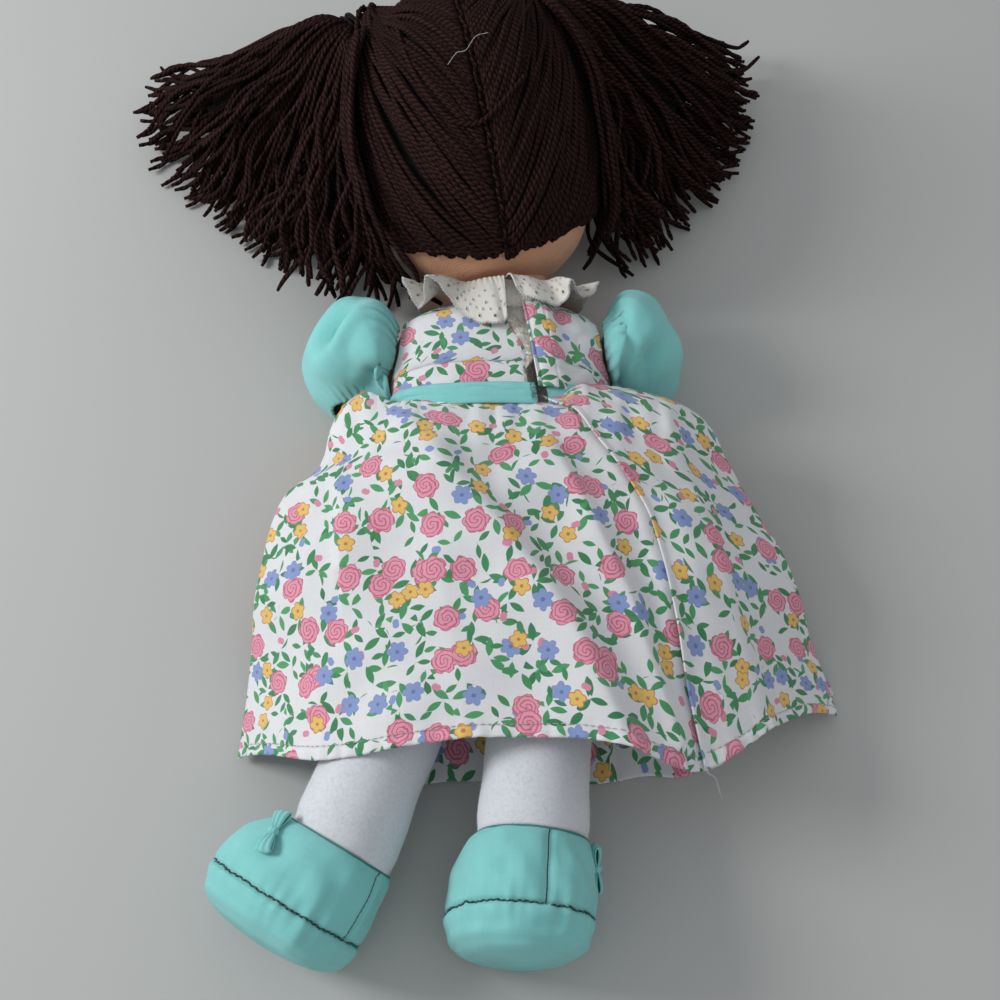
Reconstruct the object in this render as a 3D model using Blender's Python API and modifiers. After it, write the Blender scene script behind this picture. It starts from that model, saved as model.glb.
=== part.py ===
"""A cloth rag doll lying face down: stuffed head, body and limbs, shoes, yarn pigtails and a lapped dress.

Lengths are in metres and angles in degrees. +Y points to the head, +X to the right as seen from the feet,
+Z up. The doll is laid out in its own drawing frame, whose parent empty puts the origin on the flat of the
chest, where the doll rests. Values whose names end in shares are parts of the sizes that they follow.
"""

import bmesh
import bpy
import numpy as np
from mathutils import Matrix, Vector

# Shared clearances and cloth
SEAT_GAP = 0.0004
LOOSE_GAP = 0.0010
CLOTH = 0.0009
FLOOR_GAP = 0.0004
WELD = 0.00001

# Body
BODY_BOTTOM_Y = -0.013
BODY_LENGTH = 0.099
BODY_HALF_WIDTH = 0.0395
BODY_HALF_DEPTH = 0.0262
BODY_MID_Z = 0.0275
BODY_SQUARENESS = 2.5
CHEST_REST_Y = 0.0605

# Neck and head
NECK_X = 0.004
NECK_Y = 0.096
NECK_Z = 0.0218
NECK_HALF_WIDTH = 0.0175
NECK_HALF_DEPTH = 0.0165
HEAD_HALF_WIDTH = 0.046
HEAD_HALF_HEIGHT = 0.0635
HEAD_HALF_DEPTH = 0.0465
HEAD_RISE = 0.0752
HEAD_LEAN_DEG = 12.0
HEAD_PITCH_DEG = 20.0
HEAD_SQUARENESS = 2.15

# Hair
HAIR_THICKNESS = 0.0042
PARTING_WIDTH = 0.0018
PARTING_THICKNESS = 0.0030
FAN_REACH = 0.112
FAN_HALF_THICKNESS = 0.0160
LEFT_FAN_MIDDLE_DEG = 222.0
LEFT_FAN_HALF_DEG = 46.0
RIGHT_FAN_MIDDLE_DEG = -30.0
RIGHT_FAN_HALF_DEG = 37.0
FAN_START = 0.0050
TIE_OUT = 0.0350
TIE_UP = 0.0630
TIE_BACK = 0.0040
TIE_RADIUS = 0.0066
TIE_CORD = 0.0015
TIE_STEP = 0.0090

# Dress
WAIST_Y = 0.0350
SASH_WIDTH = 0.0085
BODICE_TOP_Y = 0.0845
OPENING_TOP_X = 0.0085
OPENING_WAIST_X = 0.0165
LOOP_STRIP_WIDTH = 0.0090
HOOK_STRIP_WIDTH = 0.0045
STRIP_THICKNESS = 0.0009
LAP_EASE_WIDTH = 0.0080
LAP_WIDTH = 0.0070
COLLAR_HALF_WIDTH = 0.0395
COLLAR_TOP_Y = 0.0990
COLLAR_DROP = 0.0320
COLLAR_SIDE_DROP = 0.0050
COLLAR_WAVES = 13
COLLAR_WAVE_HEIGHT = 0.0022
SLEEVE_RADIUS = 0.0260
RIGHT_SLEEVE_SQUEEZE_SHARE = 0.12
SKIRT_LENGTH = 0.1335
SKIRT_LIFT = 0.0545
SKIRT_EDGE_LIFT = 0.0330
SKIRT_FOLD_HEIGHT = 0.0075
SKIRT_FOLD_WIDTH = 0.0090

# Arms
ARM_RADIUS = 0.0118
ARM_LENGTH = 0.108
SHOULDER_Y = 0.0695
SHOULDER_OUT = 0.0525
ARM_SWING_OUT = 0.0235
ARM_REST_Z = 0.0112

# Legs and shoes
SEAM_WIDTH = 0.0056
SEAM_THICKNESS = 0.0020
LEG_SPACING = 0.0390
LEG_RADIUS = 0.0200
LEFT_LEG_LENGTH = 0.1090
RIGHT_LEG_LENGTH = 0.1010
LEG_TAB_RADIUS = 0.0085
LEFT_SPLAY_DEG = -20.1
RIGHT_SPLAY_DEG = -4.6
LEFT_ANKLE_Z = 0.0245
RIGHT_ANKLE_Z = 0.0315
SHOE_LENGTH = 0.062
SHOE_WIDTH = 0.051
SHOE_UPPER_HEIGHT = 0.0260
SHOE_SOLE_HEIGHT = 0.0160
SHOE_SQUARENESS = 2.3
LEFT_TOE_ROLL_DEG = 65.0
RIGHT_TOE_ROLL_DEG = 17.0
LEFT_TOE_PITCH_DEG = 11.0
RIGHT_TOE_PITCH_DEG = 0.0
BOW_HALF_LENGTH = 0.0105
BOW_HALF_HEIGHT = 0.0048
BOW_HALF_THICKNESS = 0.0020
LEFT_BOW_TURN_DEG = -65.0
RIGHT_BOW_TURN_DEG = 88.0
LEFT_BOW_TILT_DEG = 80.0
RIGHT_BOW_TILT_DEG = 50.0

# Colours, linear
SKIN = (0.62, 0.34, 0.22, 1.0)
HAIR = (0.020, 0.010, 0.008, 1.0)
HAIR_DARK = (0.008, 0.004, 0.004, 1.0)
PRINT = (0.80, 0.74, 0.76, 1.0)
AQUA = (0.16, 0.50, 0.47, 1.0)
LACE = (0.80, 0.77, 0.70, 1.0)
FLEECE = (0.78, 0.80, 0.84, 1.0)
HOOK = (0.25, 0.20, 0.17, 1.0)
LOOP = (0.55, 0.50, 0.38, 1.0)

# Outlines, ring and grid counts
ROUND = 2.0
SHARP_DEG = 50.0
BODY_SIDES = 24
LIMB_SIDES = 16
LEG_SIDES = 18
HEAD_SIDES = 24
FAN_SIDES = 20
TIE_SIDES = 20
TIE_CORD_SIDES = 6
SHOE_SIDES = 22
COLLAR_COLUMNS = 79
BOW_SIDES = 10
SLEEVE_SIDES = 20


def clear_scene():
    """Empty the scene, then make the doll's collection and the one for cutters."""
    for thing in list(bpy.data.objects):
        bpy.data.objects.remove(thing, do_unlink=True)
    for name in ("rag_doll", "cutters"):
        group = bpy.data.collections.new(name)
        bpy.context.scene.collection.children.link(group)
    return bpy.data.collections["rag_doll"], bpy.data.collections["cutters"]


def cloth_material(name, colour, roughness):
    """A plain Principled cloth of one colour."""
    material = bpy.data.materials.new(name)
    material.use_nodes = True
    shader = material.node_tree.nodes["Principled BSDF"]
    shader.inputs["Base Color"].default_value = colour
    shader.inputs["Roughness"].default_value = roughness
    shader.inputs["Metallic"].default_value = 0.0
    return material


parts, cutters = clear_scene()
doll = bpy.data.objects.new("doll", None)
parts.objects.link(doll)
doll.location = (0.0, -CHEST_REST_Y, 0.0)

# Colour, linear, and roughness of each kind of cloth and yarn
FINISHES = {
    "skin": (SKIN, 0.85),
    "hair": (HAIR, 0.80),
    "hair_dark": (HAIR_DARK, 0.80),
    "print": (PRINT, 0.85),
    "aqua": (AQUA, 0.80),
    "lace": (LACE, 0.85),
    "fleece": (FLEECE, 0.95),
    "hook": (HOOK, 0.95),
    "loop": (LOOP, 0.95),
}
carriers = {"torso": doll}


# Meshes


def add_carrier(name, place):
    """An empty on a joint's axis, which carries every piece that the joint moves."""
    carrier = bpy.data.objects.new(name + "_pivot", None)
    parts.objects.link(carrier)
    carrier.parent = doll
    carrier.location = place
    carriers[name] = carrier


def add_object(name, mesh, finish, carrier="torso", group=parts):
    """Link a mesh, made in the drawing frame, as one named piece with a material, hung on its carrier."""
    holder = carriers[carrier]
    if holder is not doll:
        mesh.transform(Matrix.Translation(-Vector(holder.location)))
    mesh.shade_smooth()
    mesh.set_sharp_from_angle(angle=np.radians(SHARP_DEG))
    mesh.materials.append(cloth_material(name, *FINISHES[finish]))
    piece = bpy.data.objects.new(name, mesh)
    group.objects.link(piece)
    piece.parent = holder
    return piece


def finish_mesh(mesh):
    """Weld points that fall together and turn every face outward."""
    work = bmesh.new()
    work.from_mesh(mesh)
    bmesh.ops.remove_doubles(work, verts=work.verts, dist=WELD)
    bmesh.ops.recalc_face_normals(work, faces=work.faces)
    work.to_mesh(mesh)
    work.free()
    return mesh


def skin_rings(name, rings):
    """A closed body lofted over rings of equal count, with a flat cap at each end."""
    rings = np.asarray(rings)
    count, sides, _ = rings.shape
    index = np.arange(count * sides).reshape(count, sides)
    across = np.roll(index, -1, axis=1)
    quads = np.stack([index[:-1], across[:-1], across[1:], index[1:]], axis=-1).reshape(-1, 4)
    faces = quads.tolist() + [index[0][::-1].tolist(), index[-1].tolist()]
    mesh = bpy.data.meshes.new(name)
    mesh.from_pydata(rings.reshape(-1, 3).tolist(), [], faces)
    return finish_mesh(mesh)


def add_sheet(name, grid, thickness, finish, core, carrier="torso", closed=False, inward=False):
    """A cloth sheet as one piece: an open grid with Solidify, which thickens it away from the core.

    With inward the grid is the outer face, and the cloth's thickness lies on the core's side of it, where
    an even thickness would spike in the creases."""
    grid = np.asarray(grid)
    rows, cols, _ = grid.shape
    index = np.arange(rows * cols).reshape(rows, cols)
    if closed:
        index = np.concatenate([index, index[:, :1]], axis=1)
    corners = [index[:-1, :-1], index[:-1, 1:], index[1:, 1:], index[1:, :-1]]
    quads = np.stack(corners, axis=-1).reshape(-1, 4)
    points = grid.reshape(-1, 3)
    corner = points[quads]
    normal = np.cross(corner[:, 2] - corner[:, 0], corner[:, 3] - corner[:, 1])
    if np.sum(normal * (corner.mean(axis=1) - np.asarray(core))) < 0.0:
        quads = quads[:, ::-1]
    mesh = bpy.data.meshes.new(name)
    mesh.from_pydata(points.tolist(), [], quads.tolist())
    mesh.update()
    piece = add_object(name, mesh, finish, carrier)
    solid = piece.modifiers.new("cloth", "SOLIDIFY")
    solid.thickness = thickness
    solid.offset = -1.0 if inward else 1.0
    solid.use_even_offset = not inward
    solid.use_rim = True
    return piece


def add_cutter(name, mesh):
    """Link a cutter that isn't part of the doll."""
    cutter = add_object(name, mesh, "hair", "torso", cutters)
    cutter.hide_render = True
    cutter.display_type = "WIRE"
    return cutter


def cut(piece, cutter):
    """Take a cutter away from a piece with an exact Boolean."""
    change = piece.modifiers.new("cut_" + cutter.name, "BOOLEAN")
    change.operation = "DIFFERENCE"
    change.solver = "EXACT"
    change.object = cutter
    return piece


# Curves and outlines


def angles(sides):
    """Even angles round a ring, from the doll's back round by its right side."""
    return np.arange(sides) * 2.0 * np.pi / sides


def super_round(angle, squareness):
    """Across and up shares of a rounded square outline: signed powers of sine and cosine."""
    power = 2.0 / squareness
    across, up = np.sin(angle), np.cos(angle)
    return np.sign(across) * np.abs(across) ** power, np.sign(up) * np.abs(up) ** power


def smooth_read(places, values, along):
    """A cubic through the table's rows, with each row's slope taken from its neighbours."""
    slopes = np.gradient(values, places)
    along = np.clip(along, places[0], places[-1])
    low = np.clip(np.searchsorted(places, along) - 1, 0, len(places) - 2)
    span = places[low + 1] - places[low]
    part = (along - places[low]) / span
    lift = part * part * (3.0 - 2.0 * part)
    start = part * (1.0 - part) ** 2 * span * slopes[low]
    stop = part * part * (part - 1.0) * span * slopes[low + 1]
    return values[low] * (1.0 - lift) + values[low + 1] * lift + start + stop


def read_table(shares, along):
    """Read every column of a table of shares at places along it; the first column holds the places."""
    table = np.asarray(shares)
    along = np.asarray(along, float)
    return [smooth_read(table[:, 0], column, along) for column in table[:, 1:].T]


def ease(low, high, value):
    """A smooth step from 0 at low to 1 at high."""
    part = np.clip((value - low) / (high - low), 0.0, 1.0)
    return part * part * (3.0 - 2.0 * part)


def swept_rings(centres, radius, sides):
    """Round rings square to a path that lies nearly level, each of its own radius."""
    centres = np.asarray(centres)
    heading = np.gradient(centres, axis=0)
    heading /= np.linalg.norm(heading, axis=1, keepdims=True)
    side = np.cross(heading, np.array([0.0, 0.0, 1.0]))
    side /= np.linalg.norm(side, axis=1, keepdims=True)
    above = np.cross(side, heading)
    across, up = super_round(angles(sides), ROUND)
    ring = across[None, :, None] * side[:, None, :] + up[None, :, None] * above[:, None, :]
    return centres[:, None, :] + np.asarray(radius)[:, None, None] * ring


def press_on_floor(points, floor):
    """Flatten whatever would lie below the floor."""
    points[..., 2] = np.maximum(points[..., 2], floor)
    return points


# The body: half width and half depth along its length, from the crotch up
BODY_SHARES = [
    (0.00, 0.900, 0.045),
    (0.07, 0.960, 0.300),
    (0.17, 1.010, 0.640),
    (0.30, 1.030, 0.920),
    (0.45, 0.990, 0.985),
    (0.58, 0.960, 0.970),
    (0.74, 1.000, 1.000),
    (0.86, 0.990, 0.930),
    (0.94, 0.880, 0.780),
    (1.00, 0.620, 0.560),
]
REST_CLOTH = CLOTH + LOOSE_GAP


def body_ring(y, angle, outward=0.0):
    """Points of the body's surface at a place along it, moved outward, and flat where the doll rests."""
    along = (np.asarray(y, float) - BODY_BOTTOM_Y) / BODY_LENGTH
    width, depth = read_table(BODY_SHARES, along)
    across, up = super_round(angle, BODY_SQUARENESS)
    x = (BODY_HALF_WIDTH * width + outward) * across
    z = BODY_MID_Z + (BODY_HALF_DEPTH * depth + outward) * up
    points = np.stack(np.broadcast_arrays(x, y, z), axis=-1)
    return press_on_floor(points, REST_CLOTH - outward)


def make_body():
    """The stuffed body, pinched flat at its bottom seam: a ring per row and one between two rows."""
    rows = np.arange(len(BODY_SHARES))
    between = np.linspace(0, rows[-1], 2 * len(rows) - 1)
    along = np.interp(between, rows, [row[0] for row in BODY_SHARES])
    rings = [body_ring(BODY_BOTTOM_Y + BODY_LENGTH * share, angles(BODY_SIDES)) for share in along]
    return add_object("body", skin_rings("body", rings), "skin")


# The head: half width and half depth along its height, from the neck at -1 to the crown at 1
HEAD_SHARES = [
    (-1.000, 0.200, 0.200),
    (-0.965, 0.400, 0.400),
    (-0.860, 0.660, 0.640),
    (-0.680, 0.870, 0.830),
    (-0.420, 0.985, 0.950),
    (-0.100, 1.020, 1.000),
    (0.250, 1.000, 1.000),
    (0.550, 0.880, 0.890),
    (0.780, 0.670, 0.690),
    (0.930, 0.410, 0.430),
    (1.000, 0.130, 0.150),
]


def head_turn():
    """The head's turn: pitched up at the crown, then leaned to one side."""
    lean = Matrix.Rotation(np.radians(HEAD_LEAN_DEG), 3, "Z")
    pitch = Matrix.Rotation(np.radians(HEAD_PITCH_DEG), 3, "X")
    return np.array(lean @ pitch)


def head_to_doll(points):
    """Take points from the head's own frame, centred in the head, into the drawing frame."""
    pivot = np.array([NECK_X, NECK_Y, NECK_Z])
    rise = np.array([0.0, HEAD_RISE, 0.0])
    return (np.asarray(points) + rise) @ head_turn().T + pivot


def head_width(up):
    """The head's half width at a share of its height."""
    return read_table(HEAD_SHARES, up)[0] * HEAD_HALF_WIDTH


def head_points(up, angle, outward=0.0):
    """Points on the head, or on a shell round it, at a share of its height and an angle from the back."""
    width, depth = read_table(HEAD_SHARES, up)
    across, back = super_round(angle, HEAD_SQUARENESS)
    x = (HEAD_HALF_WIDTH * width + outward) * across
    y = (HEAD_HALF_HEIGHT + outward) * up
    z = (HEAD_HALF_DEPTH * depth + outward) * back
    return head_to_doll(np.stack(np.broadcast_arrays(x, y, z), axis=-1))


def head_rings(outward=0.0):
    """Every ring of the head's loft."""
    return np.array([head_points(row[0], angles(HEAD_SIDES), outward) for row in HEAD_SHARES])


def make_head():
    """The stuffed head, pressed flat where the face rests."""
    return add_object("head", skin_rings("head", press_on_floor(head_rings(), 0.0)), "skin", "head")


NECK_SHARES = [(0.00, 1.06), (0.35, 0.98), (0.70, 1.02), (1.00, 1.12)]
NECK_REACH_SHARE = 0.62


def make_neck(swelled_head):
    """The short stuffed neck between the body and the head, hollowed where the head sits on it."""
    start = BODY_BOTTOM_Y + BODY_LENGTH + SEAT_GAP
    stop = NECK_Y + HEAD_RISE - HEAD_HALF_HEIGHT * NECK_REACH_SHARE
    across, up = super_round(angles(LIMB_SIDES), BODY_SQUARENESS)
    rings = []
    for row, swell in NECK_SHARES:
        x = NECK_X * row + NECK_HALF_WIDTH * swell * across
        z = BODY_MID_Z + (NECK_Z - BODY_MID_Z) * row + NECK_HALF_DEPTH * swell * up
        rings.append(np.stack([x, np.full_like(x, start + (stop - start) * row), z], axis=-1))
    return cut(add_object("neck", skin_rings("neck", rings), "skin", "neck"), swelled_head)


# The hair cap's rows from the nape up: place on the head, how far it dips behind, and how far round it goes
CAP_SHARES = [
    (-0.640, 1.00, 70.0),
    (-0.560, 0.80, 84.0),
    (-0.420, 0.50, 94.0),
    (-0.240, 0.20, 100.0),
    (0.000, 0.00, 106.0),
    (0.280, 0.00, 114.0),
    (0.520, 0.00, 124.0),
    (0.720, 0.00, 138.0),
    (0.870, 0.00, 152.0),
    (0.955, 0.00, 162.0),
]
NAPE_DIP_SHARE = 0.21
CAP_COLUMNS = 10


def cap_up(row, turn):
    """Where a cap row lies on the head's height at an angle from the back: it dips over the nape."""
    up, dip, _ = CAP_SHARES[row]
    return up - NAPE_DIP_SHARE * dip * np.clip(np.cos(turn), 0.0, 1.0) ** 2


def parting_angle(row, half_width):
    """The angle from the back at which a cap row is a given half width from the head's middle."""
    return np.arcsin((half_width / head_width(cap_up(row, 0.0))) ** (HEAD_SQUARENESS / 2.0))


def make_cap(name, side):
    """One half of the yarn cap, laid over the head from the parting to the hairline."""
    rows = []
    for row, (_, _, edge_deg) in enumerate(CAP_SHARES):
        first = parting_angle(row, PARTING_WIDTH / 2.0 + SEAT_GAP)
        turn = np.linspace(first, np.radians(edge_deg), CAP_COLUMNS)
        rows.append(head_points(cap_up(row, turn), side * turn, LOOSE_GAP))
    grid = press_on_floor(np.array(rows), LOOSE_GAP)
    return add_sheet(name, grid, HAIR_THICKNESS, "hair", head_to_doll(np.zeros(3)), "head")


def make_parting():
    """The stitched tape down the parting, between the two halves of the cap."""
    rows = []
    for row in range(len(CAP_SHARES)):
        half = parting_angle(row, PARTING_WIDTH / 2.0)
        rows.append(head_points(cap_up(row, 0.0), np.array([half, -half]), LOOSE_GAP))
    centre = head_to_doll(np.zeros(3))
    return add_sheet("parting_tape", np.array(rows), PARTING_THICKNESS, "hair_dark", centre, "head")


# A pigtail as a fan: reach from the tie, half angle, height of its middle and half thickness
FAN_SHARES = [
    (0.00, 0.46, 1.000, 0.20),
    (0.05, 0.46, 1.000, 0.24),
    (0.11, 0.70, 0.985, 0.56),
    (0.24, 0.78, 0.900, 0.92),
    (0.45, 0.86, 0.680, 1.12),
    (0.70, 0.96, 0.430, 1.12),
    (0.88, 1.00, 0.245, 0.92),
    (0.97, 0.97, 0.165, 0.66),
    (1.00, 0.90, 0.140, 0.30),
]


def tie_place(side):
    """Where a pigtail is tied, in the drawing frame."""
    return head_to_doll(np.array([side * TIE_OUT, TIE_UP, TIE_BACK]))


def make_pigtail(name, side, middle_deg, half_deg, haired_head):
    """The bunch of yarn that fans out from its tie beside the head, its rings bent round the tie."""
    place = tie_place(side)
    across, up = super_round(angles(FAN_SIDES), BODY_SQUARENESS)
    rings = []
    for reach, opening, height, thick in FAN_SHARES:
        radius = FAN_START + (FAN_REACH - FAN_START) * reach
        turn = np.radians(middle_deg + half_deg * opening * across)
        x = place[0] + radius * np.cos(turn)
        y = place[1] + radius * np.sin(turn)
        z = place[2] * height + FAN_HALF_THICKNESS * thick * up
        rings.append(np.stack([x, y, z], axis=-1))
    rings = press_on_floor(np.array(rings), FLOOR_GAP)
    return cut(add_object(name, skin_rings(name, rings), "hair", name), haired_head)


def make_tie(name, side, middle_deg):
    """The thin cord wound round the root of a pigtail."""
    bpy.ops.mesh.primitive_torus_add(
        major_radius=TIE_RADIUS,
        minor_radius=TIE_CORD,
        major_segments=TIE_SIDES,
        minor_segments=TIE_CORD_SIDES,
    )
    maker = bpy.context.object
    mesh = maker.data.copy()
    bpy.data.objects.remove(maker, do_unlink=True)
    heading = Matrix.Rotation(np.radians(middle_deg), 4, "Z")
    stand = Matrix.Rotation(np.radians(90.0), 4, "Y")
    step = Matrix.Translation((TIE_STEP, 0.0, 0.0))
    mesh.transform(Matrix.Translation(Vector(tie_place(side))) @ heading @ step @ stand)
    return add_object(name, mesh, "hair_dark", "head")


# The bodice: panels that follow the body between two angles
BODICE_ROWS = 9
BODICE_COLUMNS = 16
SIDE_GAP_DEG = 0.8
ARMHOLE_DEG = 30.0
ARMHOLE_HALF = 0.0160
BODY_CORE = (0.0, SHOULDER_Y, BODY_MID_Z)


def armhole(y):
    """Degrees that a panel gives up at its side for the armhole, round in outline."""
    return ARMHOLE_DEG * np.sqrt(np.clip(1.0 - ((y - SHOULDER_Y) / ARMHOLE_HALF) ** 2, 0.0, 1.0))


def back_angle_deg(y, x, outward):
    """The angle from the back at which the body's shell is a given distance across."""
    along = (y - BODY_BOTTOM_Y) / BODY_LENGTH
    half = BODY_HALF_WIDTH * read_table(BODY_SHARES, along)[0] + outward
    return np.degrees(np.arcsin((x / half) ** (BODY_SQUARENESS / 2.0)))


def bodice_places():
    """The bodice's rows along the body, from the waistband to the neckline."""
    return np.linspace(WAIST_Y + SASH_WIDTH + SEAT_GAP, BODICE_TOP_Y, BODICE_ROWS)


def bodice_panel(name, limits):
    """A bodice panel; limits gives its first and last angle from the back at each place along the body."""
    rows = []
    for y in bodice_places():
        first, last = limits(y)
        rows.append(body_ring(y, np.radians(np.linspace(first, last, BODICE_COLUMNS)), LOOSE_GAP))
    return add_sheet(name, np.array(rows), CLOTH, "print", BODY_CORE)


def opening_x(y):
    """How far to the right the back opening lies at a place along the body."""
    return OPENING_WAIST_X + (OPENING_TOP_X - OPENING_WAIST_X) * (y - WAIST_Y) / (BODICE_TOP_Y - WAIST_Y)


# The opening's layers: the loop strip beside the left back, the hook strip on it, the right back over both
LAYER_STEP = 1.5 * CLOTH + SEAT_GAP
HOOK_OUTWARD = LOOSE_GAP + LAYER_STEP
LAP_OUTWARD = HOOK_OUTWARD + LAYER_STEP
LAP_CROWD_POWER = 1.5


def make_bodice():
    """The bodice's front and its two backs; the right back's edge laps over the strips that close them."""
    side = 90.0

    def front(y):
        give = side + SIDE_GAP_DEG + armhole(y)
        return give, 360.0 - give

    def left_back(y):
        edge = opening_x(y) - LOOP_STRIP_WIDTH / 2.0 - SEAT_GAP
        return -side + SIDE_GAP_DEG + armhole(y), back_angle_deg(y, edge, LOOSE_GAP)

    bodice_panel("bodice_front", front)
    bodice_panel("bodice_back_left", left_back)
    rows = []
    for y in bodice_places():
        first = back_angle_deg(y, opening_x(y), LAP_OUTWARD)
        last = side - SIDE_GAP_DEG - armhole(y)
        turn = first + (last - first) * np.linspace(0.0, 1.0, BODICE_COLUMNS) ** LAP_CROWD_POWER
        start = LOOP_STRIP_WIDTH / 2.0 + LOOSE_GAP
        across = body_ring(y, np.radians(turn), LOOSE_GAP)[:, 0] - opening_x(y)
        outward = LAP_OUTWARD + (LOOSE_GAP - LAP_OUTWARD) * ease(start, start + LAP_EASE_WIDTH, across)
        rows.append(body_ring(y, np.radians(turn), outward))
    add_sheet("bodice_back_right", np.array(rows), CLOTH, "print", BODY_CORE)


def make_strip(name, from_opening, width, outward, finish):
    """One of the two fuzzy strips that close the back opening."""
    rows = []
    for y in bodice_places():
        low = opening_x(y) + from_opening
        edges = [np.radians(back_angle_deg(y, x, outward)) for x in (low, low + width / 2.0, low + width)]
        rows.append(body_ring(y, np.array(edges), outward))
    add_sheet(name, np.array(rows), STRIP_THICKNESS, finish, BODY_CORE)


def make_closure():
    """The loop strip beside the left back and, under the right back's edge, the hook strip on it."""
    make_strip("closure_loop_strip", -LOOP_STRIP_WIDTH / 2.0, LOOP_STRIP_WIDTH, LOOSE_GAP, "loop")
    make_strip("closure_hook_strip", LOOSE_GAP / 2.0, HOOK_STRIP_WIDTH, HOOK_OUTWARD, "hook")


def make_sash():
    """The waistband, a left and a right length that meet at the back opening and in front."""
    places = (WAIST_Y, WAIST_Y + SASH_WIDTH)
    for name, side in (("sash_left", -1.0), ("sash_right", 1.0)):
        rows = []
        for y in places:
            first = back_angle_deg(y, opening_x(y) + side * SEAT_GAP, LOOSE_GAP)
            last = side * (180.0 - SIDE_GAP_DEG / 2.0)
            rows.append(body_ring(y, np.radians(np.linspace(first, last, BODY_SIDES)), LOOSE_GAP))
        add_sheet(name, np.array(rows), CLOTH, "aqua", (0.0, WAIST_Y, BODY_MID_Z))


# The collar from its stand at the neck to the frill's edge: how far out, how far down, how much it waves
COLLAR_SHARES = [
    (0.00, 0.00, 0.10),
    (0.22, 0.08, 0.30),
    (0.50, 0.30, 0.60),
    (0.78, 0.64, 0.85),
    (1.00, 1.00, 1.00),
]
COLLAR_X = 0.0010
COLLAR_OPEN_DEG = 3.0
COLLAR_INNER_SHARE = 1.19
COLLAR_BACK_SHARE = 1.24
COLLAR_FRONT_SHARE = 0.96


def make_collar():
    """The gathered lace frill: over the shoulders behind, and flatter in front under the chin."""
    start = np.degrees(np.arcsin(OPENING_TOP_X / COLLAR_HALF_WIDTH)) + COLLAR_OPEN_DEG / 2.0
    turn = np.radians(np.linspace(start, start + 360.0 - COLLAR_OPEN_DEG, COLLAR_COLUMNS))
    back = (1.0 + np.cos(turn)) / 2.0
    across, up = super_round(turn, ROUND)
    inner_x = NECK_HALF_WIDTH * COLLAR_INNER_SHARE
    inner_z = NECK_HALF_DEPTH * COLLAR_INNER_SHARE
    outer_z = BODY_HALF_DEPTH * np.where(up > 0.0, COLLAR_BACK_SHARE, COLLAR_FRONT_SHARE)
    rows = []
    for out, down, waving in COLLAR_SHARES:
        x = COLLAR_X + (inner_x + (COLLAR_HALF_WIDTH - inner_x) * out) * across
        z = BODY_MID_Z + (inner_z + (outer_z - inner_z) * out) * up
        y = COLLAR_TOP_Y - COLLAR_DROP * down * back**2 - COLLAR_SIDE_DROP * down * (1.0 - back**2)
        wave = COLLAR_WAVE_HEIGHT * waving * (1.0 + np.cos(COLLAR_WAVES * turn))
        rows.append(np.stack([x, y + wave * (1.0 - back), z + wave * back], axis=-1))
    grid = press_on_floor(np.array(rows), FLOOR_GAP)
    return add_sheet("lace_collar", grid, CLOTH, "lace", (0.0, 0.0, BODY_MID_Z))


ARM_BEND_POWER = 1.1
ARM_DROP_SHARE = 0.42
ARM_DROP_POWER = 1.5


def arm_path(along):
    """The middle of an arm on the right side: out from the shoulder, down and on towards the feet."""
    swing = np.sin(np.clip(along, 0.0, 1.0) * np.pi / 2.0) ** ARM_BEND_POWER
    out = SHOULDER_OUT + ARM_SWING_OUT * swing
    y = SHOULDER_Y - ARM_LENGTH * along
    lift = np.clip(1.0 - along / ARM_DROP_SHARE, 0.0, 1.0) ** ARM_DROP_POWER
    z = ARM_REST_Z + (BODY_MID_Z - ARM_REST_Z) * lift
    return np.stack([out, y, z], axis=-1)


# A sleeve's rings turn about an upright line at the armpit: turn, reach, radius and drop to the cuff
SLEEVE_SHARES = [
    (0.00, 0.900, 0.600, 0.00),
    (0.10, 1.040, 0.880, 0.00),
    (0.24, 1.110, 1.030, 0.05),
    (0.42, 1.080, 1.010, 0.18),
    (0.60, 1.000, 0.910, 0.42),
    (0.78, 0.870, 0.755, 0.72),
    (0.92, 0.770, 0.650, 0.95),
    (1.00, 0.735, 0.605, 1.00),
]
CUFF_SHARE = 0.225
SLEEVE_CORE_OUT_SHARE = 0.5
SLEEVE_CORE_UP_SHARE = 0.7
SLEEVE_WALL = BODY_HALF_WIDTH + LOOSE_GAP + CLOTH + 2.0 * SEAT_GAP


def shell_x(y, above_middle):
    """How far out the dressed body's side is at a place along it and a height above its middle."""
    outward = SLEEVE_WALL - BODY_HALF_WIDTH
    width, depth = read_table(BODY_SHARES, (y - BODY_BOTTOM_Y) / BODY_LENGTH)
    part = np.clip(np.abs(above_middle) / (BODY_HALF_DEPTH * depth + outward), 0.0, 1.0)
    return (BODY_HALF_WIDTH * width + outward) * (1.0 - part**BODY_SQUARENESS) ** (1.0 / BODY_SQUARENESS)


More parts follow.
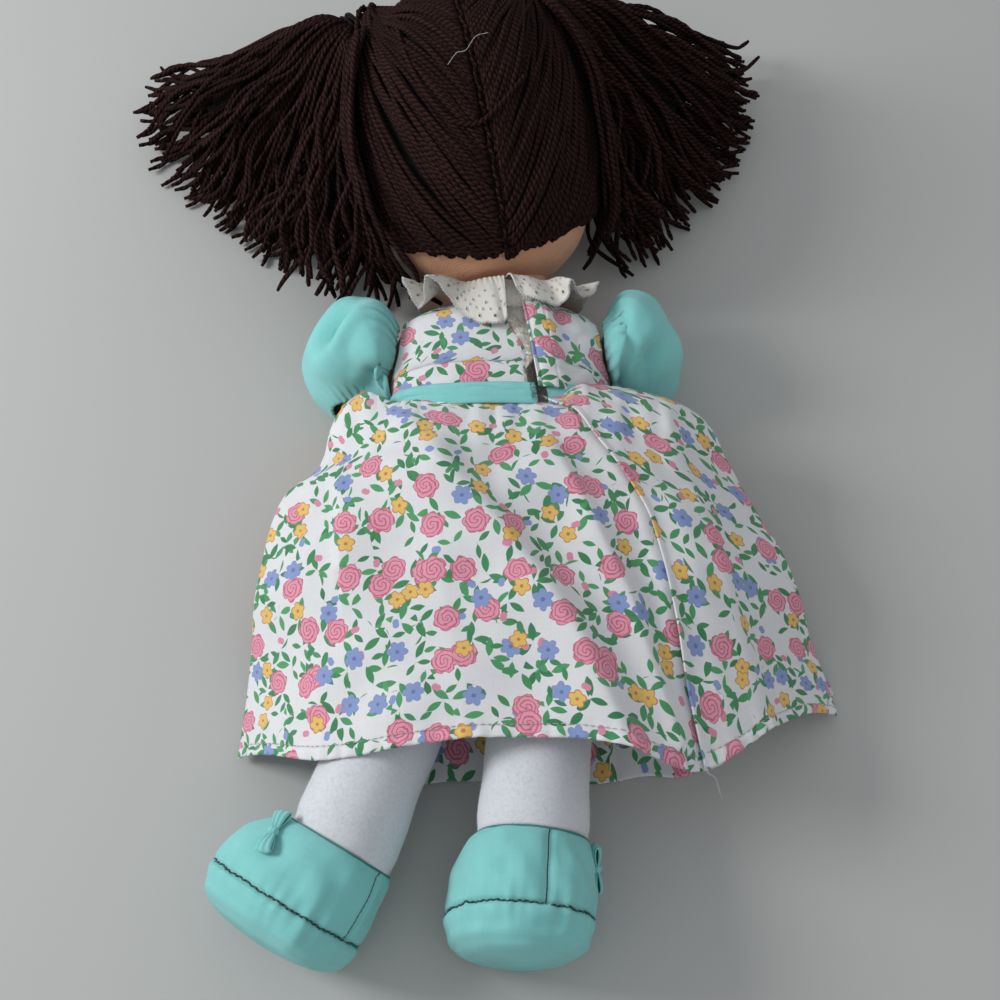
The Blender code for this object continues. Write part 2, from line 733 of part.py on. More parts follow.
def make_sleeve(name, side, squeeze):
    """The puffed sleeve, gathered at the armhole and drawn in at the cuff; squeeze flattens it."""
    cuff = arm_path(np.array(CUFF_SHARE))
    across, up = super_round(angles(SLEEVE_SIDES), ROUND)
    _, reach, swell, _ = SLEEVE_SHARES[0]
    seam_y = np.minimum(cuff[1] + SLEEVE_RADIUS * (reach + swell * across), SHOULDER_Y + ARMHOLE_HALF / 2.0)
    sunk = SLEEVE_WALL - shell_x(seam_y, SLEEVE_RADIUS * swell * up)
    rings = []
    for turn, reach, swell, drop in SLEEVE_SHARES:
        heading = np.radians(90.0 * turn)
        slack = 1.0 - squeeze * np.sin(2.0 * heading)
        away = SLEEVE_RADIUS * (reach * (1.0 + slack) / 2.0 + swell * slack * across)
        x = SLEEVE_WALL + away * np.sin(heading) - sunk * (1.0 - turn) ** 3
        y = cuff[1] + away * np.cos(heading)
        z = BODY_MID_Z + (cuff[2] - BODY_MID_Z) * drop + SLEEVE_RADIUS * swell * up
        rings.append(np.stack([side * x, y, z], axis=-1))
    rings = press_on_floor(np.array(rings), FLOOR_GAP)
    core_x = side * (SLEEVE_WALL + SLEEVE_RADIUS * SLEEVE_CORE_OUT_SHARE)
    core = (core_x, cuff[1] + SLEEVE_RADIUS * SLEEVE_CORE_UP_SHARE, BODY_MID_Z)
    return add_sheet(name, rings, CLOTH, "aqua", core, closed=True, inward=True)


# An arm: radius from the rounded shoulder to the mitten hand
ARM_SHARES = [
    (-0.100, 0.18),
    (-0.085, 0.52),
    (-0.045, 0.86),
    (0.00, 1.00),
    (0.08, 1.00),
    (0.15, 0.99),
    (0.22, 0.98),
    (0.34, 0.97),
    (0.50, 0.95),
    (0.70, 0.84),
    (0.78, 0.80),
    (0.88, 0.98),
    (0.95, 0.88),
    (0.985, 0.58),
    (1.00, 0.20),
]


def make_arm(name, side):
    """A stuffed arm with a mitten hand, lying on the floor beside the body."""
    along = np.array([row[0] for row in ARM_SHARES])
    centres = arm_path(along)
    radius = ARM_RADIUS * np.array([row[1] for row in ARM_SHARES])
    rings = press_on_floor(swept_rings(centres, radius, LIMB_SIDES), 0.0)
    rings[..., 0] *= side
    return add_object(name, skin_rings(name, rings), "skin", name)


def make_hip_seam():
    """The stitched strip along the bottom of the body that catches the tops of both legs."""
    half = BODY_HALF_WIDTH * BODY_SHARES[0][1]
    top = BODY_BOTTOM_Y - SEAT_GAP
    bpy.ops.mesh.primitive_cube_add(size=1.0)
    maker = bpy.context.object
    mesh = maker.data.copy()
    bpy.data.objects.remove(maker, do_unlink=True)
    size = Matrix.Diagonal((2.0 * half, SEAM_WIDTH, SEAM_THICKNESS, 1.0))
    mesh.transform(Matrix.Translation((0.0, top - SEAM_WIDTH / 2.0, BODY_MID_Z)) @ size)
    return add_object("hip_seam", mesh, "skin", "hips")


# A leg: half width and half depth from the rounded tab under the seam to the ankle
LEG_SHARES = [
    (0.000, 0.10, 0.06),
    (0.012, 0.22, 0.11),
    (0.035, 0.34, 0.22),
    (0.075, 0.43, 0.42),
    (0.130, 0.66, 0.68),
    (0.200, 0.86, 0.90),
    (0.310, 0.97, 1.00),
    (0.550, 0.99, 1.00),
    (0.800, 0.98, 0.98),
    (0.900, 1.00, 0.99),
    (1.000, 1.03, 1.02),
]
LEG_SLANT_SHARE = 0.55
LEG_TOP_Y = BODY_BOTTOM_Y - SEAM_WIDTH - 3.0 * SEAT_GAP
HIP_PIVOT_Y = LEG_TOP_Y - LEG_TAB_RADIUS


def leg_turn(length, splay_deg, ankle_z):
    """The leg's turn about its hip: splayed, and raised or lowered so that the ankle is at its height."""
    rise = np.arcsin((BODY_MID_Z - ankle_z) / length)
    return np.array(Matrix.Rotation(np.radians(splay_deg), 3, "Z") @ Matrix.Rotation(rise, 3, "X"))


def make_leg(name, side, length, shoe_frame):
    """A straight stuffed leg: pinched to a tab under the seam, cut at the ankle to meet the shoe."""
    ankle, _, _, up = shoe_frame
    pivot = np.array([side * LEG_SPACING / 2.0, HIP_PIVOT_Y, BODY_MID_Z])
    heading = (ankle - pivot) / np.linalg.norm(ankle - pivot)
    sideways = np.cross(np.array([0.0, 0.0, 1.0]), heading)
    sideways /= np.linalg.norm(sideways)
    above = np.cross(heading, sideways)
    across, along = super_round(angles(LEG_SIDES), ROUND)
    rings = []
    for share, width, depth in LEG_SHARES:
        centre = pivot + heading * (share * (length + LEG_TAB_RADIUS) - LEG_TAB_RADIUS)
        ring = LEG_RADIUS * (width * across[:, None] * sideways + depth * along[:, None] * above)
        slant = -(ring @ up) / (heading @ up)
        rings.append(centre + ring + ease(LEG_SLANT_SHARE, 1.0, share) * slant[:, None] * heading)
    return add_object(name, skin_rings(name, np.array(rings)), "fleece", name)


# A shoe from the ankle down: level, length, width and how far its middle lies towards the toe
SHOE_UPPER_SHARES = [
    (0.00, 0.680, 0.810, 0.010),
    (0.12, 0.830, 0.880, 0.070),
    (0.35, 0.940, 0.950, 0.115),
    (0.70, 0.990, 0.990, 0.135),
    (1.00, 1.000, 1.000, 0.140),
]
SHOE_SOLE_SHARES = [
    (0.00, 1.000, 1.000, 0.140),
    (0.35, 0.985, 0.975, 0.140),
    (0.70, 0.880, 0.840, 0.140),
    (0.92, 0.640, 0.560, 0.140),
    (1.00, 0.380, 0.320, 0.140),
]


def place_shoe(side, length, splay_deg, ankle_z, toe_roll_deg, pitch_deg):
    """The shoe's origin at the ankle, and its toe, side and up directions; pitch lifts the toe."""
    down_leg = leg_turn(length, splay_deg, ankle_z) @ np.array([0.0, -length, 0.0])
    ankle = np.array([side * LEG_SPACING / 2.0, HIP_PIVOT_Y, BODY_MID_Z]) + down_leg
    up = -down_leg / np.linalg.norm(down_leg)
    down = np.array([0.0, 0.0, -1.0])
    down = down - up * (down @ up)
    down /= np.linalg.norm(down)
    out = np.cross(down, up)
    out = out * np.sign(-out[0])
    roll, pitch = np.radians(toe_roll_deg), np.radians(pitch_deg)
    toe = np.cos(roll) * down + np.sin(roll) * out
    sideways = np.cross(toe, up)
    lifted_toe = np.cos(pitch) * toe + np.sin(pitch) * up
    return ankle, lifted_toe, sideways, np.cos(pitch) * up - np.sin(pitch) * toe


def shoe_rings(shares, frame, top, height):
    """Rings of the shoe, each an oval across the foot."""
    ankle, toe, sideways, up = frame
    across, along = super_round(angles(SHOE_SIDES), SHOE_SQUARENESS)
    rings = []
    for level, length, width, shift in shares:
        forward = SHOE_LENGTH * (shift + length * along / 2.0)
        outward = SHOE_WIDTH * width * across / 2.0
        place = ankle - up * (top + height * level)
        rings.append(place + forward[:, None] * toe + outward[:, None] * sideways)
    return press_on_floor(np.array(rings), 0.0)


def make_shoe(side_name, frame, bow_turn_deg, bow_tilt_deg):
    """A stuffed shoe: its upper, its puffed sole below the stitched seam, and its bow."""
    upper = shoe_rings(SHOE_UPPER_SHARES, frame, SEAT_GAP, SHOE_UPPER_HEIGHT)
    sole = shoe_rings(SHOE_SOLE_SHARES, frame, SHOE_UPPER_HEIGHT + 2.0 * SEAT_GAP, SHOE_SOLE_HEIGHT)
    leg = "leg_" + side_name
    add_object("shoe_upper_" + side_name, skin_rings("shoe_upper_" + side_name, upper), "aqua", leg)
    add_object("shoe_sole_" + side_name, skin_rings("shoe_sole_" + side_name, sole), "aqua", leg)
    make_bow("shoe_bow_" + side_name, frame, bow_turn_deg, bow_tilt_deg, leg)


# A bow from one loop's end to the other's: place along it, height and thickness
BOW_SHARES = [
    (-1.00, 0.45, 0.35),
    (-0.88, 0.95, 0.80),
    (-0.55, 1.00, 1.00),
    (-0.22, 0.42, 0.70),
    (-0.12, 0.60, 0.95),
    (0.12, 0.60, 0.95),
    (0.22, 0.42, 0.70),
    (0.55, 1.00, 1.00),
    (0.88, 0.95, 0.80),
    (1.00, 0.45, 0.35),
]
BOW_LEVEL_SHARE = 0.26
BOW_STEP_SHARE = 0.05
BOW_SEAT_SHARE = 0.9


def upper_point(frame, level, turn):
    """A point of the shoe's upper at a share of its height and a turn from the toe."""
    ankle, toe, sideways, up = frame
    length, width, shift = read_table(SHOE_UPPER_SHARES, level)
    across, along = super_round(np.array(turn), SHOE_SQUARENESS)
    forward = SHOE_LENGTH * (shift + length * along / 2.0)
    outward = SHOE_WIDTH * width * across / 2.0
    return ankle - up * (SHOE_UPPER_HEIGHT * level) + forward * toe + outward * sideways


def make_bow(name, frame, turn_deg, tilt_deg, carrier):
    """The small ribbon bow on a shoe below its top edge, against the upper and fallen over by its tilt."""
    turn, tilt = np.radians(turn_deg), np.radians(tilt_deg)
    place = upper_point(frame, BOW_LEVEL_SHARE, turn)
    long = upper_point(frame, BOW_LEVEL_SHARE, turn + BOW_STEP_SHARE) - place
    tall = upper_point(frame, BOW_LEVEL_SHARE - BOW_STEP_SHARE, turn) - place
    out = np.cross(tall, long)
    long, out = long / np.linalg.norm(long), out / np.linalg.norm(out)
    tall = np.cross(long, out)
    long, tall = np.cos(tilt) * long + np.sin(tilt) * tall, np.cos(tilt) * tall - np.sin(tilt) * long
    centre = place + out * (BOW_HALF_THICKNESS * BOW_SEAT_SHARE)
    across, along = super_round(angles(BOW_SIDES), ROUND)
    rings = []
    for reach, height, thick in BOW_SHARES:
        high = BOW_HALF_HEIGHT * height * across
        deep = BOW_HALF_THICKNESS * thick * along
        rings.append(centre + long * (BOW_HALF_LENGTH * reach) + high[:, None] * tall + deep[:, None] * out)
    rings = press_on_floor(np.array(rings), FLOOR_GAP)
    return add_object(name, skin_rings(name, rings), "aqua", carrier)


# The skirt from the waist down: left and right edges, the edges' height and the height over the middle
SKIRT_SHARES = [
    (0.000, -0.335, 0.335, 0.820, 1.015),
    (0.060, -0.450, 0.560, 1.000, 1.060),
    (0.160, -0.600, 0.690, 0.950, 1.080),
    (0.300, -0.680, 0.780, 0.870, 1.050),
    (0.450, -0.705, 0.845, 0.820, 1.020),
    (0.560, -0.715, 0.880, 0.700, 1.000),
    (0.700, -0.725, 0.915, 0.330, 0.990),
    (0.850, -0.735, 0.950, 0.120, 0.985),
    (1.000, -0.745, 0.970, 0.080, 0.985),
]
SKIRT_PROFILE_POWER = 2.6
SKIRT_ROWS = 15
SKIRT_LEFT_COLUMNS = 17
SKIRT_RIGHT_COLUMNS = 8
SKIRT_SETTLE_SHARE = 0.16
SKIRT_ROW_POWER = 1.15
SKIRT_COLUMN_POWER = 1.2
HEM_RIGHT_START_SHARE = 0.5
HEM_LEFT_START_SHARE = 0.6
LAP_FLAT_SHARE = 1.4
LAP_END_SHARE = 3.0
LAP_SHARES = [(0.00, 0.100), (0.30, 0.235), (0.60, 0.390), (1.00, 0.535)]
HEM_RIGHT_RISE_SHARE = 0.17
HEM_LEFT_RISE_SHARE = 0.05
# A fold runs from the waist to the hem: where it starts and ends, and how high it stands
FOLD_SHARES = [
    (-0.30, 0.36, 1.00),
    (-0.36, -0.28, 0.45),
    (0.22, 0.62, 0.55),
    (-0.10, 0.10, 0.35),
]


def skirt_rows():
    """The skirt's rows from the waist to the hem, and the shares read from its table at each."""
    down = np.linspace(0.0, 1.0, SKIRT_ROWS) ** SKIRT_ROW_POWER
    return down, read_table(SKIRT_SHARES, down)


def skirt_y(down, x, left, right):
    """How far along the doll a point of the skirt is: its rows bend up towards both sides of the hem."""
    on_right = HEM_RIGHT_RISE_SHARE * ease(HEM_RIGHT_START_SHARE, 1.0, x / right)
    on_left = HEM_LEFT_RISE_SHARE * ease(HEM_LEFT_START_SHARE, 1.0, x / left)
    return WAIST_Y - SEAT_GAP - SKIRT_LENGTH * (down - down**2 * (on_right + on_left))


def skirt_back_point(down, across, extra):
    """A point of the skirt's back at a share of the way down and of the way across."""
    left, right, edge, middle = read_table(SKIRT_SHARES, down)
    left, right = left * SKIRT_LENGTH, right * SKIRT_LENGTH
    x = left + (right - left) * across
    part = np.clip(np.where(x < 0.0, x / left, x / right), 0.0, 1.0)
    waist_round = (1.0 - part**SKIRT_PROFILE_POWER) ** (1.0 / SKIRT_PROFILE_POWER)
    draped = 1.0 - part**SKIRT_PROFILE_POWER
    settle = ease(0.0, SKIRT_SETTLE_SHARE, down)
    rise = waist_round * (1.0 - settle) + draped * settle
    low = SKIRT_EDGE_LIFT * edge + extra
    high = SKIRT_LIFT * middle + extra
    z = low + (high - low) * rise
    for start, stop, height in FOLD_SHARES:
        line = (start + (stop - start) * down) * SKIRT_LENGTH
        ridge = np.exp(-(((x - line) / SKIRT_FOLD_WIDTH) ** 2))
        z = z + SKIRT_FOLD_HEIGHT * height * ridge * np.sqrt(np.clip(down, 0.0, 1.0)) * rise
    return np.stack(np.broadcast_arrays(x, skirt_y(down, x, left, right), z), axis=-1)


def lap_share(down):
    """Where the back opening lies, as a share of the way across the skirt."""
    left, right, _, _ = read_table(SKIRT_SHARES, down)
    line = read_table(LAP_SHARES, down)[0]
    return (line - left) / (right - left)


def make_skirt():
    """The skirt: a front under the legs, and two backs that lap at the opening and drape over the arms."""
    down, (left, right, edge, _) = skirt_rows()
    width = (right - left) * SKIRT_LENGTH
    lap = lap_share(down)
    step = CLOTH + LOOSE_GAP
    left_rows, right_rows, front_rows = [], [], []
    for row, place in enumerate(down):
        lap_over = LAP_WIDTH / width[row]
        reach = np.linspace(0.0, lap[row] + lap_over, SKIRT_LEFT_COLUMNS)
        left_rows.append(skirt_back_point(place, reach, 0.0))
        crowded = np.linspace(0.0, 1.0, SKIRT_RIGHT_COLUMNS) ** SKIRT_COLUMN_POWER
        reach = lap[row] + (1.0 - lap[row]) * crowded
        far = (reach - lap[row]) * width[row]
        raised = step * (1.0 - ease(LAP_WIDTH * LAP_FLAT_SHARE, LAP_WIDTH * LAP_END_SHARE, far))
        right_rows.append(skirt_back_point(place, reach, raised))
        front_rows.append(skirt_front_row(place, left[row], right[row], edge[row]))
    below = (0.0, 0.0, -1.0)
    add_sheet("skirt_back_left", left_rows, CLOTH, "print", below, "hips")
    add_sheet("skirt_back_right", right_rows, CLOTH, "print", below, "hips")
    add_sheet("skirt_front", front_rows, CLOTH, "print", below, "hips")


# The skirt's front: columns from its middle to its edge, with a rise from the table on to the arm
FRONT_SHARES = (0.0, 0.5, 1.0)
FRONT_RISE_SHARES = (0.25, 0.5, 0.75, 1.0)
FRONT_EDGE_SHARES = (0.5, 1.0)
RISE_START = 0.0435
RISE_WIDTH = 0.0075


def skirt_front_row(place, left, right, edge):
    """One row of the skirt's front: flat under the body, up between body and arm, then out over the arm."""
    top = SKIRT_EDGE_LIFT * edge - CLOTH - SEAT_GAP
    halves = []
    for side, reach in ((-1.0, -left * SKIRT_LENGTH), (1.0, right * SKIRT_LENGTH)):
        start = np.minimum(RISE_START, reach - RISE_WIDTH)
        x = [start * share for share in FRONT_SHARES]
        z = [FLOOR_GAP] * len(FRONT_SHARES)
        for share in FRONT_RISE_SHARES:
            x.append(start + RISE_WIDTH * share)
            z.append(FLOOR_GAP + (top - FLOOR_GAP) * ease(0.0, 1.0, share))
        outer = start + RISE_WIDTH
        for share in FRONT_EDGE_SHARES:
            x.append(outer + (reach - outer) * share)
            z.append(top)
        halves.append((side * np.array(x), np.array(z)))
    x = np.concatenate([halves[0][0][::-1], halves[1][0][1:]])
    z = np.concatenate([halves[0][1][::-1], halves[1][1][1:]])
    return np.stack([x, skirt_y(place, x, left * SKIRT_LENGTH, right * SKIRT_LENGTH), z], axis=-1)


def place_carriers():
    """Put an empty on the axis of each joint: neck, head, pigtails, shoulders, hips and legs.

    The hips turn about a line inside the hip seam's near edge, so that its corners clear the body."""
    add_carrier("neck", (0.0, BODY_BOTTOM_Y + BODY_LENGTH, BODY_MID_Z))
    add_carrier("head", (NECK_X, NECK_Y, NECK_Z))
    add_carrier("hips", (0.0, BODY_BOTTOM_Y - SEAM_THICKNESS, BODY_MID_Z))
    for side, word in ((-1.0, "left"), (1.0, "right")):
        add_carrier("pigtail_" + word, tie_place(side))
        add_carrier("arm_" + word, (side * SHOULDER_OUT, SHOULDER_Y, BODY_MID_Z))
        add_carrier("leg_" + word, (side * LEG_SPACING / 2.0, HIP_PIVOT_Y, BODY_MID_Z))


def main():
    """Make every piece in the order in which the doll is sewn and dressed."""
    place_carriers()
    swelled = add_cutter("swelled_head", skin_rings("swelled_head", head_rings(SEAT_GAP)))
    over_hair = HAIR_THICKNESS + 2.1 * LOOSE_GAP
    haired = add_cutter("haired_head", skin_rings("haired_head", head_rings(over_hair)))
    make_body()
    make_head()
    make_neck(swelled)
    make_cap("hair_cap_left", -1.0)
    make_cap("hair_cap_right", 1.0)
    make_parting()
    make_pigtail("pigtail_left", -1.0, LEFT_FAN_MIDDLE_DEG, LEFT_FAN_HALF_DEG, haired)
    make_pigtail("pigtail_right", 1.0, RIGHT_FAN_MIDDLE_DEG, RIGHT_FAN_HALF_DEG, haired)
    make_tie("hair_tie_left", -1.0, LEFT_FAN_MIDDLE_DEG)
    make_tie("hair_tie_right", 1.0, RIGHT_FAN_MIDDLE_DEG)
    make_bodice()
    make_closure()
    make_sash()
    make_collar()
    make_sleeve("sleeve_left", -1.0, 0.0)
    make_sleeve("sleeve_right", 1.0, RIGHT_SLEEVE_SQUEEZE_SHARE)
    make_arm("arm_left", -1.0)
    make_arm("arm_right", 1.0)
    make_hip_seam()
    left_shoe = place_shoe(
        -1.0, LEFT_LEG_LENGTH, LEFT_SPLAY_DEG, LEFT_ANKLE_Z, LEFT_TOE_ROLL_DEG, LEFT_TOE_PITCH_DEG
    )
    right_shoe = place_shoe(
        1.0, RIGHT_LEG_LENGTH, RIGHT_SPLAY_DEG, RIGHT_ANKLE_Z, RIGHT_TOE_ROLL_DEG, RIGHT_TOE_PITCH_DEG
    )
    make_leg("leg_left", -1.0, LEFT_LEG_LENGTH, left_shoe)
    make_leg("leg_right", 1.0, RIGHT_LEG_LENGTH, right_shoe)
    make_shoe("left", left_shoe, LEFT_BOW_TURN_DEG, LEFT_BOW_TILT_DEG)
    make_shoe("right", right_shoe, RIGHT_BOW_TURN_DEG, RIGHT_BOW_TILT_DEG)
    make_skirt()


main()
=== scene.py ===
# %% [markdown]
# # A rag doll lying face down
# This lesson dresses a cloth doll round a plain model that is already built. The plain model
# says where each stuffed piece, each joint and each layer of cloth is. Here every piece gets its real
# surface: yarn that is twisted, cloth that is woven and printed, lace with holes in it, and seams that
# pucker.
#
# Each surface is a formula of two parameters on a grid, worked out with numpy as whole arrays. That keeps
# the shapes smooth at any count, and a size can be changed in one place.

import bmesh
import bpy
import numpy as np
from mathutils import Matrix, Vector


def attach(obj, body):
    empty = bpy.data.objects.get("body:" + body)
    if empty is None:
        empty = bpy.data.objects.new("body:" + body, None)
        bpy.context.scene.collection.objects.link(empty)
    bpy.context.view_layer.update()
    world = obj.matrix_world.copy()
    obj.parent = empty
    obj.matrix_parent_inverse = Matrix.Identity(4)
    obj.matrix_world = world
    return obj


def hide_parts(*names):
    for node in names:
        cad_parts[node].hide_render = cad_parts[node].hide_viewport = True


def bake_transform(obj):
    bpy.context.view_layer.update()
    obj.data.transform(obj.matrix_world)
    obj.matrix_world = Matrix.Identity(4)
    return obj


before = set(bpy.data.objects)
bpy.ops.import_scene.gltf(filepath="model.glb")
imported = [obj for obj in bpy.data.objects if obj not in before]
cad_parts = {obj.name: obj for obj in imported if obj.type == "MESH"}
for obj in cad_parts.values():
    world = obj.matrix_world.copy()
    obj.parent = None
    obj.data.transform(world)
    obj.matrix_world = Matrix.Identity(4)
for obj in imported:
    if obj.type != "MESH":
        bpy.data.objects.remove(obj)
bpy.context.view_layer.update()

# %% [markdown]
# ## Camera
# The doll was photographed from above and a little behind its feet, with a lens like a 50 mm one. The
# camera comes first, so that every piece made later can be judged from the same place.

# %% Place the camera
CAMERA_PLACE = Vector((0.0, -0.2908, 0.5339))
CAMERA_AIM = Vector((0.0, -0.0605, 0.040))
camera = bpy.data.objects.new("camera", bpy.data.cameras.new("camera"))
camera.data.lens = 50.4
camera.data.sensor_width = 36.0
camera.location = CAMERA_PLACE
camera.rotation_euler = (CAMERA_AIM - CAMERA_PLACE).to_track_quat("-Z", "Y").to_euler()
bpy.context.scene.collection.objects.link(camera)
bpy.context.scene.camera = camera
bpy.context.scene.view_settings.view_transform = "Standard"
print("camera distance in metres:", round((CAMERA_AIM - CAMERA_PLACE).length, 3))

# %% [markdown]
# ## Measures of the doll
# The doll is laid out in a drawing frame whose zero lies near the middle of the body, on the table. The
# plain model has its zero under the chest, so every mesh is shifted along Y once, when it is made. A table
# of shares says how a stuffed limb swells: its first column is the place along the limb, and the others are
# parts of the limb's own width and depth.

# %% Sizes in metres
TO_CHEST = np.array([0.0, -0.0605, 0.0])
BODY_BOTTOM_Y, BODY_LENGTH = -0.013, 0.099
BODY_HALF_WIDTH, BODY_HALF_DEPTH, BODY_MID_Z = 0.0395, 0.0262, 0.0275
BODY_SQUARENESS = 2.5
NECK_PLACE = np.array([0.004, 0.096, 0.0218])
NECK_HALF_WIDTH, NECK_HALF_DEPTH = 0.0175, 0.0165
HEAD_HALF = np.array([0.046, 0.0635, 0.0465])
HEAD_RISE, HEAD_LEAN_DEG, HEAD_PITCH_DEG, HEAD_SQUARENESS = 0.0752, 12.0, 20.0, 2.15
HAIR_LIFT, HAIR_THICKNESS = 0.0010, 0.0042
LOOSE, CLOTH, SEAT = 0.0010, 0.0009, 0.0004
print("doll about", round(2 * HEAD_HALF[1] + BODY_LENGTH + 0.155, 2), "m tall, laid straight")


# %% Curves read from tables
def ease(low, high, value):
    """A smooth step: 3 p**2 - 2 p**3 of the clipped share p of the way from low to high."""
    part = np.clip((value - low) / (high - low), 0.0, 1.0)
    return part * part * (3.0 - 2.0 * part)


def smooth_read(places, values, along):
    """A cubic Hermite curve through the rows, with slopes taken from each row's neighbours."""
    slopes = np.gradient(values, places)
    along = np.clip(along, places[0], places[-1])
    low = np.clip(np.searchsorted(places, along) - 1, 0, len(places) - 2)
    span = places[low + 1] - places[low]
    part = (along - places[low]) / span
    lift = part * part * (3.0 - 2.0 * part)
    start = part * (1.0 - part) ** 2 * span * slopes[low]
    stop = part * part * (part - 1.0) * span * slopes[low + 1]
    return values[low] * (1.0 - lift) + values[low + 1] * lift + start + stop


def read_table(shares, along):
    """Every column of a table of shares, read at places given in the units of its first column."""
    table = np.asarray(shares)
    along = np.asarray(along, float)
    return [smooth_read(table[:, 0], column, along) for column in table[:, 1:].T]


def super_round(angle, squareness):
    """A rounded square: sine and cosine, each raised to 2 / squareness with its sign kept."""
    power = 2.0 / squareness
    across, up = np.sin(angle), np.cos(angle)
    return np.sign(across) * np.abs(across) ** power, np.sign(up) * np.abs(up) ** power


print("halfway up an eased step:", ease(0.0, 1.0, 0.5))


# %% Lines and grids of points
SIDES = {"left": -1.0, "right": 1.0}


def units(vectors):
    """Vectors brought to length 1."""
    return vectors / np.linalg.norm(vectors, axis=-1, keepdims=True)


def grid_of(x, y, z):
    """Three arrays brought to one shape and joined into points."""
    return np.stack(np.broadcast_arrays(x, y, z), axis=-1)


def run_along(line):
    """The distance from a line's start to each of its points."""
    return np.concatenate([[0.0], np.cumsum(np.linalg.norm(np.diff(line, axis=0), axis=1))])


def read_line(line, reach, places):
    """A line's points, or what goes with each of them, read at distances along it."""
    return np.stack([np.interp(places, reach, column) for column in line.T], axis=-1)


def curve_through(places_mm, steps):
    """A smooth curve through a few places in mm, as the one path of an array of paths."""
    places = np.array(places_mm) / 1000.0
    knots, share = np.linspace(0.0, 1.0, len(places)), np.linspace(0.0, 1.0, steps)
    return np.stack([smooth_read(knots, column, share) for column in places.T], axis=1)[None]


print("a line of three steps of 1 runs", run_along(np.arange(4.0)[:, None])[-1])


# %% Turn grids of points into meshes
def stack_quads(index):
    """Corners of each quad of a grid of point numbers, as one array."""
    corners = [index[:-1, :-1], index[:-1, 1:], index[1:, 1:], index[1:, :-1]]
    return np.stack(corners, axis=-1).reshape(-1, 4)


def mesh_from_grid(name, points, uv=None, wrap=False, ends=False):
    """A mesh over a grid of points: wrap joins the last column to the first, ends closes both end rows.

    Each end is closed by a fan to the middle of its row. uv gives every point its place on the flat cloth,
    in metres, and has one more column than points where the grid wraps."""
    rows, cols, _ = points.shape
    index = np.arange(rows * cols).reshape(rows, cols)
    if wrap:
        index = np.concatenate([index, index[:, :1]], axis=1)
    faces = stack_quads(index).tolist()
    verts = points.reshape(-1, 3) + TO_CHEST
    flat = None
    if uv is not None:
        stepped = np.arange(uv.shape[0] * uv.shape[1]).reshape(uv.shape[:2])
        flat = uv.reshape(-1, 2)[stack_quads(stepped).reshape(-1)]
    if ends:
        middle = [points[0].mean(axis=0) + TO_CHEST, points[-1].mean(axis=0) + TO_CHEST]
        verts = np.concatenate([verts, np.array(middle)])
        first, last = rows * cols, rows * cols + 1
        faces += [[index[0, k + 1], index[0, k], first] for k in range(index.shape[1] - 1)]
        faces += [[index[-1, k], index[-1, k + 1], last] for k in range(index.shape[1] - 1)]
        if flat is not None:
            tips = np.repeat(uv[[0, -1], : index.shape[1] - 1].reshape(-1, 2), 3, axis=0)
            flat = np.concatenate([flat, tips])
    mesh = bpy.data.meshes.new(name)
    mesh.from_pydata(verts.tolist(), [], faces)
    if flat is not None:
        layer = mesh.uv_layers.new(name="cloth")
        layer.data.foreach_set("uv", flat.astype(np.float32).reshape(-1))
    mesh.shade_smooth()
    return mesh


def face_outward(mesh):
    """Turn every face of a closed mesh outward."""
    work = bmesh.new()
    work.from_mesh(mesh)
    bmesh.ops.recalc_face_normals(work, faces=work.faces)
    work.to_mesh(mesh)
    work.free()
    return mesh


print("a 3 by 3 grid has", len(stack_quads(np.arange(9).reshape(3, 3))), "quads")

# %% [markdown]
# ## Pieces and the bodies that carry them
# A finished piece rides on the body that moves it, stands in for the plain solid that it hides, and takes
# its finish. One helper does all three. A piece that spans a bend between two bodies is fixed where it
# is made and rides on neither.


# %% Put a piece on its body
def put(name, mesh, body, material, replaces=()):
    """Link a mesh as a piece, give it its material, hide the nodes it stands for, and tie it to its body.

    A body is a name, or two names with the start and end of a bend between them; such a piece is tied to
    no body and stays where it is made."""
    mesh.materials.clear()
    mesh.materials.append(material)
    piece = bpy.data.objects.new(name, mesh)
    bpy.context.scene.collection.objects.link(piece)
    if isinstance(body, str):
        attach(piece, body)
    else:
        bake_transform(piece)
    if replaces:
        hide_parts(*replaces)
    return piece


def stuff(name, grid, body, material, replaces, uv=None):
    """A closed skin over a grid of rings, its faces turned outward."""
    mesh = face_outward(mesh_from_grid(name, grid, uv=uv, wrap=True, ends=True))
    piece = put(name, mesh, body, material, replaces)
    return piece


def thicken(piece, thickness, offset):
    """Give a sheet its cloth's thickness; offset 1 adds it outside the grid and -1 inside."""
    solid = piece.modifiers.new("cloth", "SOLIDIFY")
    solid.thickness = thickness
    solid.offset = offset
    return piece


def grid_lengths(points):
    """The longest row, the longest column and the area of a grid of points, in metres."""
    across = np.linalg.norm(np.diff(points, axis=1), axis=2).sum(axis=1).max()
    along = np.linalg.norm(np.diff(points, axis=0), axis=2).sum(axis=0).max()
    first, second = points[1:, 1:] - points[:-1, :-1], points[1:, :-1] - points[:-1, 1:]
    return across, along, np.linalg.norm(np.cross(first, second), axis=2).sum() / 2.0


def declare_cloth(piece, points):
    """Print a sheet's width, length and area of the flat cut that its grid gives.

    A tape narrower than a centimetre is trim: only its width and length are printed. A tape narrower
    than a centimetre is trim, which the frame doesn't take as a sheet."""
    width, length, area = grid_lengths(points)
    if min(width, length) < 0.010:
        print(f"{piece.name}: tape {width * 1000:.1f} by {length * 1000:.1f} mm")
        return
    area = min(area, width * length)
    print(f"{piece.name}: cut {width * 1000:.0f} by {length * 1000:.0f} mm, {area * 1e4:.0f} square cm")


